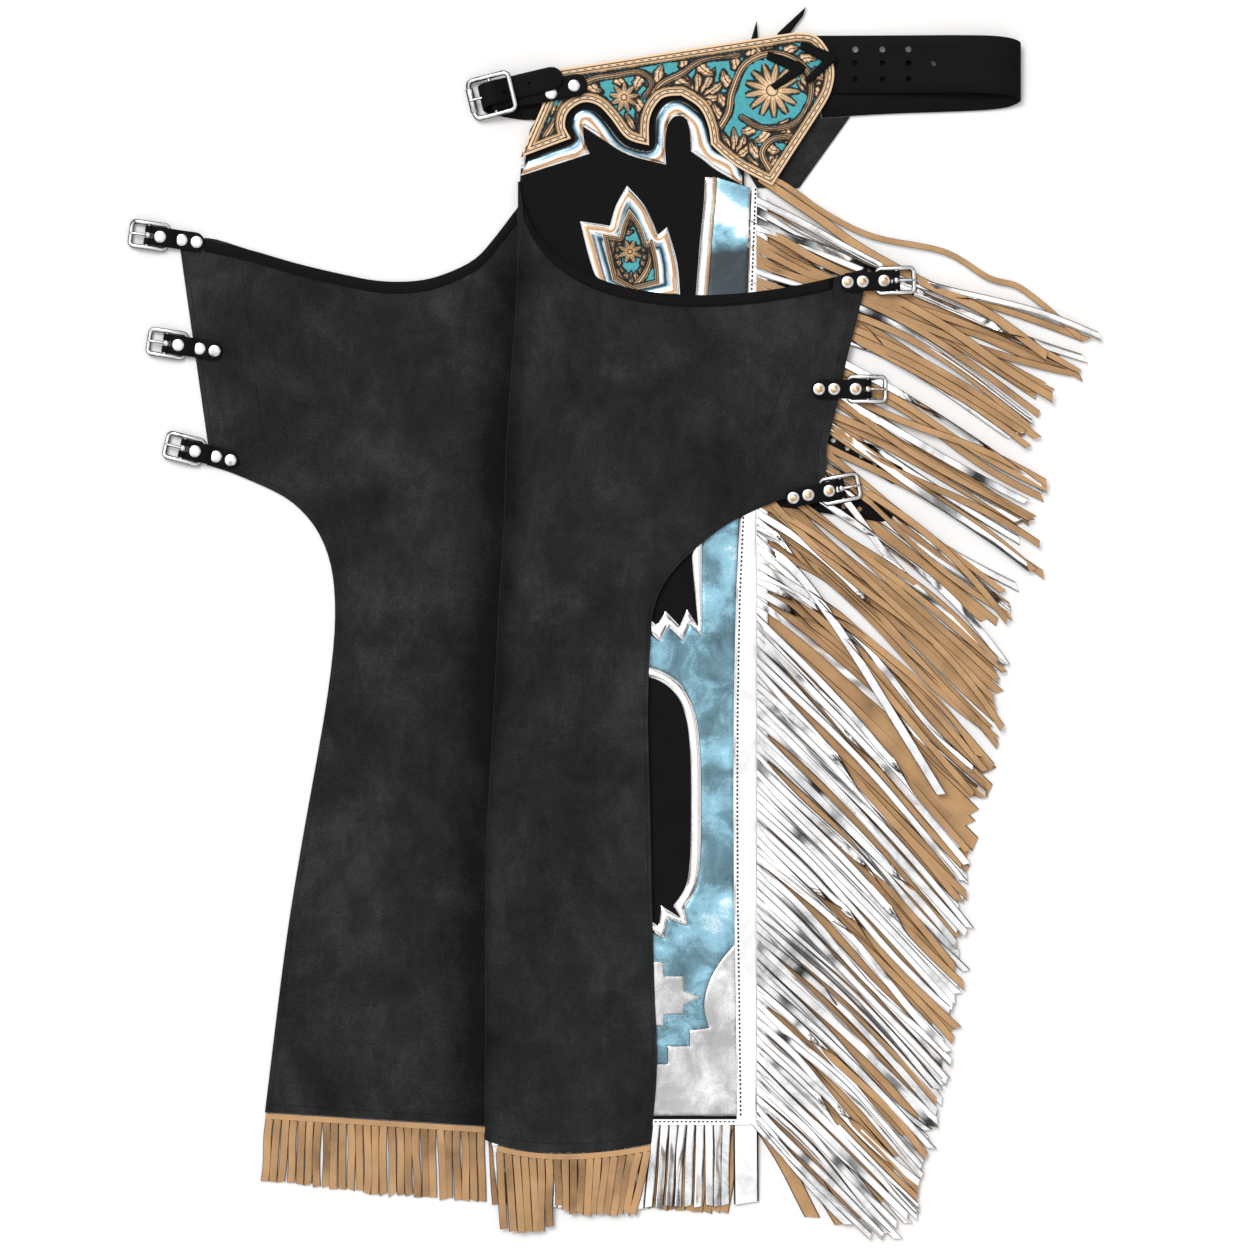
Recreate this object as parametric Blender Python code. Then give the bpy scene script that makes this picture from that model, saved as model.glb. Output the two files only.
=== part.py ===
"""Rodeo chaps laid flat: two fringed legs back to back, with yokes, belt and buckles.

The far leg lies open on the floor, flesh side up. The near leg lies on it with its decorated
front panel up, and its back flap is folded over that panel. +X runs to the fringed side,
+Y to the waist and +Z up from the floor. The origin is the middle of the footprint, on the floor.

Plan shapes are written on the cutting chart: one chart unit is 0.86 mm, x runs to the right
and y runs down from the chart's top left corner. Heights are in millimetres above the floor.
"""
import math
from collections import namedtuple

import bmesh
import bpy
from mathutils import Matrix, Vector

MM = 0.001

# ---- driving sizes -------------------------------------------------------------------------
CHART_UNIT = 0.86 * MM
CHART_CENTRE_X = 616.4
CHART_CENTRE_Y = 621.5

LEG_LEATHER = 1.8          # thickness of the leg leather
TRIM_LEATHER = 0.8         # appliques and facings
FRINGE_LEATHER = 1.0
YOKE_LEATHER = 3.0         # tooled yoke with its lining
SEAM_GAP = 0.3             # room between pieces that touch

FAR_LEG_LOW = 0.0
FAR_YOKE_LOW = 0.05
NEAR_PANEL_MID = 3.0
TRIM_LOW = 4.2
TRIM_TOP = TRIM_LOW + TRIM_LEATHER
SECOND_TRIM_LOW = TRIM_TOP + SEAM_GAP
YOKE_LOW = SECOND_TRIM_LOW
YOKE_TOP = YOKE_LOW + YOKE_LEATHER
FLAP_MID = 7.6             # the folded flap where it lies on the panel
FAR_FRINGE_LOW = 0.4
BILLET_LOW = 1.7
BILLET_LEATHER = 1.4
NEAR_FRINGE_MID = 3.9

FOLD_SPREAD = 1.4          # the soft fold is so much deeper than half its height
FOLD_SETTLE = 28.0         # how far from the fold the flap settles
PANEL_EDGE_X = 744.0       # chart x of both front panels' outer edge
STRIP_IN_X = 744.5         # fringe strip, chart x
STRIP_OUT_X = 757.0


def chart(x, y, height=0.0):
    """Chart units and a height in mm to a point in metres."""
    return Vector(((x - CHART_CENTRE_X) * CHART_UNIT, (CHART_CENTRE_Y - y) * CHART_UNIT, height * MM))


# ---- materials -----------------------------------------------------------------------------
Finish = namedtuple("Finish", "colour roughness metallic")
FINISHES = {
    "black_suede": Finish("26292C", 0.95, 0.0),
    "black_leather": Finish("17181A", 0.5, 0.0),
    "tan_leather": Finish("C39B6C", 0.85, 0.0),
    "tooled_leather": Finish("B98A58", 0.45, 0.0),
    "silver_leather": Finish("E6E6E8", 0.25, 0.9),
    "blue_leather": Finish("7FB4CC", 0.35, 0.6),
    "buckle_metal": Finish("D8D9DB", 0.15, 1.0),
}


def srgb_to_linear(value):
    return value / 12.92 if value <= 0.04045 else ((value + 0.055) / 1.055) ** 2.4


def make_material(name):
    finish = FINISHES[name]
    material = bpy.data.materials.new(name)
    material.use_nodes = True
    shader = material.node_tree.nodes["Principled BSDF"]
    channels = [srgb_to_linear(int(finish.colour[i:i + 2], 16) / 255) for i in (0, 2, 4)]
    shader.inputs["Base Color"].default_value = (*channels, 1.0)
    shader.inputs["Roughness"].default_value = finish.roughness
    shader.inputs["Metallic"].default_value = finish.metallic
    return material


# ---- shared shape helpers ------------------------------------------------------------------
def add_object(name, mesh, material_name):
    mesh.name = name
    mesh.materials.clear()
    mesh.materials.append(bpy.data.materials[material_name])
    item = bpy.data.objects.new(name, mesh)
    bpy.context.scene.collection.objects.link(item)
    return item


def mesh_from(points, faces):
    mesh = bpy.data.meshes.new("shape")
    mesh.from_pydata([tuple(p) for p in points], [], faces)
    work = bmesh.new()
    work.from_mesh(mesh)
    bmesh.ops.recalc_face_normals(work, faces=work.faces)
    work.to_mesh(mesh)
    work.free()
    return mesh


def smooth(points, steps=4):
    """A curve through the points, as Catmull-Rom spans of so many steps."""
    padded = [points[0], *points, points[-1]]
    run = []
    for a, b, c, d in zip(padded, padded[1:], padded[2:], padded[3:]):
        for step in range(steps):
            t = step / steps
            run.append(tuple(
                0.5 * (2 * q + (r - p) * t + (2 * p - 5 * q + 4 * r - s) * t * t
                       + (3 * q - p - 3 * r + s) * t ** 3)
                for p, q, r, s in zip(a, b, c, d)))
    run.append(tuple(points[-1]))
    return run


def read_between(table, key, column):
    """Straight-line reading of one column of a table of rows sorted by their first column."""
    rows = sorted(table, key=lambda row: row[0])
    if key <= rows[0][0]:
        return getattr(rows[0], column)
    for low, high in zip(rows, rows[1:]):
        if key <= high[0]:
            share = (key - low[0]) / (high[0] - low[0])
            return getattr(low, column) + share * (getattr(high, column) - getattr(low, column))
    return getattr(rows[-1], column)


def plate(name, outline, low, high, material_name):
    """A flat piece: a chart outline between two heights."""
    count = len(outline)
    points = [chart(x, y, low) for x, y in outline] + [chart(x, y, high) for x, y in outline]
    faces = [tuple(range(count)), tuple(range(count, 2 * count))]
    faces += [(i, (i + 1) % count, count + (i + 1) % count, count + i) for i in range(count)]
    return add_object(name, mesh_from(points, faces), material_name)


def boolean(item, cutter, operation):
    """Joins or cuts with a guide shape, and keeps the result as the item's own mesh."""
    cutter.hide_render = True
    cutter.display_type = "WIRE"
    modifier = item.modifiers.new(operation.lower(), "BOOLEAN")
    modifier.operation = operation
    modifier.solver = "EXACT"
    modifier.object = cutter
    bpy.context.view_layer.update()
    result = bpy.data.meshes.new_from_object(item.evaluated_get(bpy.context.evaluated_depsgraph_get()))
    item.modifiers.remove(modifier)
    item.data = result
    bpy.data.objects.remove(cutter)


def rod(radius, start, end, sides=10):
    """A round bar between two points, as an object that only shapes others."""
    start, end = Vector(start), Vector(end)
    work = bmesh.new()
    bmesh.ops.create_cone(work, cap_ends=True, segments=sides, radius1=radius, radius2=radius,
                          depth=(end - start).length)
    turn = (end - start).to_track_quat("Z", "Y").to_matrix().to_4x4()
    bmesh.ops.transform(work, matrix=Matrix.Translation((start + end) / 2) @ turn, verts=work.verts)
    mesh = bpy.data.meshes.new("rod")
    work.to_mesh(mesh)
    work.free()
    item = bpy.data.objects.new("rod", mesh)
    bpy.context.scene.collection.objects.link(item)
    return item


def block(low, high):
    work = bmesh.new()
    bmesh.ops.create_cube(work, size=1.0)
    size = Vector(high) - Vector(low)
    middle = (Vector(high) + Vector(low)) / 2
    bmesh.ops.scale(work, vec=size, verts=work.verts)
    bmesh.ops.translate(work, vec=middle, verts=work.verts)
    mesh = bpy.data.meshes.new("block")
    work.to_mesh(mesh)
    work.free()
    item = bpy.data.objects.new("block", mesh)
    bpy.context.scene.collection.objects.link(item)
    return item


def strap_mesh(stations, thickness):
    """A strap lofted along its side view. Each station is (along, height, half_width, shift)."""
    points, faces = [], []
    last = len(stations) - 1
    for i, (along, height, half_width, shift) in enumerate(stations):
        before, after = stations[max(i - 1, 0)], stations[min(i + 1, last)]
        direction = Vector((after[0] - before[0], 0, after[1] - before[1])).normalized()
        normal = Vector((-direction.z, 0, direction.x)) * thickness / 2
        middle = Vector((along, shift, height))
        side = Vector((0, half_width, 0))
        points += [middle + normal + side, middle + normal - side,
                   middle - normal - side, middle - normal + side]
    for i in range(last):
        a, b = 4 * i, 4 * i + 4
        faces += [(a + k, a + (k + 1) % 4, b + (k + 1) % 4, b + k) for k in range(4)]
    faces += [(0, 1, 2, 3), (4 * last, 4 * last + 1, 4 * last + 2, 4 * last + 3)]
    return mesh_from([p * MM for p in points], faces)


def place(item, origin, angle):
    """Turns a piece made at the origin by an angle about +Z and carries it to its place."""
    item.data.transform(Matrix.Translation(origin) @ Matrix.Rotation(math.radians(angle), 4, "Z"))


# ---- the legs ------------------------------------------------------------------------------
FoldPoint = namedtuple("FoldPoint", "y x bulge")
FOLD_LINE = [                       # the near leg's fold, from the waist to the hem
    FoldPoint(178, 519, 2.3), FoldPoint(230, 519, 3.6), FoldPoint(290, 518, 4.6),
    FoldPoint(450, 507, 4.9), FoldPoint(526, 505, 4.9), FoldPoint(603, 500, 4.8),
    FoldPoint(705, 495, 4.8), FoldPoint(848, 487, 4.6), FoldPoint(1139, 486, 4.0)]

FlapRow = namedtuple("FlapRow", "fold_y edge_x edge_y drop_near drop_far reach_near reach_far")
FLAP_ROWS = [                       # sections of the folded flap; the two control points of each
    FlapRow(182, 868, 268, 120, 52, 12, 168),
    FlapRow(196, 866, 280, 118, 51, 14, 166),
    FlapRow(236, 857, 318, 98, 34, 40, 150),
    FlapRow(300, 846, 362, 60, 16, 70, 130),
    FlapRow(370, 838, 400, 26, 6, 90, 110),
    FlapRow(430, 827, 445, 8, 2, 90, 110),
    FlapRow(478, 815, 490, 2, 0, 90, 100),
    FlapRow(496, 780, 500, 0, 0, 90, 90),
    FlapRow(516, 735, 520, 0, 0, 80, 80),
    FlapRow(542, 700, 545, 0, 0, 70, 70),
    FlapRow(573, 670, 575, 0, 0, 60, 60),
    FlapRow(603, 655, 605, 0, 0, 50, 50),
    FlapRow(648, 650, 650, 0, 0, 50, 50),
    FlapRow(720, 648, 720, 0, 0, 50, 50),
    FlapRow(800, 650, 800, 0, 0, 50, 50),
    FlapRow(900, 652, 900, 0, 0, 50, 50),
    FlapRow(1000, 655, 1000, 0, 0, 50, 50),
    FlapRow(1060, 657, 1062, 0, 2, 50, 50),
    FlapRow(1139, 651, 1143, 18, 12, 40, 60)]
FACING_WIDTH = 11.5                 # chart units
PANEL_TOP = [(560, 74, 50), (541, 120, 110), (521, 177, 177)]     # left x, left y and right y
PANEL_TOP_COLUMNS = (0.0, 0.011, 0.036, 0.5, 1.0)
PANEL_HEM_Y = 1118.0                # chart y of the near panel's hem at its outer edge
BEND_ANGLES = (90, 45, 0, -45, -90)
FLAP_COLUMNS = (0.03, 0.07, 0.12, 0.19, 0.28, 0.38, 0.5, 0.64, 0.78, 0.9, 1.0)
FACING_COLUMNS = FLAP_COLUMNS[:-1]  # the facing ends where the top buckle's tab begins
SECTION_STEPS = 60


def bezier(p0, p1, p2, p3, t):
    u = 1 - t
    return tuple(u ** 3 * a + 3 * u * u * t * b + 3 * u * t * t * c + t ** 3 * d
                 for a, b, c, d in zip(p0, p1, p2, p3))


def flap_section(row):
    """The plan curve of one flap section, from the fold to the flap's edge."""
    fold_x = read_between(FOLD_LINE, row.fold_y, "x")
    start, end = (fold_x, row.fold_y), (row.edge_x, row.edge_y)
    near = (fold_x + row.reach_near, row.fold_y + row.drop_near)
    far = (row.edge_x - row.reach_far, row.edge_y + row.drop_far)
    return [bezier(start, near, far, end, i / SECTION_STEPS) for i in range(SECTION_STEPS + 1)]


def at_x(curve, x):
    """The point of a plan curve at a chart x."""
    for (x0, y0), (x1, y1) in zip(curve, curve[1:]):
        if x <= x1:
            return x, y0 + (y1 - y0) * (x - x0) / (x1 - x0)
    return curve[-1]


def flap_height(distance, bulge):
    """Mid-surface height of the folded flap at a distance in mm from the fold's outer line."""
    middle, radius = NEAR_PANEL_MID + bulge, FOLD_SPREAD * bulge
    if distance < radius:
        side = (radius - distance) / radius
        return middle + bulge * math.sqrt(max(0.0, 1 - side * side))
    top = middle + bulge
    return FLAP_MID + (top - FLAP_MID) * math.exp(-((distance - radius) / FOLD_SETTLE) ** 2)


def flap_point(row, x, lift=0.0):
    """A point of the flap at a chart x, lifted so many mm from its mid-surface."""
    fold_x = read_between(FOLD_LINE, row.fold_y, "x")
    bulge = read_between(FOLD_LINE, row.fold_y, "bulge")
    px, py = at_x(flap_section(row), x)
    distance = (px - fold_x) * CHART_UNIT / MM
    return chart(px, py, flap_height(distance, bulge) + lift)


def bend_x(row, angle):
    """Chart x of the fold's surface at an angle above (or below) its outer line."""
    fold_x = read_between(FOLD_LINE, row.fold_y, "x")
    radius = FOLD_SPREAD * read_between(FOLD_LINE, row.fold_y, "bulge")
    return fold_x + radius * (1 - math.cos(math.radians(angle))) * MM / CHART_UNIT


def flap_column_x(row, share):
    """Chart x of a share of the way from the top of the fold to the flap's edge."""
    x_top = bend_x(row, 90)
    return x_top + (row.edge_x - x_top) * share


def panel_right_y(row_fold_y):
    """Chart y of the panel's outer edge on the row that meets the fold at row_fold_y."""
    top, hem = FLAP_ROWS[0].fold_y, FLAP_ROWS[-1].fold_y
    return top + (row_fold_y - top) / (hem - top) * (PANEL_HEM_Y - top)


def make_near_leg():
    """One sheet: the folded flap, the soft fold and the decorated front panel."""
    points, faces, flap_grid, panel_grid = [], [], [], []

    def add(point):
        points.append(point)
        return len(points) - 1

    for row in FLAP_ROWS:
        bulge = read_between(FOLD_LINE, row.fold_y, "bulge")
        flap = [add(flap_point(row, flap_column_x(row, share))) for share in reversed(FLAP_COLUMNS)]
        bend = []
        for angle in BEND_ANGLES:
            x = bend_x(row, angle)
            if angle > 0:
                bend.append(add(flap_point(row, x)))
            else:
                height = NEAR_PANEL_MID + bulge * (1 + math.sin(math.radians(angle)))
                bend.append(add(chart(x, row.fold_y, height)))
        flap_grid.append(flap + bend)
    for left_x, left_y, right_y in PANEL_TOP:
        panel_grid.append([add(chart(left_x + (PANEL_EDGE_X - left_x) * share,
                                     left_y + (right_y - left_y) * share, NEAR_PANEL_MID))
                           for share in PANEL_TOP_COLUMNS])
    for row, cells in zip(FLAP_ROWS, flap_grid):
        x0, right_y = bend_x(row, -90), panel_right_y(row.fold_y)
        panel = cells[-3:]
        panel += [add(chart(x0 + (PANEL_EDGE_X - x0) * share,
                            row.fold_y + (right_y - row.fold_y) * share, NEAR_PANEL_MID))
                  for share in (0.5, 1.0)]
        panel_grid.append(panel)
    for upper, lower in zip(flap_grid, flap_grid[1:]):
        faces += [(upper[k], upper[k + 1], lower[k + 1], lower[k]) for k in range(len(upper) - 1)]
    top_rows = len(PANEL_TOP)
    for upper, lower in zip(panel_grid[:top_rows], panel_grid[1:]):
        faces += [(upper[k], upper[k + 1], lower[k + 1], lower[k]) for k in range(4)]
    for upper, lower in zip(panel_grid[top_rows:], panel_grid[top_rows + 1:]):
        faces += [(upper[k], upper[k + 1], lower[k + 1], lower[k]) for k in range(2, 4)]
    return thicken("near_leg", points, faces, LEG_LEATHER, "black_suede")


def thicken(name, points, faces, thickness, material_name):
    """A wall of even thickness about a sheet, half to each side."""
    item = add_object(name, mesh_from(points, faces), material_name)
    wall = item.modifiers.new("wall", "SOLIDIFY")
    wall.thickness = thickness * MM
    wall.offset = 0.0
    wall.use_even_offset = True
    return item


def make_far_leg():
    flap_top = smooth([(518, 207), (496, 236), (475, 259), (445, 274), (416, 281), (379, 281),
                       (341, 274), (295, 263), (250, 250), (207, 238), (180, 247)], 2)
    flap_side = [(186, 290), (208, 444)]
    wing = smooth([(207, 465), (242, 477), (293, 503), (324, 544), (335, 603), (328, 692),
                   (301, 848), (285, 950), (265, 1112)], 3)
    hem = [(484, 1126), (PANEL_EDGE_X, 1122)]
    outline = flap_top + flap_side + wing + hem
    outline += [(PANEL_EDGE_X, 168.5), (521, 168.5)]
    plate("far_leg", outline, FAR_LEG_LOW, FAR_LEG_LOW + LEG_LEATHER, "black_suede")


def make_facings():
    """Smooth bands sewn along the flaps' top edges."""
    points, faces = [], []
    lift = (LEG_LEATHER + TRIM_LEATHER) / 2 + SEAM_GAP
    for share in FACING_COLUMNS:
        for row in FLAP_ROWS[:2]:
            points.append(flap_point(row, flap_column_x(row, share), lift))
    for i in range(0, 2 * len(FACING_COLUMNS) - 2, 2):
        faces.append((i, i + 1, i + 3, i + 2))
    thicken("near_facing", points, faces, TRIM_LEATHER, "black_leather")

    edge = smooth([(515, 213), (496, 236), (475, 259), (445, 274), (416, 281), (379, 281),
                   (341, 274), (295, 263), (250, 250), (212, 239)], 2)
    inner = [(x + 2 if x > 470 else x, y + FACING_WIDTH) for x, y in edge]
    low = FAR_LEG_LOW + LEG_LEATHER + SEAM_GAP
    plate("far_facing", edge + inner[::-1], low, low + TRIM_LEATHER, "black_leather")


# ---- yokes and appliques -------------------------------------------------------------------
YOKE_TOP_EDGE = [(520, 158), (558, 70), (751, 40), (796, 33)]
YOKE_CORNER = [(796, 33), (815, 36), (828, 51), (834, 72), (830, 94), (818, 115)]
YOKE_SCALLOPS = [                   # from the tip back to the front corner
    [(772, 186), (735, 166), (711, 145)], [(711, 145), (708, 126), (699, 108), (681, 96)],
    [(681, 96), (662, 99), (650, 118), (649, 146)],
    [(649, 146), (627, 139), (611, 119), (598, 106), (583, 103), (569, 112), (565, 126), (571, 139)],
    [(571, 139), (552, 146), (520, 158)]]
TRIM_EDGE = [(521, 176), (556, 165), (590, 154), (586, 129), (603, 139), (628, 156), (664, 164),
             (665, 134), (670, 121), (678, 116), (687, 122), (690, 137), (688, 156), (704, 162),
             (717, 171), (742, 185)]


def make_yokes():
    scallops = [p for run in YOKE_SCALLOPS for p in smooth(run, 2)[:-1]]
    outline = YOKE_TOP_EDGE[:-1] + smooth(YOKE_CORNER, 2) + scallops[:-1]
    outline.append(scallops[-1])
    plate("near_yoke", outline, YOKE_LOW, YOKE_TOP, "tooled_leather")
    far = [(524, 167.8), (530, 130), (560, 80), (750, 50), (795, 44), (812, 60), (818, 119.5),
           (850, 119.5), (799, 188), (757, 188), (745, 167.8)]
    plate("far_yoke", far, FAR_YOKE_LOW, LEG_LEATHER, "black_suede")
    inner = [(742, 172), (735, 160), (714, 148), (706, 124), (697, 113), (681, 102), (664, 106),
             (655, 121), (653, 151), (625, 145), (606, 123), (595, 112), (584, 109), (574, 116),
             (572, 127), (576, 143), (552, 151), (521.5, 163)]
    plate("yoke_trim", TRIM_EDGE + inner, TRIM_LOW, TRIM_TOP, "silver_leather")


MEDALLION_MIDDLE = (630, 250)
MEDALLION_CENTRE_SCALE = (0.62, 0.66)


def make_medallion():
    """A pointed leaf with two shoulder cusps: a silver base and a tooled centre."""
    tip, left, right, foot = (628, 187), (585, 226), (667, 232), (630, 306)
    half_left = smooth([tip, (613, 204), (606, 224)], 3)[:-1] + smooth([(606, 224), (585, 226)], 1)
    left_side = smooth([left, (588, 256), (598, 290)], 2)[1:]
    right_side = smooth([(664, 290), (672, 258), right], 2)[:-1]
    half_right = [right] + smooth([(650, 226), (645, 206), tip], 3)[:-1]
    outline = half_left + left_side + [foot] + right_side + half_right
    plate("medallion_base", outline, TRIM_LOW, TRIM_TOP, "silver_leather")
    (middle_x, middle_y), (scale_x, scale_y) = MEDALLION_MIDDLE, MEDALLION_CENTRE_SCALE
    centre = [(middle_x + (x - middle_x) * scale_x, middle_y + 3 + (y - middle_y) * scale_y)
              for x, y in outline]
    plate("medallion_centre", centre, SECOND_TRIM_LOW, SECOND_TRIM_LOW + TRIM_LEATHER,
          "tooled_leather")


GAP = 0.4                           # chart units between neighbouring appliques
BAND_OUT_X = 742.0
BORDER = 12.0                       # width of the silver borders
MITRE_LIMIT = 0.45                  # keeps the mitre of a sharp corner short
BAND_LEFT = [(717, 178), (716, 200), (712, 240), (708, 292), (703, 400), (702, 540), (702, 636)]
UPPER_TEETH = [(702, 636), (690, 624), (683, 641), (668, 627), (660, 642), (644, 630)]
WINDOW = [(644, 668), (676, 668), (700, 692), (700, 888), (684, 906), (688, 926), (668, 918),
          (664, 938), (644, 928)]
BAND_FOOT = [(742, 944), (722, 962), (708, 984), (704, 1006), (712, 1028), (690, 1030),
             (690, 1046), (668, 1046), (668, 1064), (644, 1064)]
MOTIF = [(644, 962), (664, 962), (664, 976), (684, 976), (684, 990), (700, 997), (684, 1004),
         (684, 1014), (664, 1014), (664, 1026), (644, 1026)]


def inset_run(points, distance):
    """The run moved sideways by a distance, corners mitred."""
    moved = []
    for i, (x, y) in enumerate(points):
        before, after = points[max(i - 1, 0)], points[min(i + 1, len(points) - 1)]
        sides = []
        for (ax, ay), (bx, by) in ((before, (x, y)), ((x, y), after)):
            length = math.hypot(bx - ax, by - ay)
            if length > 0:
                sides.append(Vector((-(by - ay) / length, (bx - ax) / length)))
        mean = sum(sides, Vector((0, 0))) / len(sides)
        scale = distance / max(mean.length_squared, MITRE_LIMIT)
        moved.append((x + mean.x * scale, y + mean.y * scale))
    return moved


def make_appliques():
    border_edge = BAND_LEFT + UPPER_TEETH[1:]
    border_outer = inset_run(border_edge, BORDER)
    border_line = inset_run(border_edge, GAP)
    plate("silver_border", border_line + border_outer[::-1], TRIM_LOW, TRIM_TOP, "silver_leather")
    band = [(BAND_OUT_X, 188)] + border_edge + inset_run(WINDOW, -GAP)
    band += [(644, 1064 - GAP)] + inset_run(BAND_FOOT, GAP)[::-1][1:]
    plate("blue_band", band, TRIM_LOW, TRIM_TOP, "blue_leather")
    inner = inset_run(WINDOW, BORDER - 2)
    plate("silver_window", WINDOW + inner[::-1], TRIM_LOW, TRIM_TOP, "silver_leather")
    plate("silver_motif", MOTIF, SECOND_TRIM_LOW, SECOND_TRIM_LOW + TRIM_LEATHER, "silver_leather")
    corner = BAND_FOOT + [(600, 1064), (600, 1118), (BAND_OUT_X, 1115)]
    plate("silver_corner", corner, TRIM_LOW, TRIM_TOP, "silver_leather")


# ---- fringes -------------------------------------------------------------------------------
Guide = namedtuple("Guide", "root tip_x tip_y sag")
NEAR_UPPER = [                      # root y, tip, and how far the strand sags below its chord
    Guide(194, 1106, 330, -14), Guide(230, 1096, 372, 2), Guide(300, 1068, 428, 8),
    Guide(400, 1047, 495, 8), Guide(470, 1036, 590, 2), Guide(540, 1008, 665, 0),
    Guide(598, 992, 730, 0)]
NEAR_LOWER = [
    Guide(612, 974, 838, -4), Guide(700, 970, 900, -4), Guide(760, 962, 955, -6),
    Guide(820, 958, 1004, -6), Guide(880, 950, 1057, -6), Guide(940, 941, 1102, -6),
    Guide(1000, 933, 1153, -6), Guide(1060, 917, 1206, -6), Guide(1112, 900, 1237, -6)]
FAR_SIDE = [
    Guide(196, 1088, 345, -4), Guide(330, 1040, 470, 4), Guide(470, 1018, 625, 4),
    Guide(600, 996, 768, 2), Guide(700, 962, 905, -4), Guide(820, 932, 1030, -6),
    Guide(940, 898, 1118, -6), Guide(1040, 850, 1190, -6), Guide(1112, 782, 1224, -4)]
NEAR_UPPER_STRANDS = 32
NEAR_LOWER_STRANDS = 40
FAR_STRANDS = 46
STRAND_SHARE = 0.72                 # of the pitch that is leather
HEM_SHARE = 0.84
TIP_SPREAD = 1.15                   # a side strand's most pitch at its tip, times that at its root
HEM_STRIP = 7.0                     # depth of a hem fringe's strip, chart units
HEM_SEAM = 0.6                      # from the hem to the strip, chart units
FLAP_HEM_SEAM = 0.9
NEAR_UPPER_HEIGHTS = (3.9, 3.9, 3.9, 2.4)       # mid-surface, from the strip to the tips
NEAR_LOWER_HEIGHTS = (3.9, 3.0, 2.4, 2.2)
FAR_HEIGHT = FAR_FRINGE_LOW + FRINGE_LEATHER / 2
PANEL_HEM_TIP_HEIGHT = 2.4
FLAP_HEM_HEIGHTS = (6.6, 5.0)

Hem = namedtuple("Hem", "root_x tip_x tip_y")
FAR_FLAP_HEM = [Hem(265.5, 260, 1180), Hem(345, 345, 1190), Hem(410, 412, 1196), Hem(485, 486, 1201)]
FAR_PANEL_HEM = [Hem(488, 492, 1203), Hem(600, 603, 1206), Hem(742, 728, 1212)]
NEAR_PANEL_HEM = [Hem(492, 500, 1205), Hem(653, 646, 1208), Hem(712, 712, 1206), Hem(731, 729, 1204)]
NEAR_FLAP_HEM = [Hem(496, 500, 1228), Hem(520, 526, 1232), Hem(547, 547, 1231), Hem(556, 558, 1204),
                 Hem(574, 574, 1214), Hem(651, 636, 1213)]


def strands_along(guides, count, first_column, columns):
    """Reads a guide table at so many even places; each gives the pitch cell and the columns."""
    low, high = getattr(guides[0], first_column), getattr(guides[-1], first_column)
    cell = (high - low) / count
    for i in range(count):
        middle = low + (i + 0.5) * cell
        yield middle, cell, [read_between(guides, middle, column) for column in columns]


def comb(name, inner_edge, outer_edge, strands, thickness, material_name, flat=True):
    """A fringe: a strip from the inner to the outer edge, with strands drawn out of the outer edge.

    The edges are functions of a place along the strip. A strand is (place_from, place_to,
    sections), where a section is the pair of points that its two edges pass through. A strip that
    isn't flat is made of a face for each strand and each gap.
    """
    half = Vector((0, 0, thickness / 2 * MM))
    places = [place_on for start, stop, _ in strands for place_on in (start, stop)]
    points, faces = [], []

    def add_pair(point):
        points.append(point + half)
        points.append(point - half)
        return len(points) - 2

    outer = [add_pair(outer_edge(place_on)) for place_on in places]
    inner_places = (places[0], places[-1]) if flat else places
    inner = [add_pair(inner_edge(place_on)) for place_on in inner_places]
    if flat:
        rim = [inner[1], inner[0]] + outer
        faces += [tuple(rim), tuple(corner + 1 for corner in reversed(rim))]
    else:
        for a, b, c, d in zip(inner, inner[1:], outer[1:], outer):
            faces += [(a, b, c, d), (a + 1, d + 1, c + 1, b + 1)]
    faces += [(a, a + 1, b + 1, b) for a, b in zip(inner, inner[1:])]
    faces += [(d, c, c + 1, d + 1) for d, c in zip(outer[1:-1:2], outer[2::2])]
    for a, d in ((inner[0], outer[0]), (inner[-1], outer[-1])):
        faces.append((a, a + 1, d + 1, d))
    for number, (_, _, sections) in enumerate(strands):
        left, right = outer[2 * number], outer[2 * number + 1]
        for first, second in sections:
            new_left, new_right = add_pair(first), add_pair(second)
            faces += [(left, right, new_right, new_left),
                      (left + 1, new_left + 1, new_right + 1, right + 1),
                      (left, new_left, new_left + 1, left + 1),
                      (right, right + 1, new_right + 1, new_right)]
            left, right = new_left, new_right
        faces.append((left, right, right + 1, left + 1))
    return add_object(name, mesh_from(points, faces), material_name)


def side_strands(guides, count, heights):
    """Strands of an outer fringe: roots down the strip, tips where the guides say."""
    strands = []
    steps = len(heights) - 1
    table = list(strands_along(guides, count, "root", ("tip_x", "tip_y", "sag")))
    tip_ys = [row[2][1] for row in table]
    for i, (root, cell, (tip_x, tip_y, sag)) in enumerate(table):
        tip_cell = (tip_ys[min(i + 1, count - 1)] - tip_ys[max(i - 1, 0)]) / (
            min(i + 1, count - 1) - max(i - 1, 0))
        sections = []
        for step in range(1, steps + 1):
            t = step / steps
            x = STRIP_OUT_X + (tip_x - STRIP_OUT_X) * t
            y = root + (tip_y - root) * t + sag * 4 * t * (1 - t)
            half = STRAND_SHARE * (cell + (min(tip_cell, cell * TIP_SPREAD) - cell) * t) / 2
            sections.append((chart(x, y - half, heights[step]), chart(x, y + half, heights[step])))
        half = STRAND_SHARE * cell / 2
        strands.append((root - half, root + half, sections))
    return strands


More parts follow.
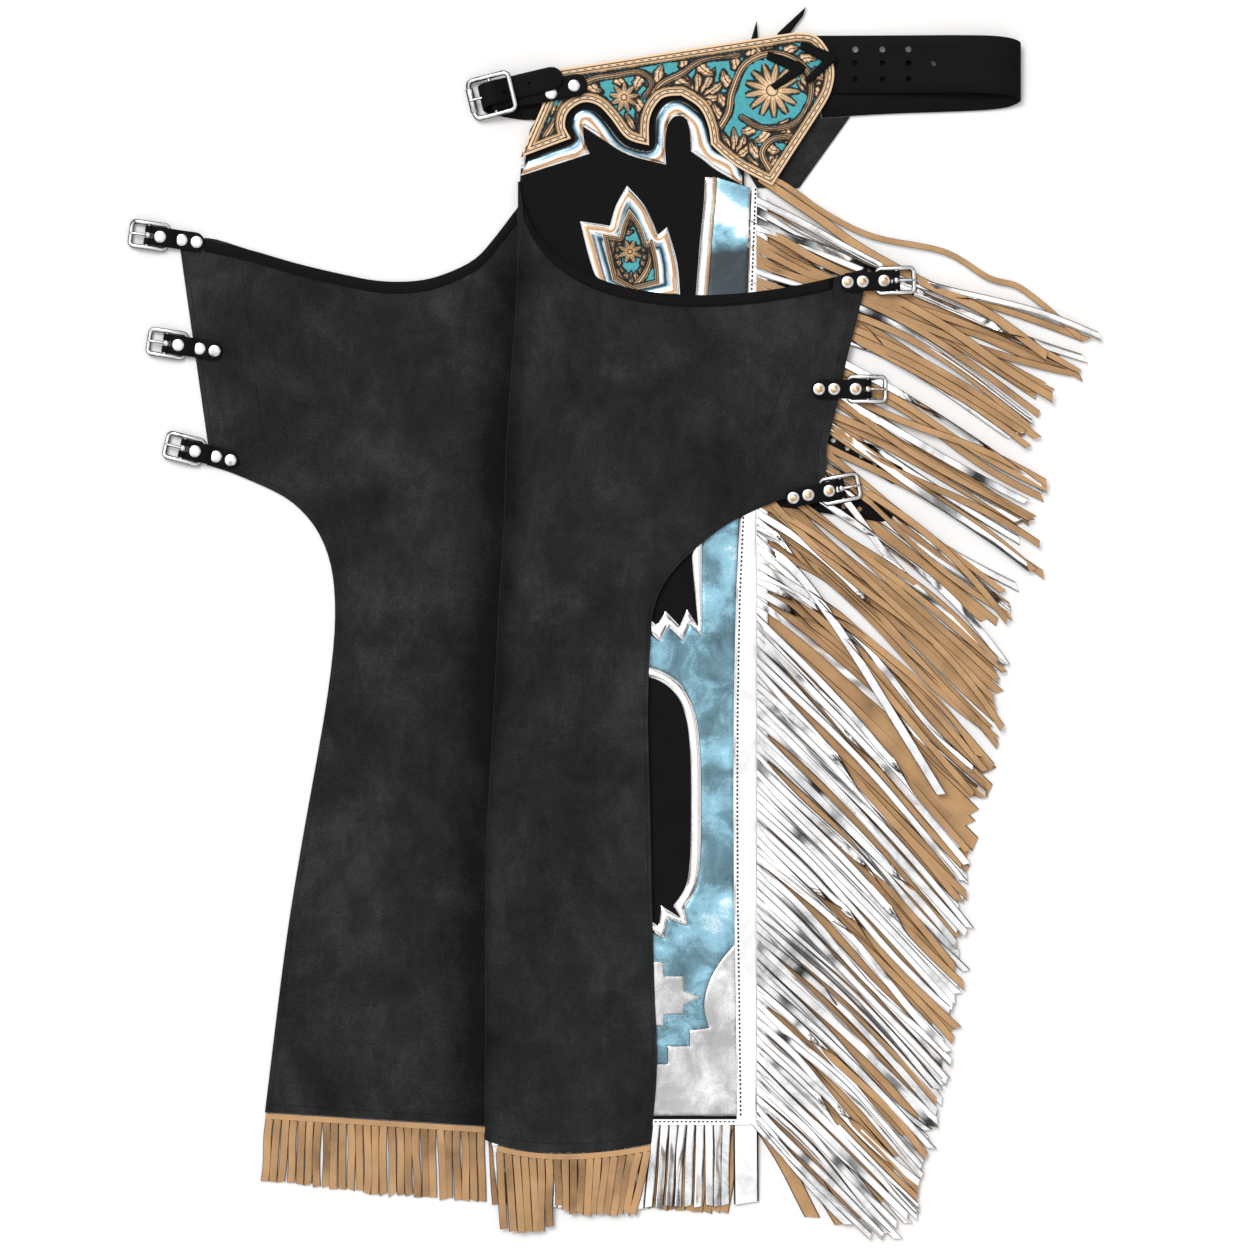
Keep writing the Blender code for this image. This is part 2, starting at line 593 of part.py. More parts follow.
def make_side_fringes():
    near = side_strands(NEAR_UPPER, NEAR_UPPER_STRANDS, NEAR_UPPER_HEIGHTS)
    near += side_strands(NEAR_LOWER, NEAR_LOWER_STRANDS, NEAR_LOWER_HEIGHTS)
    comb("near_fringe", lambda y: chart(STRIP_IN_X, y, NEAR_FRINGE_MID),
         lambda y: chart(STRIP_OUT_X, y, NEAR_FRINGE_MID), near, FRINGE_LEATHER, "silver_leather")
    far = side_strands(FAR_SIDE, FAR_STRANDS, (FAR_HEIGHT,) * 3)
    comb("far_fringe", lambda y: chart(STRIP_IN_X, y, FAR_HEIGHT),
         lambda y: chart(STRIP_OUT_X, y, FAR_HEIGHT), far, FRINGE_LEATHER, "tan_leather")


def hem_strands(guides, count, root_y, heights):
    """Strands of a hem fringe, hanging from root_y(chart x); a height for each section."""
    strands = []
    steps = len(heights)
    table = list(strands_along(guides, count, "root_x", ("tip_x", "tip_y")))
    tip_xs = [row[2][0] for row in table]
    for i, (root, cell, (tip_x, tip_y)) in enumerate(table):
        after, before = min(i + 1, count - 1), max(i - 1, 0)
        tip_cell = min((tip_xs[after] - tip_xs[before]) / (after - before), cell)
        pair = (root - HEM_SHARE * cell / 2, root + HEM_SHARE * cell / 2)
        start_y = root_y(root)
        sections = []
        for step in range(1, steps + 1):
            t = step / steps
            x = root + (tip_x - root) * t
            half = HEM_SHARE * (cell + (tip_cell - cell) * t) / 2
            y = start_y + (tip_y - start_y) * t
            sections.append((chart(x - half, y, heights[step - 1]), chart(x + half, y, heights[step - 1])))
        strands.append((*pair, sections))
    return strands


FAR_HEM = [(265, 1112), (486, 1126), (744, 1122)]
NEAR_PANEL_LOW_Y = 1139.0           # chart y of the near panel's hem at the fold
WIDE_STRAND = (733.5, 758.0)        # the hem's last strand is the wide corner of the panel
WIDE_STRAND_TIP = [(733, 1204), (759, 1201)]


def far_hem_y(x):
    for (x0, y0), (x1, y1) in zip(FAR_HEM, FAR_HEM[1:]):
        if x <= x1:
            return y0 + (x - x0) * (y1 - y0) / (x1 - x0)
    return FAR_HEM[-1][1]


def near_hem_y(x):
    share = (x - 494) / (PANEL_EDGE_X - 494)
    return NEAR_PANEL_LOW_Y + (PANEL_HEM_Y - NEAR_PANEL_LOW_Y) * share


def make_flat_hem(name, hem_y, guides, count, height, tip_height, material_name, extra=()):
    strands = hem_strands(guides, count, lambda x: hem_y(x) + HEM_STRIP, (tip_height,))
    comb(name, lambda x: chart(x, hem_y(x) + HEM_SEAM, height),
         lambda x: chart(x, hem_y(x) + HEM_STRIP, height), strands + list(extra), FRINGE_LEATHER,
         material_name)


def make_hem_fringes():
    make_flat_hem("hem_fringe_far_flap", far_hem_y, FAR_FLAP_HEM, 27, FAR_HEIGHT, FAR_HEIGHT,
                  "tan_leather")
    make_flat_hem("hem_fringe_far_panel", far_hem_y, FAR_PANEL_HEM, 20, FAR_HEIGHT, FAR_HEIGHT,
                  "tan_leather")
    corner = [tuple(chart(x, y, PANEL_HEM_TIP_HEIGHT) for x, y in WIDE_STRAND_TIP)]
    make_flat_hem("hem_fringe_near_panel", near_hem_y, NEAR_PANEL_HEM, 24, NEAR_PANEL_MID,
                  PANEL_HEM_TIP_HEIGHT, "silver_leather", [(*WIDE_STRAND, corner)])

    hem_row = FLAP_ROWS[-1]
    hem_curve = flap_section(hem_row)

    def flap_edge(drop):
        return lambda x: flap_point(hem_row, x) + Vector((0, -drop * CHART_UNIT, 0))

    strands = hem_strands(NEAR_FLAP_HEM, 19, lambda x: at_x(hem_curve, x)[1] + HEM_STRIP,
                          FLAP_HEM_HEIGHTS)
    comb("hem_fringe_near_flap", flap_edge(FLAP_HEM_SEAM), flap_edge(HEM_STRIP), strands,
         FRINGE_LEATHER, "tan_leather", flat=False)


# ---- wide belt, waist buckle and thongs ----------------------------------------------------
Station = namedtuple("Station", "along height half shift")
BELT_HALF = 57.5 * CHART_UNIT / MM / 2
BELT_LEATHER = 2.2
BELT_START = (821.5, 84.5)
BeltPlace = namedtuple("BeltPlace", "along height shift")
BELT_RUN = [                        # from the lower run, round the soft fold, to the upper run
    BeltPlace(0, 1.25, -4.1), BeltPlace(56, 1.25, -0.7), BeltPlace(110, 1.3, 1.2),
    BeltPlace(140, 1.4, 2.6), BeltPlace(158, 2.0, 4.6), BeltPlace(167, 4.0, 7.6),
    BeltPlace(170, 7.2, 10.2), BeltPlace(167, 10.4, 12.8), BeltPlace(158, 12.0, 15.0),
    BeltPlace(142, 12.2, 16.4), BeltPlace(110, 10.0, 16.9), BeltPlace(70, 7.0, 16.9),
    BeltPlace(30, 5.0, 16.9), BeltPlace(6, 3.9, 16.9), BeltPlace(-18, 3.9, 16.9)]


def make_wide_belt():
    """The back belt: out from under the near yoke, round a soft fold and back below."""
    stations = [Station(spot.along, spot.height, BELT_HALF, spot.shift) for spot in BELT_RUN]
    item = add_object("wide_belt", strap_mesh(stations, BELT_LEATHER), "black_leather")
    place(item, chart(*BELT_START), 0)


WAIST_CENTRE = (492.8, 96.0)
WAIST_TURN = 13.5
WAIST_WIRE = 1.8
WAIST_HALF = 16.4                   # half width of the frame, between wire centres
TIP_BAR, KEEPER_BAR = -18.5, 17.0   # along the strap from the middle bar
TIP_BAR_HEIGHT, KEEPER_HEIGHT = 3.6, 12.2
ROLLER_RADIUS = 3.2
ROLLER_HALF = 10.5
WAIST_BAR_RADIUS = 1.5
WAIST_PRONG_RADIUS = 1.2
WAIST_PRONG_HALF = 1.8              # half width of its eye on the bar
WAIST_STRAP_HALF = 9.9
WAIST_TAB_LEATHER = 2.4
WAIST_BILLET_LEATHER = 2.0
WAIST_CORNER = 4.5
WAIST_LOOP_RADIUS = WAIST_BAR_RADIUS + 0.3 + 1.2
BAR_PLAY = 0.25                     # between a bar and what turns on it
TAB_PLAY = 0.35
LOOP_INSET = 0.05                   # a strap's loop is so much narrower on each side
PRONG_SLOT_HALF = 2.3
RIVET_RADIUS = 5.2                  # cap rivets of all the straps
RIVET_SINK = 0.6                    # how far a cap goes into the strap
RIVET_RISE = 1.0                    # and how far it stands out

TAB_RUN = [                         # from the middle bar to the rounded end on the yoke
    Station(0, 8.1, 9.9, -3.6), Station(8, 7.0, 9.9, -4.0), Station(17, 6.3, 9.9, -4.3),
    Station(29, 8.2, 9.9, -5.6), Station(37, 9.9, 9.9, -6.3), Station(71, 9.9, 9.9, -8.6),
    Station(77, 9.9, 8.4, -9.0), Station(80, 9.9, 5.6, -9.2), Station(81.5, 9.9, 2.4, -9.3)]
BILLET_RUN = [                      # from below the tab, up through the frame and over the tab
    Station(30, 1.2, 9.9, -18.5), Station(20, 1.2, 9.9, -16.0), Station(6, 1.25, 9.9, -10.5),
    Station(-4, 1.9, 9.9, -5.5), Station(-8.6, 4.2, 9.9, -3.0), Station(-10.0, 7.6, 9.9, -0.5),
    Station(-8.2, 10.8, 9.9, 1.2), Station(-3.5, 12.7, 9.9, 2.0), Station(2.5, 12.7, 9.9, 2.2),
    Station(10, 10.3, 9.9, 2.3), Station(17, 8.9, 9.9, 2.3), Station(29, 11.4, 9.9, 2.2),
    Station(40, 13.5, 9.9, 2.0), Station(53, 13.5, 9.9, 1.9), Station(58, 13.5, 8.4, 1.8),
    Station(61, 13.5, 5.6, 1.8), Station(62.5, 13.5, 2.4, 1.8)]
WaistRivet = namedtuple("WaistRivet", "along across")
WAIST_RIVETS = [WaistRivet(69.8, -8.4), WaistRivet(49.1, -10.2)]


def ring_sweep(centres, radius, sides):
    """A closed wire through the given points."""
    points, faces = [], []
    count = len(centres)
    for i, centre in enumerate(centres):
        tangent = (centres[(i + 1) % count] - centres[i - 1]).normalized()
        across = Vector((0, 0, 1)).cross(tangent).normalized()
        up = tangent.cross(across)
        for k in range(sides):
            angle = 2 * math.pi * (k + 0.5) / sides
            points.append(centre + (across * math.cos(angle) + up * math.sin(angle)) * radius)
    for i in range(count):
        for k in range(sides):
            a, b = i * sides + k, i * sides + (k + 1) % sides
            c, d = (i + 1) % count * sides + (k + 1) % sides, (i + 1) % count * sides + k
            faces.append((a, b, c, d))
    return mesh_from([p * MM for p in points], faces)


def frame_line(front, rear, half, corner, height_at, corner_steps=2):
    """Centre line of a rounded buckle frame; height_at gives the height at a place along it."""
    centres = []
    corners = [(front - corner, half - corner, 0), (rear + corner, half - corner, 90),
               (rear + corner, -half + corner, 180), (front - corner, -half + corner, 270)]
    for u, v, start in corners:
        for step in range(corner_steps + 1):
            angle = math.radians(start + 90 * step / corner_steps)
            along = u + corner * math.cos(angle)
            centres.append(Vector((along, v + corner * math.sin(angle), height_at(along))))
        if start in (0, 180):
            centres.append(Vector((0, centres[-1].y, height_at(0))))
    return centres


def across_rod(radius, half_length, along=0.0, height=0.0, sides=10):
    """A round rod across a strap."""
    middle = Vector((along, 0, height))
    reach = Vector((0, half_length, 0))
    return rod(radius * MM, (middle - reach) * MM, (middle + reach) * MM, sides)


def solid_rod(name, guide, material_name):
    """Keeps a guide rod's mesh as a piece of its own."""
    item = add_object(name, guide.data, material_name)
    bpy.data.objects.remove(guide)
    return item


def rivet_cap(along, across, leather_top, sides):
    foot = Vector((along, across, leather_top - RIVET_SINK))
    return rod(RIVET_RADIUS * MM, foot * MM, (foot + Vector((0, 0, RIVET_SINK + RIVET_RISE))) * MM, sides)


def waist_frame_height(along):
    share = (along - TIP_BAR) / (KEEPER_BAR - TIP_BAR)
    return TIP_BAR_HEIGHT + (KEEPER_HEIGHT - TIP_BAR_HEIGHT) * share


def make_waist_buckle():
    """Roller buckle, fastened. Local x runs along the strap, away from the buckle's tip bar."""
    bar_height = waist_frame_height(0)
    line = frame_line(KEEPER_BAR, TIP_BAR, WAIST_HALF, WAIST_CORNER, waist_frame_height)
    frame = add_object("waist_frame", ring_sweep(line, WAIST_WIRE, 8), "buckle_metal")
    boolean(frame, across_rod(WAIST_BAR_RADIUS, WAIST_HALF, 0, bar_height), "UNION")

    roller = solid_rod("waist_roller", across_rod(ROLLER_RADIUS, ROLLER_HALF, TIP_BAR,
                                                  TIP_BAR_HEIGHT, 14), "buckle_metal")
    bore = across_rod(WAIST_WIRE + BAR_PLAY, ROLLER_HALF + 1, TIP_BAR, TIP_BAR_HEIGHT, 12)
    boolean(roller, bore, "DIFFERENCE")

    tab = add_object("waist_tab", strap_mesh(TAB_RUN, WAIST_TAB_LEATHER), "black_leather")
    loop = across_rod(WAIST_LOOP_RADIUS, WAIST_STRAP_HALF - LOOP_INSET, 0, bar_height, 12)
    loop.data.transform(Matrix.Translation((0, TAB_RUN[0].shift * MM, 0)))
    boolean(tab, loop, "UNION")
    boolean(tab, across_rod(WAIST_BAR_RADIUS + TAB_PLAY, WAIST_HALF, 0, bar_height), "DIFFERENCE")
    slot_low = Vector((-5, -PRONG_SLOT_HALF, bar_height - 5))
    slot_high = Vector((4.5, PRONG_SLOT_HALF, bar_height + 5))
    boolean(tab, block(slot_low * MM, slot_high * MM), "DIFFERENCE")
    tab_top = TAB_RUN[-1].height + WAIST_TAB_LEATHER / 2
    for rivet in WAIST_RIVETS:
        boolean(tab, rivet_cap(rivet.along, rivet.across, tab_top, 12), "UNION")

    billet = add_object("waist_billet", strap_mesh(BILLET_RUN, WAIST_BILLET_LEATHER), "black_leather")
    hole_low, hole_high = Vector((-14, -2.0, 6.6)), Vector((-6.6, 2.0, 10.8))
    boolean(billet, block(hole_low * MM, hole_high * MM), "DIFFERENCE")

    start, tip = Vector((-2.3, 0, bar_height + 0.5)), Vector((TIP_BAR - ROLLER_RADIUS, 0, 8.5))
    shank = rod(WAIST_PRONG_RADIUS * MM, start * MM, tip * MM, 8)
    prong = solid_rod("waist_prong", shank, "buckle_metal")
    boolean(prong, across_rod(WAIST_BAR_RADIUS + 1.4, WAIST_PRONG_HALF, 0, bar_height, 12), "UNION")
    boolean(prong, across_rod(WAIST_BAR_RADIUS + BAR_PLAY, 3, 0, bar_height), "DIFFERENCE")
    for item in (frame, roller, tab, billet, prong):
        place(item, chart(*WAIST_CENTRE), WAIST_TURN)


THONG_LEATHER = 1.4
THONG_STEP = 1.8                    # from one bend to the bend that lies on it
THONG_TAIL_LOW = 2.3


def make_thongs():
    """Leather thongs tied through the yoke: two knotted bends on it and two tails behind it."""
    low, high = YOKE_TOP + SEAM_GAP, YOKE_TOP + SEAM_GAP + THONG_LEATHER
    upper = [(768, 52), (800, 63), (806, 68), (802, 74), (775, 91), (770, 86), (790, 71), (766, 60)]
    lower = [(801, 42), (832, 54), (837, 59), (832, 65), (809, 85), (804, 80), (822, 62), (799, 50)]
    plate("thong_upper", upper, low, high, "black_leather")
    plate("thong_lower", lower, low + THONG_STEP, high + THONG_STEP, "black_leather")
    tails = [(748, 60), (751, 40), (756.5, 21), (758, 40), (758, 56), (770, 54), (778, 33),
             (806, 7), (803, 16), (790, 33), (780, 60)]
    plate("thong_tails", tails, THONG_TAIL_LOW, THONG_TAIL_LOW + THONG_LEATHER, "black_leather")


# ---- leg straps ----------------------------------------------------------------------------
TAB_LEATHER = 2.8
LegBuckle = namedtuple("LegBuckle", "name bar_x bar_y turn bar_height flap_height")
BUCKLES = [                         # turn is the angle of the strap's free direction from +X
    LegBuckle("left_top", 148.5, 235.5, 172.0, 5.7, 3.5),
    LegBuckle("left_middle", 166.5, 343.5, 171.0, 5.7, 3.5),
    LegBuckle("left_low", 183.5, 448.5, 166.0, 5.7, 3.5),
    LegBuckle("right_top", 896.0, 281.0, 2.0, 10.2, 10.2),
    LegBuckle("right_middle", 867.5, 389.5, 0.0, 10.2, 10.2),
    LegBuckle("right_low", 841.0, 488.8, 11.0, 10.2, 10.2)]
TAB_HALF = 8.2
TAB_TAIL = 48.5
TAB_BEND_START, TAB_BEND_END = -20.5, -27.5     # where a left tab comes down onto its flap
RIVET_PLACES = (-10.5, -29.0, -42.0)
WIRE = 1.5
BAR_RADIUS = 1.5
FRAME_FRONT, FRAME_REAR, FRAME_HALF = 15.0, -16.5, 10.5
FRAME_CORNER = 3.6
FRAME_DROP = 3.2                    # the frame is arched, highest at its bar
LOOP_RADIUS = BAR_RADIUS + 0.3 + 1.3
PRONG_HALF = 1.7
PRONG_RADIUS = 1.1
PRONG_EYE = 1.3                     # wall of its eye on the bar


def arch(along):
    reach = FRAME_FRONT if along > 0 else FRAME_REAR        # the drop is the same at both ends
    return -FRAME_DROP * (along / reach) ** 2


def make_leg_buckle(buckle):
    """Local origin on the buckle's bar, x along the strap towards the buckle's tip."""
    origin = chart(buckle.bar_x, buckle.bar_y, buckle.bar_height)
    settle = buckle.flap_height - buckle.bar_height
    line = frame_line(FRAME_FRONT, FRAME_REAR, FRAME_HALF, FRAME_CORNER, arch)
    frame = add_object("frame_" + buckle.name, ring_sweep(line, WIRE, 6), "buckle_metal")
    boolean(frame, across_rod(BAR_RADIUS, FRAME_HALF), "UNION")

    stations = [Station(0, 0, TAB_HALF, 0), Station(TAB_BEND_START, 0, TAB_HALF, 0),
                Station(TAB_BEND_END, settle, TAB_HALF, 0), Station(6 - TAB_TAIL, settle, TAB_HALF, 0),
                Station(2 - TAB_TAIL, settle, TAB_HALF - 2.6, 0),
                Station(-TAB_TAIL, settle, TAB_HALF - 5.4, 0)]
    if settle == 0:
        stations = stations[:1] + stations[3:]
    tab = add_object("tab_" + buckle.name, strap_mesh(stations[::-1], TAB_LEATHER), "black_leather")
    boolean(tab, across_rod(LOOP_RADIUS, TAB_HALF - LOOP_INSET), "UNION")
    boolean(tab, across_rod(BAR_RADIUS + TAB_PLAY, TAB_HALF + 2), "DIFFERENCE")
    slot = PRONG_HALF + 0.6
    boolean(tab, block(Vector((-4.4, -slot, -4)) * MM, Vector((5, slot, 4)) * MM), "DIFFERENCE")
    for along in RIVET_PLACES:
        leather_top = (settle if along < TAB_BEND_END else 0.0) + TAB_LEATHER / 2
        boolean(tab, rivet_cap(along, 0, leather_top, 10), "UNION")

    tip = Vector((FRAME_FRONT + 0.8, 0, -FRAME_DROP + WIRE + SEAM_GAP + PRONG_RADIUS))
    shank = rod(PRONG_RADIUS * MM, Vector((2.2, 0, 0.6)) * MM, tip * MM, 6)
    prong = solid_rod("prong_" + buckle.name, shank, "buckle_metal")
    boolean(prong, across_rod(BAR_RADIUS + PRONG_EYE, PRONG_HALF), "UNION")
    boolean(prong, across_rod(BAR_RADIUS + BAR_PLAY, PRONG_HALF + 1), "DIFFERENCE")
    for item in (frame, tab, prong):
        place(item, origin, buckle.turn)


Billet = namedtuple("Billet", "name root_y tip_x tip_y")
BILLETS = [Billet("top", 286, 916, 322), Billet("middle", 392, 905, 480), Billet("low", 492, 893, 514)]
BILLET_HALF = 9.5                   # chart units
BILLET_POINT = 9.0                  # length of its pointed end


def make_billets():
    """Straps of the front panels, lying under the near fringe."""
    for billet in BILLETS:
        start, tip = Vector((746, billet.root_y)), Vector((billet.tip_x, billet.tip_y))
        along = (tip - start).normalized()
        side = Vector((-along.y, along.x)) * BILLET_HALF
        shoulder = tip - along * BILLET_POINT
        outline = [start - side, shoulder - side, tip - side * 0.4, tip + side * 0.4,
                   shoulder + side, start + side]
        outline[0].x = outline[-1].x = start.x
        plate("billet_" + billet.name, [tuple(p) for p in outline], BILLET_LOW,
              BILLET_LOW + BILLET_LEATHER, "black_leather")


def main():
    for item in list(bpy.data.objects):
        bpy.data.objects.remove(item)
    for name in FINISHES:
        make_material(name)
    make_far_leg()
    make_near_leg()
    make_facings()
    make_yokes()
    make_medallion()
    make_appliques()
    make_side_fringes()
    make_hem_fringes()
    make_wide_belt()
    make_waist_buckle()
    make_thongs()
    for buckle in BUCKLES:
        make_leg_buckle(buckle)
    make_billets()


main()
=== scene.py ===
"""Dresses the chaps laid flat: leathers, tooling, fringe, straps, buckles, stitching and studio.

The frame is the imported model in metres: +X runs to the fringed side, +Y to the waist, +Z up from
the floor. Plan shapes are written on the cutting chart, as in the model's own source: one chart
unit is 0.86 mm, x runs to the right and y down from the chart's top left corner. Heights are in
millimetres above the floor.
"""
import math
from collections import namedtuple
from functools import partial

import bmesh
import bpy
import numpy as np
from bpy.props import FloatProperty, FloatVectorProperty, IntProperty, PointerProperty
from mathutils import Matrix, Vector
from mathutils.geometry import delaunay_2d_cdt


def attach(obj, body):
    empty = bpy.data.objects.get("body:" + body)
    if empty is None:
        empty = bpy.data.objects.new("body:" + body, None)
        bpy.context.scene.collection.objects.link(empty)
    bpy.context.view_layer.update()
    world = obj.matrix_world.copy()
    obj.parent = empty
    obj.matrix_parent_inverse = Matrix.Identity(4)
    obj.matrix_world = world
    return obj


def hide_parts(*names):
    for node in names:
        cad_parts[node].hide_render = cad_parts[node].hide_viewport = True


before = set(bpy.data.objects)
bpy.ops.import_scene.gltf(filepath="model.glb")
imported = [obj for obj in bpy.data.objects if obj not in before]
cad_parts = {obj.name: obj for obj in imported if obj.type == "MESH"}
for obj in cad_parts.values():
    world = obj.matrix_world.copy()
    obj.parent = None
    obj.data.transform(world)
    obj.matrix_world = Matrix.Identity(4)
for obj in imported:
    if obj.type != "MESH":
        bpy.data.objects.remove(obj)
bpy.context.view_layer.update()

bl_info = {
    "name": "Rodeo Chaps",
    "version": (1, 0, 0),
    "blender": (4, 5, 0),
    "location": "3D View > Sidebar > Chaps",
    "description": "Dresses a pair of fringed leather chaps that lie flat",
    "category": "Object",
}

MM = 0.001
CHART_UNIT = 0.86 * MM
CHART_CENTRE_X = 616.4
CHART_CENTRE_Y = 621.5
CHART_SIZE = 1254  # chart units from side to side, and what the camera sees
ROOT = "root"


def chart(x, y, height=0.0):
    """Chart units and a height in mm to a point in metres."""
    return Vector(((x - CHART_CENTRE_X) * CHART_UNIT, (CHART_CENTRE_Y - y) * CHART_UNIT, height * MM))


def chart_points(x, y, height):
    """The same for arrays, as rows of points."""
    x, y, height = np.broadcast_arrays(x, y, height)
    return np.stack([(x - CHART_CENTRE_X) * CHART_UNIT, (CHART_CENTRE_Y - y) * CHART_UNIT,
                     height * MM], axis=-1)


def from_hex(text):
    """An sRGB hex colour as linear RGBA."""
    channels = [int(text[i:i + 2], 16) / 255 for i in (0, 2, 4)]
    linear = [c / 12.92 if c <= 0.04045 else ((c + 0.055) / 1.055) ** 2.4 for c in channels]
    return (*linear, 1.0)


# ---- what a user may change
def colour_property(name, description, hex_text):
    return FloatVectorProperty(name=name, description=description, subtype="COLOR", size=4,
                               min=0.0, max=1.0, default=from_hex(hex_text))


class ChapsColours(bpy.types.PropertyGroup):
    suede: colour_property("Suede", "Flesh side of the black leg leather", "262728")
    grain: colour_property("Smooth leather", "Grain side of the black leather", "0F0F10")
    tan: colour_property("Tan leather", "Flesh side of the fringe leather", "A5835F")
    tooled: colour_property("Tooled leather", "Vegetable tanned leather of the yoke", "B18A5C")
    turquoise: colour_property("Turquoise", "Painted ground of the tooling", "46A3AC")
    silver: colour_property("Silver foil", "Foiled leather of the trims and fringe", "F1F1F2")
    blue: colour_property("Blue foil", "Foiled leather of the long band", "84B0C2")
    nickel: colour_property("Nickel", "Plated buckles and rivets", "E3E3E4")
    floor: colour_property("Floor", "Paper under the chaps", "F4F4F4")


class ChapsSizes(bpy.types.PropertyGroup):
    crease_share: FloatProperty(
        name="Crease depth", description="Share of the placed creases' height that shows",
        default=1.0, min=0.0, max=1.5)
    strand_share: FloatProperty(
        name="Strand share", description="Share of the side fringe's pitch that is leather",
        default=0.94, min=0.5, max=1.0)
    upper_strands: IntProperty(
        name="Upper strands", description="Strands of the near fringe beside the leg straps",
        default=46, min=10, max=80)
    lower_strands: IntProperty(
        name="Lower strands", description="Strands of the near fringe below the leg straps",
        default=60, min=10, max=90)
    far_strands: IntProperty(
        name="Far strands", description="Strands of the far leg's side fringe below its bundles",
        default=36, min=10, max=100)
    seam_pitch: FloatProperty(
        name="Seam pitch", description="From one stitch of the fringe seam to the next",
        default=3.7 * MM, min=1.5 * MM, max=8 * MM, unit="LENGTH")
    edge_pitch: FloatProperty(
        name="Edge pitch", description="From one stitch of the suede's edge seams to the next",
        default=3.2 * MM, min=1.5 * MM, max=8 * MM, unit="LENGTH")
    tooling_pitch: FloatProperty(
        name="Yoke pitch", description="From one stitch of the yoke's border to the next",
        default=7.0 * MM, min=2 * MM, max=12 * MM, unit="LENGTH")


# ---- materials
MAIN_OUTPUT = {"ShaderNodeTexCoord": "Object", "ShaderNodeAttribute": "Fac"}


def feed(socket, value):
    """Sets a socket, or links it to another socket or to what a node mainly gives."""
    if isinstance(value, bpy.types.Node):
        name = MAIN_OUTPUT.get(value.bl_idname)
        value = value.outputs[name] if name else next(out for out in value.outputs if out.enabled)
    if isinstance(value, bpy.types.NodeSocket):
        socket.id_data.links.new(value, socket)
    else:
        socket.default_value = value


def add_node(tree, kind, *values, stops=(), **named):
    """Adds a node. Values go to its sockets in order, and names with a capital to the sockets of that
    name, with _ for a space. The other names are its settings, and stops are its ramp's colours."""
    node = tree.nodes.new(kind if "Node" in kind else "ShaderNode" + kind)
    for name, value in named.items():
        if name[0].islower():
            setattr(node, name, value)
    for number, (place, colour) in enumerate(stops):
        if number == len(node.color_ramp.elements):
            node.color_ramp.elements.new(1.0)
        node.color_ramp.elements[number].position = place
        node.color_ramp.elements[number].color = colour
    for socket, value in zip([socket for socket in node.inputs if socket.enabled], values):
        feed(socket, value)
    for name, value in named.items():
        if name[0].isupper():
            feed(node.inputs[name.replace("_", " ")], value)
    return node


def per_metre(millimetres):
    """Noise scale on metre coordinates for features of so many millimetres."""
    return 1000.0 / millimetres


def grey(value):
    return (value, value, value, 1.0)


def shades(colour, *stops):
    """Ramp stops: each place has a hex colour of its own, or a factor on the given colour."""
    return [(place, from_hex(tone) if isinstance(tone, str)
             else (*(min(1.0, channel * tone) for channel in colour[:3]), 1.0)) for place, tone in stops]


def set_shader(material, **values):
    """Gives values and nodes to the sockets of a material's shader, with _ for a space."""
    for name, value in values.items():
        feed(material.node_tree.nodes["Principled BSDF"].inputs[name.replace("_", " ")], value)
    return material


def start_material(name, **values):
    """A new material, the way to add a node to it, and its pattern's place on the object."""
    material = bpy.data.materials.new(name)
    material.use_nodes = True
    node = partial(add_node, material.node_tree)
    return set_shader(material, **values), node, node("TexCoord")


def suede_split(colours):
    """Black-dyed split leather, flesh side out: a short nap that takes no shine, with cloudy lighter
    patches, faint brush marks where the nap lies the other way, and painted shade beside the soft fold."""
    material, node, place = start_material("black_suede_split", Roughness=0.96, Sheen_Weight=0.06,
                                           Sheen_Roughness=0.45, Specular_IOR_Level=0.08)
    clouds = node("TexNoise", Vector=place, Scale=per_metre(85), Detail=6, Roughness=0.66, Distortion=0.4)
    along = node("Mapping", Vector=place, Rotation=(0, 0, 0.9), Scale=(1.0, 0.45, 1.0))
    brushed = node("TexNoise", Vector=along, Scale=per_metre(16), Detail=5, Roughness=0.62, Distortion=0.8)
    nap = node("TexNoise", Vector=place, Scale=per_metre(1.4), Detail=4, Roughness=0.7)
    marks = node("Math", brushed, 0.36, clouds, operation="MULTIPLY_ADD")
    tone = node("Math", nap, 0.7, marks, operation="MULTIPLY_ADD")
    spread = node("MapRange", tone, From_Min=0.72, From_Max=1.36)
    # painted shade beside the soft fold, kept on the points, darkens the suede
    fold_shade = node("Attribute", attribute_name="pressed")
    darker = node("Math", fold_shade, -0.5, spread, operation="MULTIPLY_ADD")
    colour = node("ValToRGB", darker, stops=shades(colours.suede, (0, 0.3), (0.5, 0.94), (1, 2.3)))
    bump = node("Bump", Height=nap, Strength=0.5, Distance=0.35 * MM)
    return set_shader(material, Base_Color=colour, Normal=bump)


def grain_leather(colours):
    """Black leather, grain side out: fine pebbled grain with a low even sheen."""
    material, node, place = start_material("black_grain_leather", Specular_IOR_Level=0.05)
    pebbles = node("TexVoronoi", Vector=place, Scale=per_metre(1.1))
    wear = node("TexNoise", Vector=place, Scale=per_metre(22), Detail=5, Roughness=0.6)
    colour = node("ValToRGB", wear, stops=shades(colours.grain, (0.3, 0.8), (0.75, 1.3)))
    gloss = node("MapRange", wear, From_Min=0.3, From_Max=0.7, To_Min=0.42, To_Max=0.6)
    bump = node("Bump", Height=pebbles, Strength=0.35, Distance=0.12 * MM)
    return set_shader(material, Base_Color=colour, Roughness=gloss, Normal=bump)


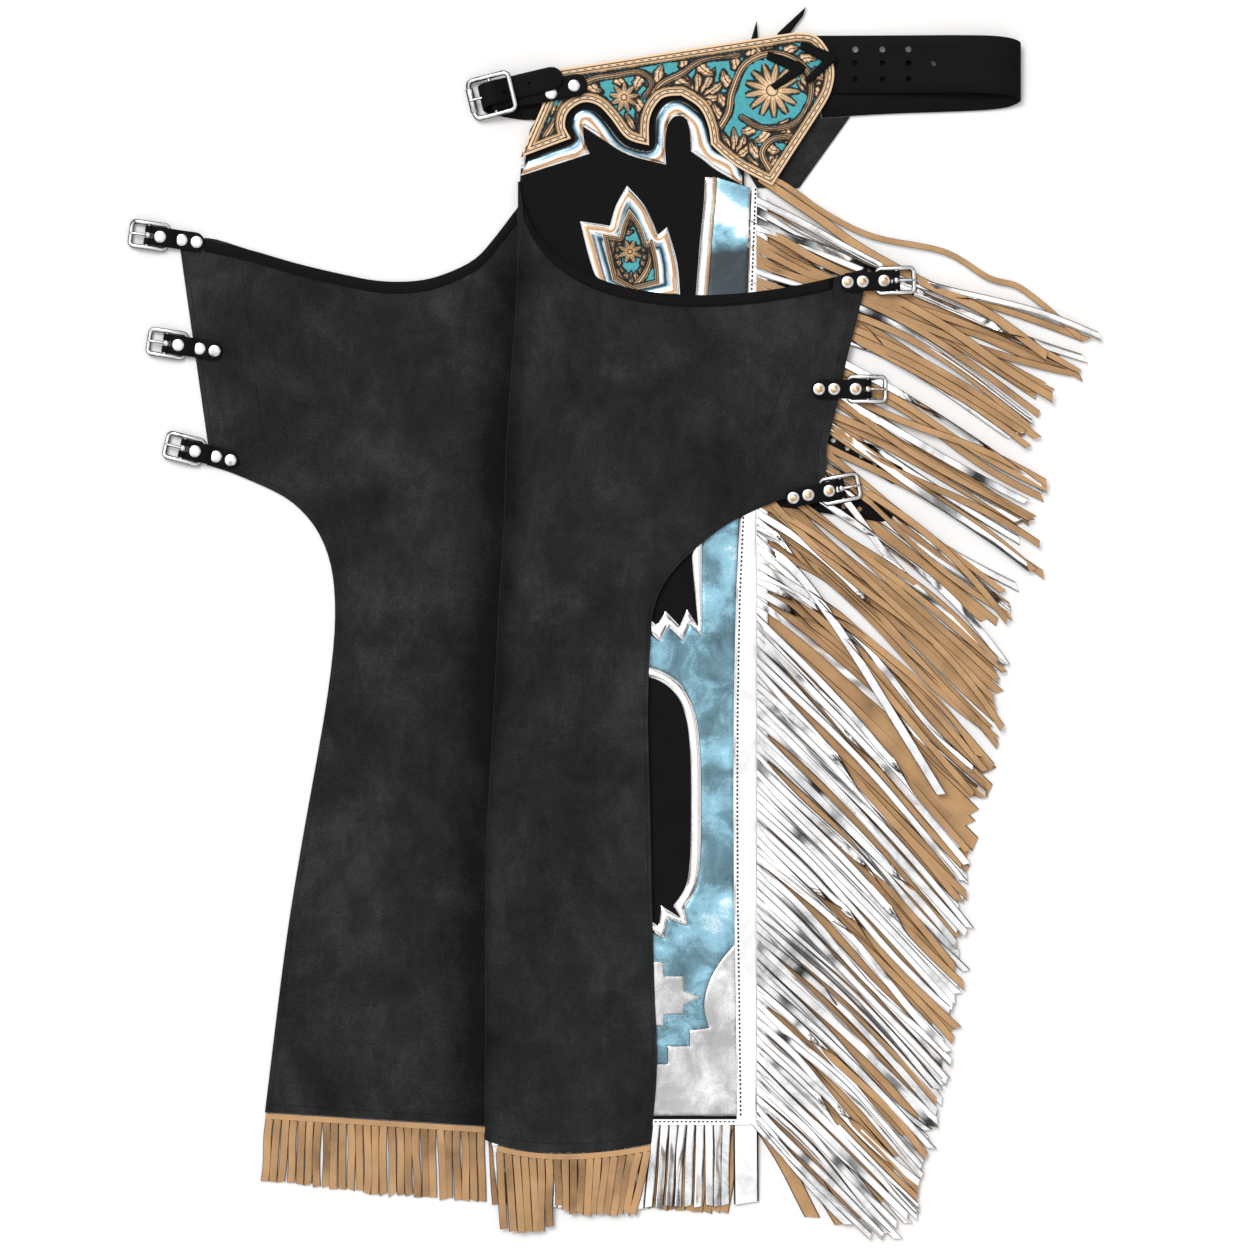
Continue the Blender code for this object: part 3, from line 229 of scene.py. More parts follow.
def tan_split(colours):
    """Tan fringe leather, flesh side out: matt, felted fibres, each strand its own tone, and painted shade
    in streaks along some strands.
    """
    material, node, place = start_material("tan_split_leather", Roughness=0.9, Specular_IOR_Level=0.15,
                                           Sheen_Weight=0.08, Sheen_Roughness=0.5)
    tint = node("Attribute", attribute_name="tint")
    fibres = node("TexNoise", Vector=place, Scale=per_metre(1.8), Detail=5, Roughness=0.7)
    patches = node("TexNoise", Vector=place, Scale=per_metre(26), Detail=3)
    soft = node("Math", fibres, 0.5, patches, operation="MULTIPLY_ADD")
    # values kept on the strands' points darken the tan as painted shade
    tone = node("Math", tint, -0.5, soft, operation="MULTIPLY_ADD")
    spread = node("MapRange", tone, From_Min=0.06, From_Max=0.86)
    colour = node("ValToRGB", spread, stops=shades(colours.tan, (0, 0.55), (0.45, 1), (1, 1.4)))
    bump = node("Bump", Height=fibres, Strength=0.45, Distance=0.25 * MM)
    return set_shader(material, Base_Color=colour, Normal=bump)


def foil_leather(name, stops, gloss_low, gloss_high, metallic, cloud=34, swell=5.0, speck=0.16,
                 ripple=0.5, unrest=1.0, own=0.3):
    """Foil stamped on leather: a soft mirror with slow swells and fine ripples, cloudy where it has rubbed.
    The swells and ripples are what breaks its reflections up; values kept on its points add painted
    reflections and painted shade to its colour."""
    material, node, place = start_material(name, Metallic=metallic)
    tint = node("Attribute", attribute_name="tint")
    clouds = node("TexNoise", Vector=place, Scale=per_metre(cloud), Detail=6, Roughness=0.58,
                  Distortion=0.5)
    swells = node("TexNoise", Vector=place, Scale=per_metre(48), Detail=1, Roughness=0.4)
    ripples = node("TexNoise", Vector=place, Scale=per_metre(12), Detail=2, Roughness=0.5)
    specks = node("TexNoise", Vector=place, Scale=per_metre(1.6))
    uneven = node("Math", clouds, unrest, 0.5 * (1 - unrest), operation="MULTIPLY_ADD")
    rubbed = node("Math", specks, speck, uneven, operation="MULTIPLY_ADD")
    # values kept on the points add painted reflections and painted shade
    tone = node("Math", tint, own, rubbed, operation="MULTIPLY_ADD")
    colour = node("ValToRGB", tone, stops=stops)
    gloss = node("MapRange", clouds, From_Min=0.35, From_Max=0.7, To_Min=gloss_low, To_Max=gloss_high)
    slow = node("Bump", Height=swells, Strength=0.8, Distance=swell * MM)
    bump = node("Bump", Height=ripples, Strength=0.6, Distance=ripple * MM, Normal=slow)
    return set_shader(material, Base_Color=colour, Roughness=gloss, Normal=bump)


def bright_foil(colours):
    """Silver foil of the narrow trims and the fringe: barely rubbed, so it mirrors its surroundings in long
    light and dark streaks, and takes painted dark streaks of reflection where its points ask for them."""
    return foil_leather("bright_foil_leather", shades(
        colours.silver, (0.54, 1.05), (0.68, 0.84), (0.84, 0.34), (1, 0.05)),
        0.12, 0.22, 1.0, cloud=46, swell=4.2, speck=0.03, ripple=0.2, own=0.5)


def padded_foil(colours):
    """Silver foil drawn over a padded trim: a mirror bent across its width, with the room's reflections
    painted in as long bands of white, tan, blue and near black beside each other."""
    return foil_leather("padded_foil_leather", shades(
        colours.silver, (0.2, 1.06), (0.26, "DDBB95"), (0.34, "BE8F62"), (0.39, 1.06), (0.45, 1.06),
        (0.52, "A4C8D8"), (0.59, "4C616E"), (0.65, "1E262B"), (0.72, "B2CAD4"), (0.78, 1.06)),
        0.16, 0.26, 1.0, cloud=55, swell=2.0, speck=0.02, ripple=0.25, unrest=0.3)


def silver_foil(colours):
    """Silver foil leather: bright, rubbed to a cloudy grey."""
    return foil_leather("silver_foil_leather", shades(
        colours.silver, (0.4, 1), (0.52, 0.74), (0.63, 0.52), (0.9, 0.38)), 0.18, 0.36, 1.0)


def blue_foil(colours):
    """Light blue metallic leather: marbled, with a painted highlight and painted dark reflections where the
    values kept on its points call for them.
    """
    return foil_leather("blue_foil_leather", shades(
        colours.blue, (0.24, "F4FAFC"), (0.38, "CFE6EF"), (0.46, 1.25), (0.55, 1), (0.63, 0.6),
        (0.76, 0.36), (0.9, "3B444A")), 0.3, 0.48, 0.7)


def painted_edge_shade(colours):
    """The cut edges of the fringe leather, coloured near black as painted shade between the strands."""
    material, node, place = start_material("fringe_cut_edge", Roughness=0.85, Specular_IOR_Level=0.1)
    fibres = node("TexNoise", Vector=place, Scale=per_metre(2))
    colour = node("ValToRGB", fibres, stops=shades(None, (0.3, "0C0A08"), (0.7, "30241A")))
    return set_shader(material, Base_Color=colour)


def tooled_veg_tan(colours):
    """Carved vegetable tanned leather with a wax finish: tan relief, darker brown near every knife cut from
    burnishing and painted shade and lighter on its crowns as a painted highlight, near black beside the
    cuts from antique stain and painted shade, and a painted turquoise ground. The carver's marks come as
    distances in mm on the mesh."""
    material, node, place = start_material("tooled_veg_tan_leather", Specular_IOR_Level=0.3)
    motif, cut, groove = (node("Attribute", attribute_name=mark) for mark in ("motif", "cut", "groove"))
    pores = node("TexNoise", Vector=place, Scale=per_metre(2.2), Detail=5, Roughness=0.65)
    uneven = node("TexNoise", Vector=place, Scale=per_metre(11), Detail=3)
    # painted highlight on the relief's crowns and painted shade near its edges, on top of burnishing
    burnish_and_painted_light = node("Math", uneven, 1.4, motif, operation="MULTIPLY_ADD")
    crown_tone = node("MapRange", burnish_and_painted_light, From_Min=0.4, From_Max=2.6)
    tan = node("ValToRGB", crown_tone, stops=shades(
        colours.tooled, (0, "4A2C16"), (0.3, 0.66), (0.58, 1.2), (1, "EBCBA6")))
    paint = node("ValToRGB", pores, stops=shades(colours.turquoise, (0.35, 0.8), (0.65, 1.12)))
    is_ground = node("MapRange", motif, From_Min=0.1, From_Max=-0.1)
    ground = node("Mix", is_ground, tan, paint, data_type="RGBA")
    line = node("MapRange", groove, From_Min=0.72, From_Max=0.36, To_Max=0.95)
    lined = node("Mix", line, ground, from_hex("3A2211"), data_type="RGBA")
    # near black on the ground beside the raised parts: antique stain in the cuts and painted undercut shade
    beside = node("Math", uneven, 5.0, cut, operation="MULTIPLY_ADD")
    stain_and_shade = node("MapRange", beside, From_Min=4.7, From_Max=4.1)
    carved = node("Mix", stain_and_shade, lined, from_hex("0B0806"), data_type="RGBA")
    gloss = node("MapRange", pores, From_Min=0.3, From_Max=0.7, To_Min=0.42, To_Max=0.58)
    bump = node("Bump", Height=pores, Strength=0.35, Distance=0.15 * MM)
    return set_shader(material, Base_Color=carved, Roughness=gloss, Normal=bump)


def nickel_plate(colours):
    """Nickel-plated steel: polished bright, with painted shade where it turns down at its sides."""
    material, node, place = start_material("nickel_plated_steel", Metallic=1.0)
    recess = node("Attribute", attribute_name="recess")
    marks = node("TexNoise", Vector=place, Scale=per_metre(9))
    tone = node("Math", recess, -0.6, marks, operation="MULTIPLY_ADD")
    colour = node("ValToRGB", tone, stops=shades(
        colours.nickel, (0, "2E3134"), (0.2, "3C3F42"), (0.36, 1.02), (0.6, 1.1)))
    gloss = node("MapRange", marks, From_Min=0.3, From_Max=0.7, To_Min=0.27, To_Max=0.33)
    return set_shader(material, Base_Color=colour, Roughness=gloss)


def brushed_brass(colours):
    """Lacquered brass of the rivets' middles: warm, a little dulled by handling."""
    material, node, place = start_material("lacquered_brass", Metallic=1.0)
    dulled = node("TexNoise", Vector=place, Scale=per_metre(3), Detail=3)
    colour = node("ValToRGB", dulled, stops=shades(None, (0.35, "C79A63"), (0.65, "E6CDAE")))
    gloss = node("MapRange", dulled, From_Min=0.3, From_Max=0.7, To_Min=0.25, To_Max=0.4)
    return set_shader(material, Base_Color=colour, Roughness=gloss)


def waxed_thread(name, hex_text, colours):
    """Waxed sewing thread: dull, with a twist too fine to show but as light and dark flecks."""
    material, node, place = start_material(name, Roughness=0.7, Specular_IOR_Level=0.2)
    twist = node("TexNoise", Vector=place, Scale=per_metre(0.7))
    colour = node("ValToRGB", twist, stops=shades(from_hex(hex_text), (0.3, 0.7), (0.7, 1.3)))
    return set_shader(material, Base_Color=colour)


def matt_paper(colours):
    """Seamless background paper: dead matt, with a trace of unevenness."""
    material, node, place = start_material("background_paper", Roughness=1.0, Specular_IOR_Level=0.0)
    fibres = node("TexNoise", Vector=place, Scale=per_metre(180))
    colour = node("ValToRGB", fibres, stops=shades(colours.floor, (0.3, 0.99), (0.7, 1)))
    return set_shader(material, Base_Color=colour)


FINISHES = {
    "suede": suede_split, "grain": grain_leather, "tan": tan_split, "silver": silver_foil,
    "bright": bright_foil, "padded": padded_foil, "brass": brushed_brass,
    "blue": blue_foil, "tooled": tooled_veg_tan, "nickel": nickel_plate, "paper": matt_paper,
    "edge": painted_edge_shade,
    "dark_thread": partial(waxed_thread, "dark_brown_thread", "1E1712"),
    "grey_thread": partial(waxed_thread, "grey_thread", "8C8F92"),
    "black_thread": partial(waxed_thread, "black_thread", "0C0D0E"),
}
MADE = {}


def finish(name):
    """The material of a finish, made when it is first asked for."""
    if name not in MADE:
        MADE[name] = FINISHES[name](bpy.context.scene.chaps_colours)
    return MADE[name]


# ---- mesh helpers
def new_item(name, data):
    """An object for a mesh, a lamp or a camera, in the scene."""
    item = bpy.data.objects.new(name, data)
    bpy.context.scene.collection.objects.link(item)
    return item


def face_outward(mesh):
    work = bmesh.new()
    work.from_mesh(mesh)
    bmesh.ops.recalc_face_normals(work, faces=work.faces)
    work.to_mesh(mesh)
    work.free()


def keep_values(mesh, field, values):
    """Keeps a number for every point of a mesh, for its material to read."""
    layer = mesh.attributes.new(field, "FLOAT", "POINT")
    layer.data.foreach_set("value", np.asarray(values, dtype=np.float32))


def make_piece(name, points, faces, finishes, face_finish=None, sharp=45, fields=None, outward=True):
    """A mesh object at the origin. face_finish has the place of each face's finish in finishes."""
    mesh = bpy.data.meshes.new(name)
    mesh.from_pydata(np.asarray(points).tolist(), [], faces)
    for kind in finishes:
        mesh.materials.append(finish(kind))
    if face_finish is not None:
        mesh.polygons.foreach_set("material_index", np.asarray(face_finish, dtype=np.int32))
    for field, values in (fields or {}).items():
        keep_values(mesh, field, values)
    if outward:
        face_outward(mesh)
    mesh.shade_smooth()
    mesh.set_sharp_from_angle(angle=math.radians(sharp))
    return new_item(name, mesh)


def stands_for(item, slot, *nodes, body=ROOT):
    """Ties a piece to its body and hides the solids that it stands for. The slot is not used."""
    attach(item, body)
    if nodes:
        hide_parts(*nodes)
    return item


def bake_modifiers(item):
    """Keeps what the modifiers make as the item's own mesh."""
    bpy.context.view_layer.update()
    evaluated = item.evaluated_get(bpy.context.evaluated_depsgraph_get())
    result = bpy.data.meshes.new_from_object(evaluated)
    item.modifiers.clear()
    item.data = result
    return item


def give_wall(item, thickness, inner=0):
    """Gives a surface its leather's thickness in mm, with another of its finishes on the inside."""
    wall = item.modifiers.new("wall", "SOLIDIFY")
    wall.thickness = thickness * MM
    wall.offset = 0.0
    wall.material_offset = inner
    bake_modifiers(item)


def joined(first, second, width):
    """Squares between two rows of points, given by the numbers of their first points."""
    return [[first + k, first + k + 1, second + k + 1, second + k] for k in range(width - 1)]


def grid_faces(rows, width):
    return [face for row in range(rows - 1) for face in joined(row * width, (row + 1) * width, width)]


def joined_rings(first, second, size):
    """Squares between two rings of points, given by the numbers of their first points."""
    return [[first + k, first + (k + 1) % size, second + (k + 1) % size, second + k] for k in range(size)]


def end_faces(first, last, size):
    """The two faces that close a run of rings."""
    return [list(range(first, first + size)), list(range(last + size - 1, last - 1, -1))]


def smooth(points, steps=4):
    """A curve through the points, as Catmull-Rom spans of so many steps."""
    padded = [points[0], *points, points[-1]]
    run = []
    for a, b, c, d in zip(padded, padded[1:], padded[2:], padded[3:]):
        for step in range(steps):
            t = step / steps
            run.append(tuple(
                0.5 * (2 * q + (r - p) * t + (2 * p - 5 * q + 4 * r - s) * t * t
                       + (3 * q - p - 3 * r + s) * t ** 3)
                for p, q, r, s in zip(a, b, c, d)))
    run.append(tuple(points[-1]))
    return run


def read_between(table, key, column):
    """Straight-line reading of one column of a table of rows sorted by their first column."""
    return float(np.interp(key, [row[0] for row in table], [getattr(row, column) for row in table]))


def read_smooth(keys, values, at):
    """A curve through uneven places that never swings past its points."""
    keys, values, at = np.asarray(keys, float), np.asarray(values, float), np.asarray(at, float)
    slopes = np.diff(values) / np.diff(keys)
    tangents = np.concatenate([slopes[:1], (slopes[:-1] + slopes[1:]) / 2, slopes[-1:]])
    turning = slopes[:-1] * slopes[1:] <= 0
    tangents[1:-1][turning] = 0.0
    span = np.clip(np.searchsorted(keys, at) - 1, 0, len(keys) - 2)
    width = keys[span + 1] - keys[span]
    t = np.clip((at - keys[span]) / width, 0.0, 1.0)
    return ((2 * t ** 3 - 3 * t ** 2 + 1) * values[span]
            + (t ** 3 - 2 * t ** 2 + t) * width * tangents[span]
            + (3 * t ** 2 - 2 * t ** 3) * values[span + 1]
            + (t ** 3 - t ** 2) * width * tangents[span + 1])


def soft_step(values, start, width):
    t = np.clip((values - start) / width, 0, 1)
    return t * t * (3 - 2 * t)


def walk(loop, step):
    """Points round a closed chart outline: its corners, and more between them every so far."""
    points = []
    for (x0, y0), (x1, y1) in zip(loop, [*loop[1:], loop[0]]):
        count = max(1, round(math.hypot(x1 - x0, y1 - y0) / step))
        points += [(x0 + (x1 - x0) * i / count, y0 + (y1 - y0) * i / count) for i in range(count)]
    return points


def walk_open(points, step):
    run = walk(points, step)
    closing = max(1, round(math.dist(points[-1], points[0]) / step))
    return run[:len(run) - closing] + [tuple(points[-1])]


def depth_inside(points, loops):
    """Distance of chart points from the outlines: positive on the leather, negative off it."""
    points = np.asarray(points, float)
    depth = np.full(len(points), np.inf)
    inside = np.zeros(len(points), bool)
    for loop in loops:
        loop = np.asarray(loop, float)
        for (x0, y0), (x1, y1) in zip(loop, np.roll(loop, -1, axis=0)):
            dx, dy = x1 - x0, y1 - y0
            along = ((points[:, 0] - x0) * dx + (points[:, 1] - y0) * dy) / max(dx * dx + dy * dy, 1e-9)
            along = np.clip(along, 0.0, 1.0)
            away = np.hypot(points[:, 0] - x0 - along * dx, points[:, 1] - y0 - along * dy)
            depth = np.minimum(depth, away)
            if y0 != y1:
                crosses = (points[:, 1] < y0) != (points[:, 1] < y1)
                inside ^= crosses & (points[:, 0] < x0 + (points[:, 1] - y0) / (y1 - y0) * dx)
    return np.where(inside, depth, -depth)


def inset_run(points, distance, closed=False):
    """The run moved sideways by a distance, corners mitred."""
    moved = []
    count = len(points)
    for i, (x, y) in enumerate(points):
        before = points[i - 1] if closed or i else points[i]
        after = points[(i + 1) % count] if closed or i < count - 1 else points[i]
        sides = []
        for (ax, ay), (bx, by) in ((before, (x, y)), ((x, y), after)):
            length = math.hypot(bx - ax, by - ay)
            if length > 0:
                sides.append(Vector((-(by - ay) / length, (bx - ax) / length)))
        mean = sum(sides, Vector((0, 0))) / len(sides)
        scale = distance / max(mean.length_squared, 0.45)
        moved.append((x + mean.x * scale, y + mean.y * scale))
    return moved


def fill_plan(loops, extra):
    """Triangles that fill the outlines, through the extra points. Gives points and triangles, with
    the outlines' own points first."""
    points, edges = [], []
    for loop in loops:
        first = len(points)
        points += [tuple(p) for p in loop]
        edges += [(first + i, first + (i + 1) % len(loop)) for i in range(len(loop))]
    rim_count = len(points)
    points += [tuple(p) for p in extra]
    made, _, triangles, origins, _, _ = delaunay_2d_cdt([Vector(p) for p in points], edges, [], 1, 1e-5)
    made = np.array([tuple(p) for p in made])
    new_place = {origin: place for place, group in enumerate(origins) for origin in group}
    triangles = np.array([t for t in triangles if len(t) == 3])
    middles = made[triangles].mean(axis=1)
    triangles = triangles[depth_inside(middles, loops) > 0]
    return made, triangles, [new_place[i] for i in range(rim_count)]


EDGE_ROUND = 0.9  # chart units over which a cut edge rounds off


def leather_plate(name, outline, low, high, finishes, spacing=5.0, holes=(), relief=None, fields=None,
                  edge_drop=0.35):
    """A flat piece: a chart outline between two heights, with a rounded upper edge. relief gives
    the mm that its face stands up at chart places, and fields give values kept on its points."""
    loops = [walk(loop, spacing) for loop in (outline, *holes)]
    corners = np.array(loops[0])
    (x0, y0), (x1, y1) = corners.min(axis=0), corners.max(axis=0)
    rows = np.arange(y0, y1, spacing * 0.87)
    columns = np.arange(x0, x1, spacing)
    grid = np.array([(x + (k % 2) * spacing / 2, y) for k, y in enumerate(rows) for x in columns])
    loops_given = [outline, *holes]
    grid = grid[depth_inside(grid, loops_given) > EDGE_ROUND + spacing * 0.45]
    rims = np.concatenate([inset_run(loop, side, closed=True) for loop in loops
                           for side in (EDGE_ROUND, -EDGE_ROUND)])
    rims = rims[depth_inside(rims, loops_given) > EDGE_ROUND * 0.85]
    plan, triangles, rim = fill_plan(loops, np.concatenate([rims, grid]))
    depth = np.maximum(depth_inside(plan, loops_given), 0.0)
    depth[rim] = 0.0
    rounding = 1 - np.minimum(depth / EDGE_ROUND, 1.0)
    heights = high - edge_drop * rounding ** 2
    if relief:
        heights = heights + relief(plan[:, 0], plan[:, 1], depth) * (1 - rounding)
    under_plan, under_triangles, under_rim = fill_plan(loops, [])
    count = len(plan)
    faces = triangles.tolist() + (under_triangles + count).tolist()
    face_finish = [0] * len(triangles) + [len(finishes) - 1] * len(under_triangles)
    first = 0
    for loop in loops:
        size = len(loop)
        for i in range(size):
            a, b = first + i, first + (i + 1) % size
            faces.append([rim[a], rim[b], count + under_rim[b], count + under_rim[a]])
        face_finish += [len(finishes) - 1] * size
        first += size
    whole = np.concatenate([plan, under_plan])
    levels = np.concatenate([heights, np.full(len(under_plan), low)])
    points = chart_points(whole[:, 0], whole[:, 1], levels)
    kept = fields(plan[:, 0], plan[:, 1], depth) if fields else {}
    kept = {field: np.concatenate([values, np.zeros(len(under_plan))]) for field, values in kept.items()}
    return make_piece(name, points, faces, finishes, face_finish, fields=kept)


def plan_area(loop):
    """Area in square metres inside a chart outline."""
    return abs(sum(x0 * y1 - x1 * y0 for (x0, y0), (x1, y1) in zip(loop, [*loop[1:], loop[0]]))
               ) / 2 * CHART_UNIT ** 2


NARROWEST_SHEET = 0.0101  # metres
BENT_SHARE = 0.4  # of its box, under which a strip counts as bent


def declare_cut(outline):
    """Works out the size of sheet that a flat leather piece's outline was cut to; the size is not kept. A
    narrow bent strip counts as if it were laid straight."""
    xs, ys = zip(*outline)
    area = plan_area(outline)
    size = ((max(xs) - min(xs)) * CHART_UNIT, (max(ys) - min(ys)) * CHART_UNIT)
    if area < BENT_SHARE * size[0] * size[1]:
        length = sum(math.dist(a, b) for a, b in zip(outline, outline[1:] + outline[:1])) / 2 * CHART_UNIT
        size = (max(area / length, NARROWEST_SHEET), length)


def lay_leather(name, node, slot, outline, low, high, finishes, spacing=5.0, rests_on=(), **more):
    """A flat leather piece that stands for a solid. For one that rests on something, the size of its cut
    sheet is worked out.
    """
    item = leather_plate(name, outline, low, high, finishes, spacing, **more)
    stands_for(item, slot, node)
    if rests_on:
        declare_cut(outline)
    return item


Crease = namedtuple("Crease", "x0 y0 x1 y1 width height")


def crease_height(creases, x, y, share):
    """Height in mm of the listed soft folds, each along a line with ends that fade."""
    total = np.zeros(np.shape(x))
    for fold in creases:
        dx, dy = fold.x1 - fold.x0, fold.y1 - fold.y0
        t = ((x - fold.x0) * dx + (y - fold.y0) * dy) / (dx * dx + dy * dy)
        side = ((x - fold.x0) * dy - (y - fold.y0) * dx) / math.hypot(dx, dy)
        bend = np.sin(np.clip(t, 0, 1) * math.pi) * fold.width * 0.4
        over = np.exp(-((side - bend) / fold.width) ** 2)
        ends = np.exp(-(np.maximum(np.abs(t - 0.5) - 0.3, 0) / 0.16) ** 2)
        total += fold.height * over * ends
    return total * share


# ---- the legs
LEG_LEATHER = 1.8
TRIM_LEATHER = 0.8
FRINGE_LEATHER = 1.0
YOKE_LEATHER = 3.0
SEAM_GAP = 0.3
NEAR_PANEL_MID = 3.0
TRIM_LOW = 4.2
TRIM_TOP = TRIM_LOW + TRIM_LEATHER
SECOND_TRIM_LOW = TRIM_TOP + SEAM_GAP
YOKE_TOP = SECOND_TRIM_LOW + YOKE_LEATHER
FLAP_MID = 7.6
FOLD_SPREAD = 1.4
FOLD_SETTLE = 28.0
PANEL_EDGE_X = 744.0

FoldPoint = namedtuple("FoldPoint", "y x bulge")
FOLD_LINE = [  # the near leg's fold, from the waist to the hem
    FoldPoint(178, 519, 2.3), FoldPoint(230, 519, 3.6), FoldPoint(290, 518, 4.6),
    FoldPoint(450, 507, 4.9), FoldPoint(526, 505, 4.9), FoldPoint(603, 500, 4.8),
    FoldPoint(705, 495, 4.8), FoldPoint(848, 487, 4.6), FoldPoint(1139, 486, 4.0)]
FlapRow = namedtuple("FlapRow", "fold_y edge_x edge_y drop_near drop_far reach_near reach_far")
FLAP_ROWS = [  # sections of the folded flap; the two control points of each
    FlapRow(182, 868, 268, 120, 52, 12, 168), FlapRow(196, 866, 280, 118, 51, 14, 166),
    FlapRow(236, 857, 318, 98, 34, 40, 150), FlapRow(300, 846, 362, 60, 16, 70, 130),
    FlapRow(370, 838, 400, 26, 6, 90, 110), FlapRow(430, 827, 445, 8, 2, 90, 110),
    FlapRow(478, 815, 490, 2, 0, 90, 100), FlapRow(496, 780, 500, 0, 0, 90, 90),
    FlapRow(516, 735, 520, 0, 0, 80, 80), FlapRow(542, 700, 545, 0, 0, 70, 70),
    FlapRow(573, 670, 575, 0, 0, 60, 60), FlapRow(603, 655, 605, 0, 0, 50, 50),
    FlapRow(648, 650, 650, 0, 0, 50, 50), FlapRow(720, 648, 720, 0, 0, 50, 50),
    FlapRow(800, 650, 800, 0, 0, 50, 50), FlapRow(900, 652, 900, 0, 0, 50, 50),
    FlapRow(1000, 655, 1000, 0, 0, 50, 50), FlapRow(1060, 657, 1062, 0, 2, 50, 50),
    FlapRow(1139, 651, 1143, 18, 12, 40, 60)]
FACING_WIDTH = 11.5
FACING_ROWS = (182.3, 196)  # the flap's rows between which the near facing lies
FACING_SHARE = 0.9  # of the flap's width
PANEL_TOP = [(560, 74, 50), (541, 120, 110), (519.5, 182, 182)]  # left x, left y and right y
PANEL_HEM_Y = 1118.0
PANEL_CORNERS = [(560, 74), (744, 50), (744, 1118), (486, 1139), (519, 178)]
MID_ROW_Y = 480  # where the flap is measured for its cut
ROW_STEP = 7.0  # chart units between the near leg's fine rows
SECTION_STEPS = 60
LEG_SHARP = 60  # degrees
FLAP_CREASES = [  # soft ridges and troughs of the folded flap
    Crease(560, 330, 800, 440, 16, 0.9), Crease(600, 420, 820, 345, 12, 0.7),
    Crease(540, 520, 660, 470, 22, -0.5), Crease(700, 330, 760, 480, 14, 0.6),
    Crease(525, 640, 610, 760, 20, 0.7), Crease(560, 860, 635, 700, 26, -0.4),
    Crease(540, 950, 640, 1060, 24, 0.6), Crease(600, 560, 560, 980, 30, 0.5),
    Crease(520, 1090, 650, 1040, 18, -0.4)]
FAR_CREASES = [  # and of the open flap beside it
    Crease(215, 300, 400, 350, 18, 0.7), Crease(230, 420, 330, 330, 14, 0.5),
    Crease(330, 470, 480, 420, 24, -0.5), Crease(350, 620, 470, 700, 26, 0.6),
    Crease(330, 900, 470, 820, 30, -0.5), Crease(290, 1060, 440, 1000, 22, 0.5),
    Crease(462, 300, 455, 1080, 15, 0.5)]


def pressed(x, y):
    """Painted shade on the suede beside the soft fold, 0 to 1 at chart places."""
    away = x - np.interp(y, [spot.y for spot in FOLD_LINE], [spot.x for spot in FOLD_LINE]) + 5.0
    right = np.interp(y, [400, 600, 800], [17.0, 19.0, 8.0])
    return np.exp(-(away / np.where(away < 0, 26.0, right)) ** 2) * np.clip((y - 215) / 60, 0, 1)


def bezier(p0, p1, p2, p3, t):
    u = 1 - t
    return u ** 3 * p0 + 3 * u * u * t * p1 + 3 * u * t * t * p2 + t ** 3 * p3


def fine_flap_row(fold_y):
    """The flap's section at any place down the fold, read smoothly between the placed ones."""
    keys = [row.fold_y for row in FLAP_ROWS]
    return FlapRow(*(float(read_smooth(keys, [getattr(row, column) for row in FLAP_ROWS], fold_y))
                     for column in FlapRow._fields))


def flap_section(row):
    """The plan curve of one flap section, from the fold to the flap's edge, as x and y arrays."""
    fold_x = read_between(FOLD_LINE, row.fold_y, "x")
    t = np.linspace(0, 1, SECTION_STEPS + 1)
    xs = bezier(fold_x, fold_x + row.reach_near, row.edge_x - row.reach_far, row.edge_x, t)
    ys = bezier(row.fold_y, row.fold_y + row.drop_near, row.edge_y + row.drop_far, row.edge_y, t)
    return xs, ys


def flap_height(distance, bulge):
    """Mid-surface height of the folded flap at a distance in mm from the fold's outer line."""
    middle, radius = NEAR_PANEL_MID + bulge, FOLD_SPREAD * bulge
    side = np.clip((radius - distance) / radius, 0.0, 1.0)
    rising = middle + bulge * np.sqrt(1 - side * side)
    top = middle + bulge
    settling = FLAP_MID + (top - FLAP_MID) * np.exp(-(np.maximum(distance - radius, 0) / FOLD_SETTLE) ** 2)
    return np.where(distance < radius, rising, settling)


def flap_points(row, xs, lift=0.0, share=1.0):
    """Points of the flap at chart x places, lifted so many mm from its mid-surface."""
    section_x, section_y = flap_section(row)
    fold_x = read_between(FOLD_LINE, row.fold_y, "x")
    bulge = read_between(FOLD_LINE, row.fold_y, "bulge")
    ys = np.interp(xs, section_x, section_y)
    heights = flap_height((xs - fold_x) * CHART_UNIT / MM, bulge)
    heights = heights + crease_height(FLAP_CREASES, xs, ys, share)
    return chart_points(xs, ys, heights + lift)


def bend_x(row, angle):
    """Chart x of the fold's surface at an angle above (or below) its outer line."""
    fold_x = read_between(FOLD_LINE, row.fold_y, "x")
    radius = FOLD_SPREAD * read_between(FOLD_LINE, row.fold_y, "bulge")
    return fold_x + radius * (1 - math.cos(math.radians(angle))) * MM / CHART_UNIT


def panel_right_y(row_fold_y):
    top, hem = FLAP_ROWS[0].fold_y, FLAP_ROWS[-1].fold_y
    return top + (row_fold_y - top) / (hem - top) * (PANEL_HEM_Y - top)


FLAP_SHARES = np.linspace(0, 1, 46) ** 1.15
BEND_ANGLES = np.linspace(90, -90, 13)
PANEL_SHARES = np.linspace(0, 1, 30)


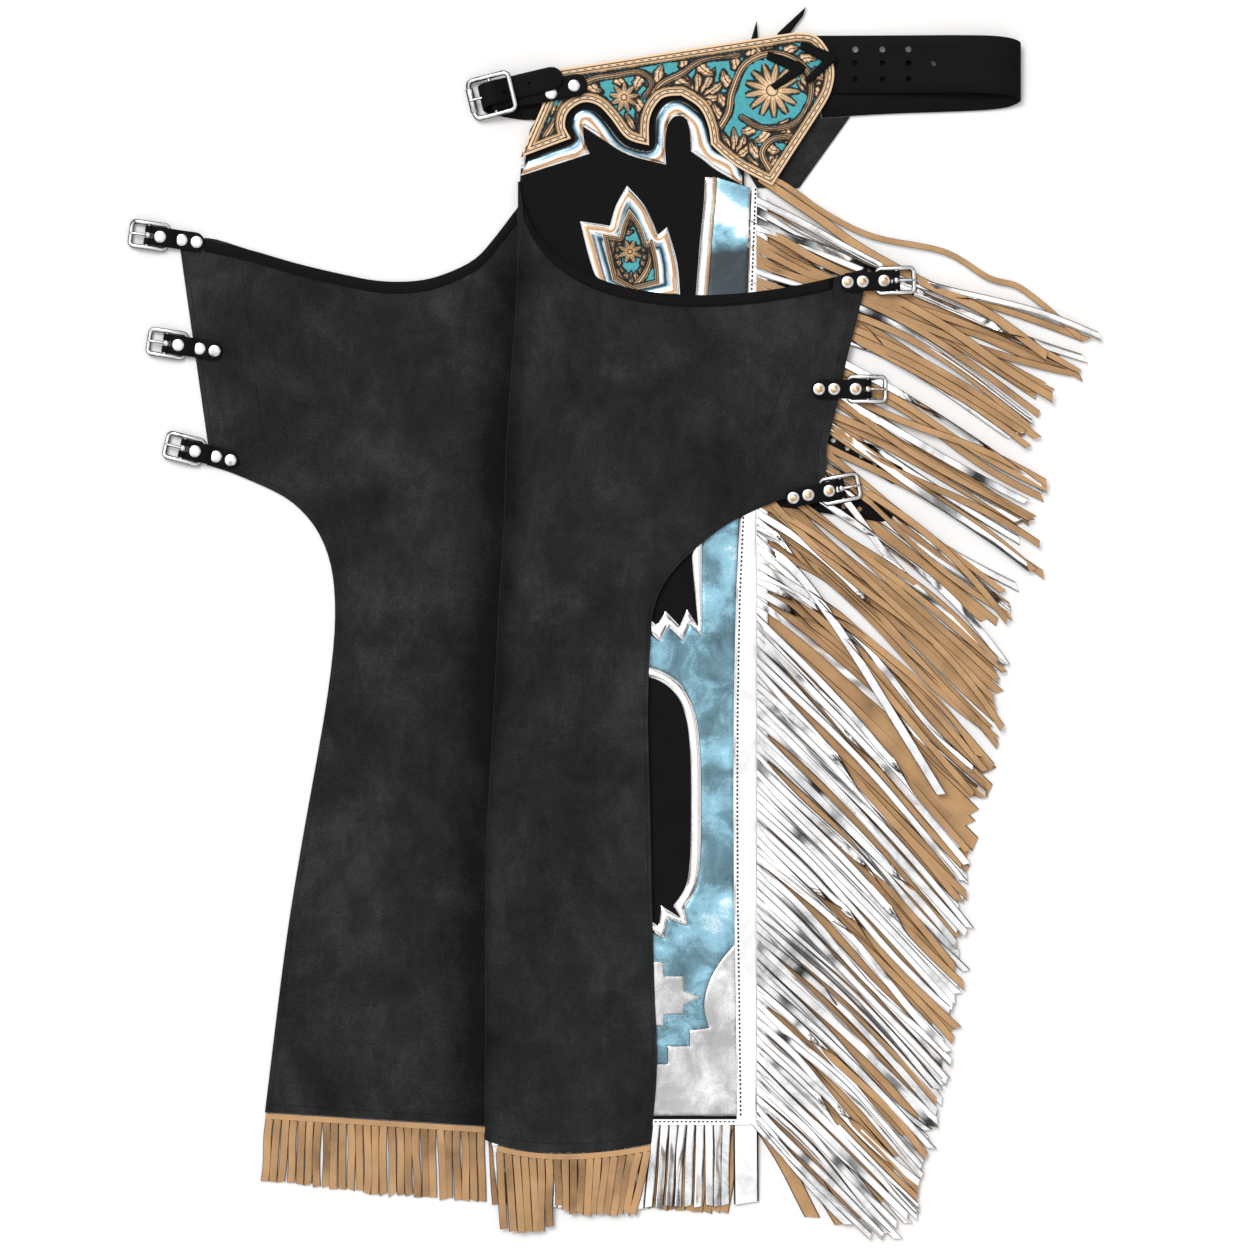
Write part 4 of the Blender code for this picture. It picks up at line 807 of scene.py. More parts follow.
def make_near_leg(sizes):
    """One hide: the folded flap, the soft fold and the decorated front panel, as a wall that is
    suede outside the fold and smooth leather inside it."""
    fold_places = np.linspace(FLAP_ROWS[0].fold_y, FLAP_ROWS[-1].fold_y,
                              round((FLAP_ROWS[-1].fold_y - FLAP_ROWS[0].fold_y) / ROW_STEP) + 1)
    rows = []
    for fold_y in fold_places:
        row = fine_flap_row(fold_y)
        bulge = read_between(FOLD_LINE, fold_y, "bulge")
        x_top = bend_x(row, 90)
        flap = flap_points(row, x_top + (row.edge_x - x_top) * FLAP_SHARES[::-1], 0, sizes.crease_share)
        cells = list(flap)
        for angle in BEND_ANGLES[1:]:
            x = bend_x(row, angle)
            if angle > 0:
                cells.append(flap_points(row, np.array([x]), 0, sizes.crease_share)[0])
            else:
                height = NEAR_PANEL_MID + bulge * (1 + math.sin(math.radians(angle)))
                cells.append(chart(x, fold_y, height))
        x0, right_y = bend_x(row, -90), panel_right_y(fold_y)
        for share in PANEL_SHARES[1:]:
            cells.append(chart(x0 + (PANEL_EDGE_X - x0) * share,
                               fold_y + (right_y - fold_y) * min(share / 0.6, 1.0), NEAR_PANEL_MID))
        rows.append(cells)
    points = [p for cells in rows for p in cells]
    faces = grid_faces(len(rows), len(rows[0]))
    panel_start = len(FLAP_SHARES) + len(BEND_ANGLES) - 2     # the column at the foot of the bend
    size = len(PANEL_SHARES)
    before = None
    for left_x, left_y, right_y in smooth(PANEL_TOP, 5)[:-1]:
        start = len(points)
        points += [chart(left_x + (PANEL_EDGE_X - left_x) * s, left_y + (right_y - left_y) * s,
                         NEAR_PANEL_MID) for s in PANEL_SHARES]
        if before is not None:
            faces += joined(before, start, size)
        before = start
    faces += joined(before, panel_start, size)
    plan = np.array([tuple(p) for p in points])
    # painted shade beside the fold, kept on the near leg's points
    nap = pressed(plan[:, 0] / CHART_UNIT + CHART_CENTRE_X, CHART_CENTRE_Y - plan[:, 1] / CHART_UNIT)
    item = make_piece("near_leg_leather", points, faces, ["suede", "grain"], sharp=LEG_SHARP,
                      fields={"pressed": nap})
    if item.data.polygons[0].normal.z < 0:
        item.data.flip_normals()
    give_wall(item, LEG_LEATHER, inner=1)
    item.data.set_sharp_from_angle(angle=math.radians(LEG_SHARP))
    stands_for(item, "black_suede", "near_leg")
    return item


def near_leg_cut():
    """Flat size and area of the near leg before it was folded."""
    fold_x = read_between(FOLD_LINE, MID_ROW_Y, "x")
    across = (fine_flap_row(MID_ROW_Y).edge_x - fold_x) * CHART_UNIT + (PANEL_EDGE_X - fold_x) * CHART_UNIT
    length = (FLAP_ROWS[-1].fold_y - PANEL_CORNERS[0][1]) * CHART_UNIT
    edge = [(row.edge_x, row.edge_y) for row in FLAP_ROWS]
    section_x, section_y = flap_section(FLAP_ROWS[0])
    fold = [(spot.x, spot.y) for spot in reversed(FOLD_LINE)]
    flap = plan_area(list(zip(section_x, section_y)) + edge[1:] + fold)
    return (across, length), flap + plan_area(PANEL_CORNERS)


FAR_FLAP_TOP = [(518, 207), (496, 236), (475, 259), (445, 274), (416, 281), (379, 281),
                (341, 274), (295, 263), (250, 250), (207, 238), (180, 247)]
FAR_FLAP_SIDE = [(186, 290), (208, 444)]
FAR_WING = [(207, 465), (242, 477), (293, 503), (324, 544), (335, 603), (328, 692), (301, 848),
            (285, 950), (265, 1112)]
FAR_HEM = [(265, 1112), (486, 1126), (744, 1122)]


def far_leg_outline():
    outline = smooth(FAR_FLAP_TOP, 4) + FAR_FLAP_SIDE + smooth(FAR_WING, 5)
    return outline + FAR_HEM[1:] + [(PANEL_EDGE_X, 168.5), (521, 168.5)]


def make_far_leg(sizes):
    outline = far_leg_outline()
    item = lay_leather("far_leg_leather", "far_leg", "black_suede", outline, 0.0, LEG_LEATHER,
                       ["suede", "grain"], 7.0,
                       relief=lambda x, y, depth: crease_height(FAR_CREASES, x, y, sizes.crease_share),
                       # painted shade beside the fold, kept on the far leg's points
                       fields=lambda x, y, depth: {"pressed": pressed(x, y)})
    return item, outline


def far_facing_edge():
    return smooth(FAR_FLAP_TOP[:9] + [(205, 240)], 4)


def make_facings(sizes):
    """Smooth bands sewn along the flaps' top edges."""
    lift = (LEG_LEATHER + TRIM_LEATHER) / 2 + SEAM_GAP * 0.5
    points = []
    shares = np.linspace(0.0, FACING_SHARE, 48)
    rows = [fine_flap_row(y) for y in np.linspace(*FACING_ROWS, 5)]
    for row in rows:
        x_top = bend_x(row, 90)
        points += list(flap_points(row, x_top + (row.edge_x - x_top) * shares, lift, sizes.crease_share))
    near = make_piece("near_facing_band", points, grid_faces(len(rows), len(shares)), ["grain"])
    give_wall(near, TRIM_LEATHER)
    stands_for(near, "black_leather", "near_facing")
    edge = far_facing_edge()
    edge[0] = (515, 213)
    inner = [(x + 2 if x > 470 else x, y + FACING_WIDTH) for x, y in edge]
    lay_leather("far_facing_band", "far_facing", "black_leather", edge + inner[::-1], 2.1, 2.9,
                ["grain"], 4.0, ["far_leg_leather"])


# ---- yokes, medallion and appliques
YOKE_TOP_EDGE = [(520, 158), (558, 70), (751, 40), (796, 33)]
YOKE_CORNER = [(796, 33), (815, 36), (828, 51), (834, 72), (830, 94), (818, 115)]
YOKE_SCALLOPS = [
    [(772, 186), (735, 166), (711, 145)], [(711, 145), (708, 126), (699, 108), (681, 96)],
    [(681, 96), (662, 99), (650, 118), (649, 146)],
    [(649, 146), (627, 139), (611, 119), (598, 106), (583, 103), (569, 112), (565, 126), (571, 139)],
    [(571, 139), (552, 146), (520, 158)]]
TRIM_EDGES = [  # lower edge, in runs between its points
    [(521, 176), (556, 165), (590, 154)], [(590, 154), (584, 140), (583, 127)],
    [(583, 127), (603, 140), (628, 155), (666, 165)],
    [(666, 165), (665, 146), (667, 128), (672, 119), (680, 116), (687, 121), (690, 134), (691, 152)],
    [(691, 152), (704, 161), (717, 171), (742, 185)], [(742, 185), (742, 172)]]
TRIM_INNER = [(742, 172), (735, 160), (714, 148), (706, 124), (697, 111), (681, 101), (666, 104),
              (656, 119), (653, 150), (625, 145), (606, 123), (595, 112), (584, 109), (574, 115),
              (571, 127), (575, 142), (552, 151), (521.5, 163)]
FAR_YOKE = [(524, 167.8), (530, 130), (560, 80), (750, 50), (795, 44), (815, 60), (820.9, 118.6),
            (850, 116.8), (799, 188), (757, 188), (745, 167.8)]

Flower = namedtuple("Flower", "x y radius petals turn")
Leaf = namedtuple("Leaf", "x0 y0 x1 y1 bend width")
Spray = namedtuple("Spray", "x y reach first last count")  # narrow leaves that fan from a point
FLOWERS = [Flower(772, 91, 28, 13, 0.2), Flower(624, 98, 15, 9, 0.5)]
SPRAYS = [Spray(586, 98, 22, -160, -20, 5), Spray(641, 141, 31, -165, -75, 5),
          Spray(700, 100, 34, -150, 20, 7), Spray(668, 92, 24, -190, -110, 4),
          Spray(736, 158, 30, -170, -45, 6), Spray(768, 178, 32, -160, -55, 5),
          Spray(815, 92, 26, -150, -70, 5), Spray(790, 132, 20, -10, 90, 4),
          Spray(542, 150, 24, -100, -30, 4), Spray(752, 46, 18, 20, 120, 4)]
Stem = namedtuple("Stem", "sides points")
STEMS = [  # the carving's scrolls as they are cut, and their leaves' sides
    Stem((-1, 1), [(540, 146), (554, 124), (566, 98), (590, 81), (616, 76), (640, 73), (652, 84),
                   (645, 97)]),
    Stem((1, -1), [(640, 130), (648, 108), (660, 86), (682, 74), (704, 60), (738, 56)]),
    Stem((-1,), [(714, 136), (728, 114), (732, 92), (746, 64), (776, 54), (806, 70), (810, 100),
                 (794, 124), (764, 129), (742, 118)]),
    Stem((1, -1), [(772, 174), (762, 154), (772, 140), (794, 136)])]
MEDALLION_FLOWERS = [Flower(630, 252, 12, 8, 0.0)]
MEDALLION_SPRAYS = [Spray(631, 292, 20, -130, -50, 3)]
MEDALLION_STEMS = [Stem((1,), [(631, 290), (618, 276), (611, 256), (616, 236), (630, 224)]),
                   Stem((-1,), [(631, 290), (644, 276), (651, 256), (645, 236)])]
Carving = namedtuple("Carving", "flowers stems sprays band")


def near_run(x, y, run):
    """Distance from an open run of points, and how far along it the nearest place lies."""
    distance = np.full(np.shape(x), np.inf)
    place = np.zeros(np.shape(x))
    length = sum(math.dist(a, b) for a, b in zip(run, run[1:]))
    done = 0.0
    for (x0, y0), (x1, y1) in zip(run, run[1:]):
        dx, dy = x1 - x0, y1 - y0
        span = math.hypot(dx, dy)
        t = np.clip(((x - x0) * dx + (y - y0) * dy) / (span * span), 0, 1)
        d = np.hypot(x - x0 - t * dx, y - y0 - t * dy)
        nearer = d < distance
        distance = np.where(nearer, d, distance)
        place = np.where(nearer, (done + t * span) / length, place)
        done += span
    return distance, place


def flower_marks(x, y, flower):
    """Narrow petals round a ball, with gaps between them that fall to the knife's black."""
    distance = np.hypot(x - flower.x, y - flower.y)
    angle = np.arctan2(y - flower.y, x - flower.x) + flower.turn
    share = np.clip(distance / flower.radius, 0, 1)
    cell = 2 * math.pi / flower.petals
    aside = np.abs((angle / cell) % 1 - 0.5) * cell * distance
    half = 0.36 * cell * 0.62 * flower.radius * np.sin(share ** 0.8 * math.pi) ** 0.55
    ball = flower.radius * 0.2 - distance
    vein = np.where((share > 0.34) & (share < 0.8), aside * 1.5, 9.0)
    return np.maximum(np.where(distance < flower.radius, half - aside, -9.0), ball), np.minimum(
        vein, np.abs(distance - flower.radius * 0.2))


def leaf_marks(x, y, leaf):
    dx, dy = leaf.x1 - leaf.x0, leaf.y1 - leaf.y0
    length = math.hypot(dx, dy)
    middle = (leaf.x0 + dx / 2 - dy / length * leaf.bend, leaf.y0 + dy / 2 + dx / length * leaf.bend)
    run = smooth([(leaf.x0, leaf.y0), middle, (leaf.x1, leaf.y1)], 3)
    distance, place = near_run(x, y, run)
    width = leaf.width * np.sin(np.clip(place, 0, 1) ** 0.75 * math.pi) ** 0.7
    notch = 1 + 0.15 * np.cos(place * 20)
    ribs = np.abs(((place * length + distance) / 3.6) % 1 - 0.5) * 3.6
    ribs = np.where(distance < width * 0.8, ribs * 1.6 + 0.15, 9.0)
    return width * notch - distance, np.minimum(distance * 1.1, ribs)


def stem_marks(x, y, stem):
    distance, place = near_run(x, y, smooth(stem.points, 5))
    half = 3.0 - 1.1 * place
    return half - distance, np.abs(distance - half * 0.42)


def leaf_from(x, y, angle, reach, bend, width):
    """A leaf that grows out of a point."""
    return Leaf(x, y, x + reach * math.cos(angle), y + reach * math.sin(angle), bend, width)


def leafy(stem, every, length, width):
    """Leaves set by rule along a stem, on the sides it names in turn."""
    run = walk_open(smooth(stem.points, 5), 2.0)
    run = run[2::round(every / 2)]
    leaves = []
    for i, ((x0, y0), (x1, y1)) in enumerate(zip(run, run[1:])):
        side = stem.sides[i % len(stem.sides)]
        angle = math.atan2(y1 - y0, x1 - x0) + side * 0.95
        reach = length * (1.0 + 0.15 * math.sin(i * 2.4))
        leaves.append(leaf_from(x0, y0, angle, reach, side * 2.5, width))
    return leaves


def fan(spray, width):
    """The leaves of a spray, longest in its middle and bent outwards."""
    leaves = []
    for share in np.linspace(0, 1, spray.count):
        angle = math.radians(spray.first + (spray.last - spray.first) * share)
        reach = spray.reach * (0.78 + 0.22 * math.sin(math.pi * share))
        leaves.append(leaf_from(spray.x, spray.y, angle, reach, (share - 0.5) * 5.0, width))
    return leaves


def carve(carving, x, y, depth):
    """Paints the carving's parts in order: in mm how far a place lies inside a raised part, how
    far the ground is from a knife cut, and how far it all is from a groove."""
    size = CHART_UNIT / MM
    band = carving.band
    motif = np.full(np.shape(x), -99.0)
    cut, groove = -motif, -motif
    leaves = [leaf for spray in carving.sprays for leaf in fan(spray, band * SPRAY_WIDTH)]
    leaves += [leaf for stem in carving.stems
               for leaf in leafy(stem, band * LEAF_EVERY, band * LEAF_LENGTH, band * LEAF_WIDTH)]
    marks = [leaf_marks(x, y, leaf) for leaf in leaves]
    marks += [stem_marks(x, y, stem) for stem in carving.stems]
    marks += [flower_marks(x, y, flower) for flower in carving.flowers]
    rails = np.minimum(np.abs(depth - band * 0.3), np.abs(depth - band * 0.68))
    marks.append((band - depth, rails))
    for inside, lines in marks:
        motif = np.where(inside > 0, inside, np.where(motif > 0, motif, np.maximum(motif, inside)))
        cut = np.where(inside > 0, RAISED, np.minimum(cut, -inside))
        groove = np.where(inside > 0, lines, groove)
    return {"motif": motif * size, "cut": cut * size, "groove": groove * size}


LEAF_EVERY, LEAF_LENGTH, LEAF_WIDTH = 1.7, 2.0, 0.5  # shares of the border's width
SPRAY_WIDTH = 0.4
RAISED = 6.0  # what raised parts have for their distance from a cut


def carving_relief(carving):
    """Raised parts stand round above a ground that is beaten down; cuts and grooves sink."""
    def relief(x, y, depth):
        marks = carve(carving, x, y, depth)
        raised = np.clip(marks["motif"] / 1.6 + 0.4, 0, 1)
        crown = np.clip(marks["motif"] / 2.4, 0, 1)
        return -0.75 + 0.55 * raised + 0.25 * raised * crown - 0.2 * np.exp(-(marks["groove"] / 0.35) ** 2)
    return relief


def banded(toned):
    """Where each place of a padded trim falls in its run of reflected colours: 0 to 1."""
    return {"tint": (toned - 0.5) / 0.3}


def crowned(x, y, depth):
    """A trim drawn up into a soft ridge by its padding and its seams."""
    return TRIM_CROWN * np.sin(np.clip(depth / TRIM_CROWN_WIDTH, 0, 1) * math.pi)


TRIM_CROWN = 1.1  # mm
TRIM_CROWN_WIDTH = 11.0  # chart units


def yoke_outline():
    scallops = [p for run in YOKE_SCALLOPS for p in smooth(run, 5)[:-1]]
    return YOKE_TOP_EDGE[:-1] + smooth(YOKE_CORNER, 5) + scallops


def make_yokes():
    carving = Carving(FLOWERS, STEMS, SPRAYS, 9.0)
    lay_leather("near_yoke_tooled", "near_yoke", "tooled_leather", yoke_outline(), SECOND_TRIM_LOW,
                YOKE_TOP, ["tooled", "tan"], 0.82, ["yoke_trim_foil", "near_leg_leather"],
                relief=carving_relief(carving), fields=partial(carve, carving), edge_drop=0.6)
    lay_leather("far_yoke_suede", "far_yoke", "black_suede", FAR_YOKE, 0.05, LEG_LEATHER, ["suede"],
                6.0, ["floor"])
    trim = [p for run in (*TRIM_EDGES, TRIM_INNER) for p in smooth(run, 4)[:-1]]
    lay_leather("yoke_trim_foil", "yoke_trim", "silver_leather", trim, TRIM_LOW, TRIM_TOP,
                ["padded", "tan"], 1.6, ["near_leg_leather"], relief=crowned,
                # painted reflection bands across the trim's width
                fields=lambda x, y, d: banded(0.7 - near_run(x, y, smooth(TRIM_INNER))[0] * 0.037))


def medallion_outline():
    tip, left, right, foot = (627, 186), (580, 221.5), (667, 227.5), (632, 306)
    half_left = smooth([tip, (616, 206), (610, 226)], 5)[:-1] + [(610, 226), left]
    left_side = smooth([left, (587, 250), (598, 290)], 4)[1:]
    right_side = smooth([(680, 296), (677, 262), right], 4)[:-1]
    half_right = [right] + smooth([(658, 235), (646, 208), tip], 5)[:-1]
    return half_left + left_side + [foot] + right_side + half_right


def make_medallion():
    outline = medallion_outline()
    lay_leather("medallion_foil", "medallion_base", "silver_leather", outline, TRIM_LOW, TRIM_TOP,
                ["padded", "tan"], 1.6, ["near_leg_leather"], relief=crowned,
                # painted reflection bands across the medallion's width
                fields=lambda x, y, d: banded(0.12 + d * 0.036))
    centre = [(631 + (x - 630) * 0.58, 253 + (y - 250) * 0.68) for x, y in outline]
    carving = Carving(MEDALLION_FLOWERS, MEDALLION_STEMS, MEDALLION_SPRAYS, 4.5)
    lay_leather("medallion_tooled", "medallion_centre", "tooled_leather", centre, SECOND_TRIM_LOW,
                SECOND_TRIM_LOW + TRIM_LEATHER, ["tooled", "tan"], 0.8, ["medallion_foil"],
                relief=carving_relief(carving), fields=partial(carve, carving))


GAP = 0.4
BORDER = 12.0
SEAM_SIDE = [(750, 188), (747, 289), (742, 400), (738.5, 520), (735.5, 600), (734, 700), (733.5, 800),
             (734.5, 900), (735.5, 944)]
BAND_LEFT = [(717, 178), (716, 200), (712, 240), (708, 292), (703, 400), (702, 540), (702, 636)]
UPPER_TEETH = [(702, 636), (690, 624), (683, 641), (668, 627), (660, 642), (644, 630)]
WINDOW_CURVE = [(644, 666), (662, 671), (682, 686), (695, 712), (700, 750), (701, 800), (700, 860),
                (695, 890), (684, 908)]
WINDOW = smooth(WINDOW_CURVE, 4) + [(688, 926), (668, 918), (664, 938), (644, 928)]
BAND_FOOT = smooth([(735.5, 944), (720, 962), (708, 984), (704, 1006), (709, 1028)], 4) + [
    (690, 1030), (690, 1046), (668, 1046), (668, 1064), (644, 1064)]
MOTIF = [(644, 962), (664, 962), (664, 976), (684, 976), (684, 990), (700, 997), (684, 1004),
         (684, 1014), (664, 1014), (664, 1026), (644, 1026)]


def applique_outlines():
    border_edge = BAND_LEFT + UPPER_TEETH[1:]
    border = inset_run(border_edge, GAP) + inset_run(border_edge, BORDER)[::-1]
    band = SEAM_SIDE[::-1] + border_edge + inset_run(WINDOW, -GAP)
    band += [(644, 1064 - GAP)] + inset_run(BAND_FOOT, GAP)[::-1][1:]
    window = WINDOW + inset_run(WINDOW, BORDER - 2)[::-1]
    corner = BAND_FOOT + [(600, 1064), (600, 1119), (644, 1115.5), (739, 1115.5)]
    return {"silver_border": border, "blue_band": band, "silver_window": window,
            "silver_motif": MOTIF, "silver_corner": corner}


def band_shine(x, y, depth):
    """Painted reflections on the band: a painted highlight of a window near the waist, and the dark flap's
    edge painted in below it.
    """
    near_top = (y < 330) * np.exp(-((y - 214 - (x - 730) * 0.5) / 17) ** 2)
    return {"tint": 1.5 * soft_step(y, 234, 30) * (y < 330) - 1.15 * near_top}


def border_shine(x, y, depth):
    """Painted reflections on the border: beside the top of the band it takes painted tan reflections;
    further down it is all white.
    """
    return banded(np.where(y < 330, 0.31 - near_run(x, y, BAND_LEFT)[0] * 0.024, 0.12))


def make_appliques():
    # painted reflections on the blue band, the border and the window
    shine = {"blue_band": band_shine, "silver_border": border_shine, "silver_window": border_shine}
    for node, outline in applique_outlines().items():
        slot = "blue" if node == "blue_band" else "silver"
        padded = node in ("silver_border", "silver_window")
        low = SECOND_TRIM_LOW if node == "silver_motif" else TRIM_LOW
        lay_leather(node + "_foil", node, slot + "_leather", outline, low, low + TRIM_LEATHER,
                    ["padded" if padded else slot, "tan"], 3.0 if padded else 3.5,
                    ["near_leg_leather"], relief=crowned if padded else None, fields=shine.get(node))


# ---- fringes
STRIP_IN_X = 744.5
STRIP_OUT_X = 757.0
STRIP_ROOT_X = 750.0  # where the strands are cut free of the binding
BINDING_TILT = 0.05  # radians, down towards the fringe
BINDING_MID, BINDING_TOP = 5.25, 6.1
BINDING_REACH = 5.3  # chart units that the binding laps over the panel's seam
STRIP_STATIONS = 60
UNCUT_X, UNCUT_HALF, UNCUT_HEIGHT = 759.0, 8.5, 4.0  # the fringe leather's uncut root
NEAR_FRINGE_MID = 3.9
FAR_HEIGHT = 0.9
HEM_STRIP = 7.0
Guide = namedtuple("Guide", "root tip_x tip_y sag")
Bundle = namedtuple("Bundle", "first last gather_x gather_y spread tip_a tip_b turned")
NEAR_BUNDLES = [  # root range, where the strands draw together, and their tips
    Bundle(194, 222, 905, 278, 9, (1104, 326), (1082, 372), 0.45),
    Bundle(222, 248, 893, 300, 11, (1094, 352), (1074, 398), 0.55),
    Bundle(248, 266, 884, 308, 8, (1030, 380), (1052, 432), 0.7),
    Bundle(266, 306, 884, 338, 20, (1034, 416), (1038, 452), 0.6),
    Bundle(306, 345, 884, 396, 14, (1043, 478), (1047, 502), 0.55),
    Bundle(345, 372, 858, 413, 15, (1040, 500), (1026, 536), 0.65),
    Bundle(372, 405, 866, 454, 13, (1046, 530), (1037, 610), 0.6),
    Bundle(405, 436, 852, 491, 10, (1014, 598), (1002, 628), 0.7),
    Bundle(436, 476, 850, 534, 14, (1010, 650), (998, 694), 0.75),
    Bundle(476, 530, 836, 574, 21, (996, 700), (998, 758), 0.7),
    Bundle(530, 600, 828, 630, 24, (996, 752), (980, 815), 0.75)]
FAR_BUNDLES = [
    Bundle(196, 262, 884, 296, 16, (1068, 345), (1040, 410), 0.2),
    Bundle(262, 330, 880, 345, 14, (1028, 425), (1020, 446), 0.35),
    Bundle(330, 380, 860, 422, 18, (1034, 496), (1022, 560), 0.35),
    Bundle(380, 450, 856, 500, 18, (1020, 585), (1000, 640), 0.35),
    Bundle(450, 548, 844, 570, 24, (1000, 660), (994, 740), 0.2)]
NEAR_LOWER = [  # root y, tip, and how far the strand sags below its chord
    Guide(606, 967, 846, -5), Guide(660, 967, 893, -5), Guide(719, 966, 944, -5),
    Guide(790, 962, 1005, -5), Guide(850, 951, 1052, -5), Guide(918, 941, 1106, -6),
    Guide(980, 931, 1157, -6), Guide(1053, 915, 1216, -5), Guide(1085, 898, 1236, -5),
    Guide(1112, 872, 1237, -3), Guide(1124, 836, 1222, -2)]
FAR_SIDE = [
    Guide(548, 1000, 770, -2), Guide(590, 982, 808, -4), Guide(640, 975, 850, -5),
    Guide(700, 958, 905, -5), Guide(790, 948, 985, -5), Guide(880, 932, 1064, -5),
    Guide(960, 917, 1128, -5), Guide(1040, 884, 1196, -5), Guide(1085, 851, 1228, -4),
    Guide(1112, 800, 1218, -3)]
HEIGHT_PLACES = (0, 0.02, 0.05, 0.3, 0.65, 1)  # shares of a strand's length
UPPER_HEIGHTS = (4.9, 5.35, 5.1, 3.9, 3.9, 2.9)
LOWER_HEIGHTS = (4.9, 5.35, 5.0, 3.3, 2.8, 2.4)
LOWEST_STRAND = 0.1  # mm above the floor
Strand = namedtuple("Strand", "path half roll curl slant tint bare", defaults=(0,))
Loose = namedtuple("Loose", "points half turned rise")
LOOSE_STRANDS = [  # single strands that stray: chart points, half width, mm they rise
    Loose([(757, 172), (786, 186), (824, 213), (873, 237), (944, 252), (988, 278), (1016, 286), (1040, 303),
           (1062, 322), (1080, 338)], 3.0, True, 0.0),
    Loose([(760, 178), (790, 199), (822, 221), (852, 243), (884, 262), (930, 286), (985, 312), (1046, 356)],
          4.6, True, 3.4),
    Loose([(754, 226), (782, 240), (812, 258), (850, 276), (890, 296), (950, 330), (1010, 372),
           (1052, 398)], 4.4, True, 3.4),
    Loose([(766, 548), (798, 574), (841, 633), (893, 716), (941, 794)], 4.6, False, 4.4)]
RIBBON_TOP = np.array([-0.87, -0.5, 0.0, 0.5, 0.87])
RIBBON_STATIONS = 52


def ribbon(strand):
    """Rings of points round a flat strand that bends, rolls over and curls across its width."""
    path = strand.path
    tangent = np.gradient(path, axis=0)
    tangent /= np.linalg.norm(tangent, axis=1)[:, None]
    side = np.cross(np.broadcast_to([0.0, 0.0, 1.0], tangent.shape), tangent)
    side /= np.linalg.norm(side, axis=1)[:, None]
    up = np.cross(tangent, side)
    cos, sin = np.cos(strand.roll)[:, None], np.sin(strand.roll)[:, None]
    turned_side, turned_up = side * cos + up * sin, up * cos - side * sin
    half_wall = FRINGE_LEATHER * MM / 2
    ring = [(x, half_wall) for x in RIBBON_TOP] + [(1.0, 0.0)]
    ring += [(-x, -wall) for x, wall in ring]
    rings = []
    for across, wall in ring:
        bow = (across * across - 0.4) * strand.curl
        rings.append(path + turned_side * (across * strand.half)[:, None] + turned_up * (bow + wall))
    rings = np.stack(rings, axis=1)
    rings[-1] += tangent[-1] * (np.array([across for across, _ in ring]) * strand.slant)[:, None]
    rings[:, :, 2] += np.maximum(LOWEST_STRAND * MM - rings[:, :, 2].min(axis=1), 0)[:, None]
    return rings


def make_ribbons(name, strands, top_finish, under_finish):
    points, faces, face_finish, tones_and_painted_light = [], [], [], []
    sides = 2 * (len(RIBBON_TOP) + 1)
    # the cut edges take the third finish: near black painted shade between the strands
    ring_finish = ([0] * 4 + [2] * 2 + [1] * 4 + [2] * 2)
    uncut_finish = [kind % 2 for kind in ring_finish]
    start = 0
    for strand in strands:
        rings = ribbon(strand)
        last = start + (len(rings) - 1) * sides
        points.append(rings.reshape(-1, 3))
        tones_and_painted_light.append(np.repeat(strand.tint, sides))
        for station, first in enumerate(range(start, last, sides)):
            faces += joined_rings(first, first + sides, sides)
            face_finish += ring_finish if station >= strand.bare else uncut_finish
        faces += end_faces(start, last, sides)
        face_finish += [0, 2]
        start = last + sides
    return make_piece(name, np.concatenate(points), faces, [top_finish, under_finish, "edge"], face_finish,
                      fields={"tint": np.concatenate(tones_and_painted_light)}, sharp=50)


def flat_strand(x, y, height, half):
    """A strand that lies flat and unshaded: the uncut strip that a fringe hangs from is a wide one."""
    path = chart_points(x, y, height)
    count = len(path)
    return Strand(path, np.full(count, half * CHART_UNIT), np.zeros(count), 0.0, 0.0, np.zeros(count))


def under_cover(x, y):
    """1 where the flap or a right-hand buckle lies on the fringe, fading to 0 beside them."""
    reach = np.interp(y, [255, 281, 330, 389, 440, 489, 515], [880, 925, 880, 898, 850, 872, 850])
    sideways = np.clip((reach + 14 - x) / 14, 0, 1)
    above = np.clip((y - (266 - (x < 800) * 6)) / 10, 0, 1)
    below = np.clip((506 - y) / 10, 0, 1)
    return sideways * above * below


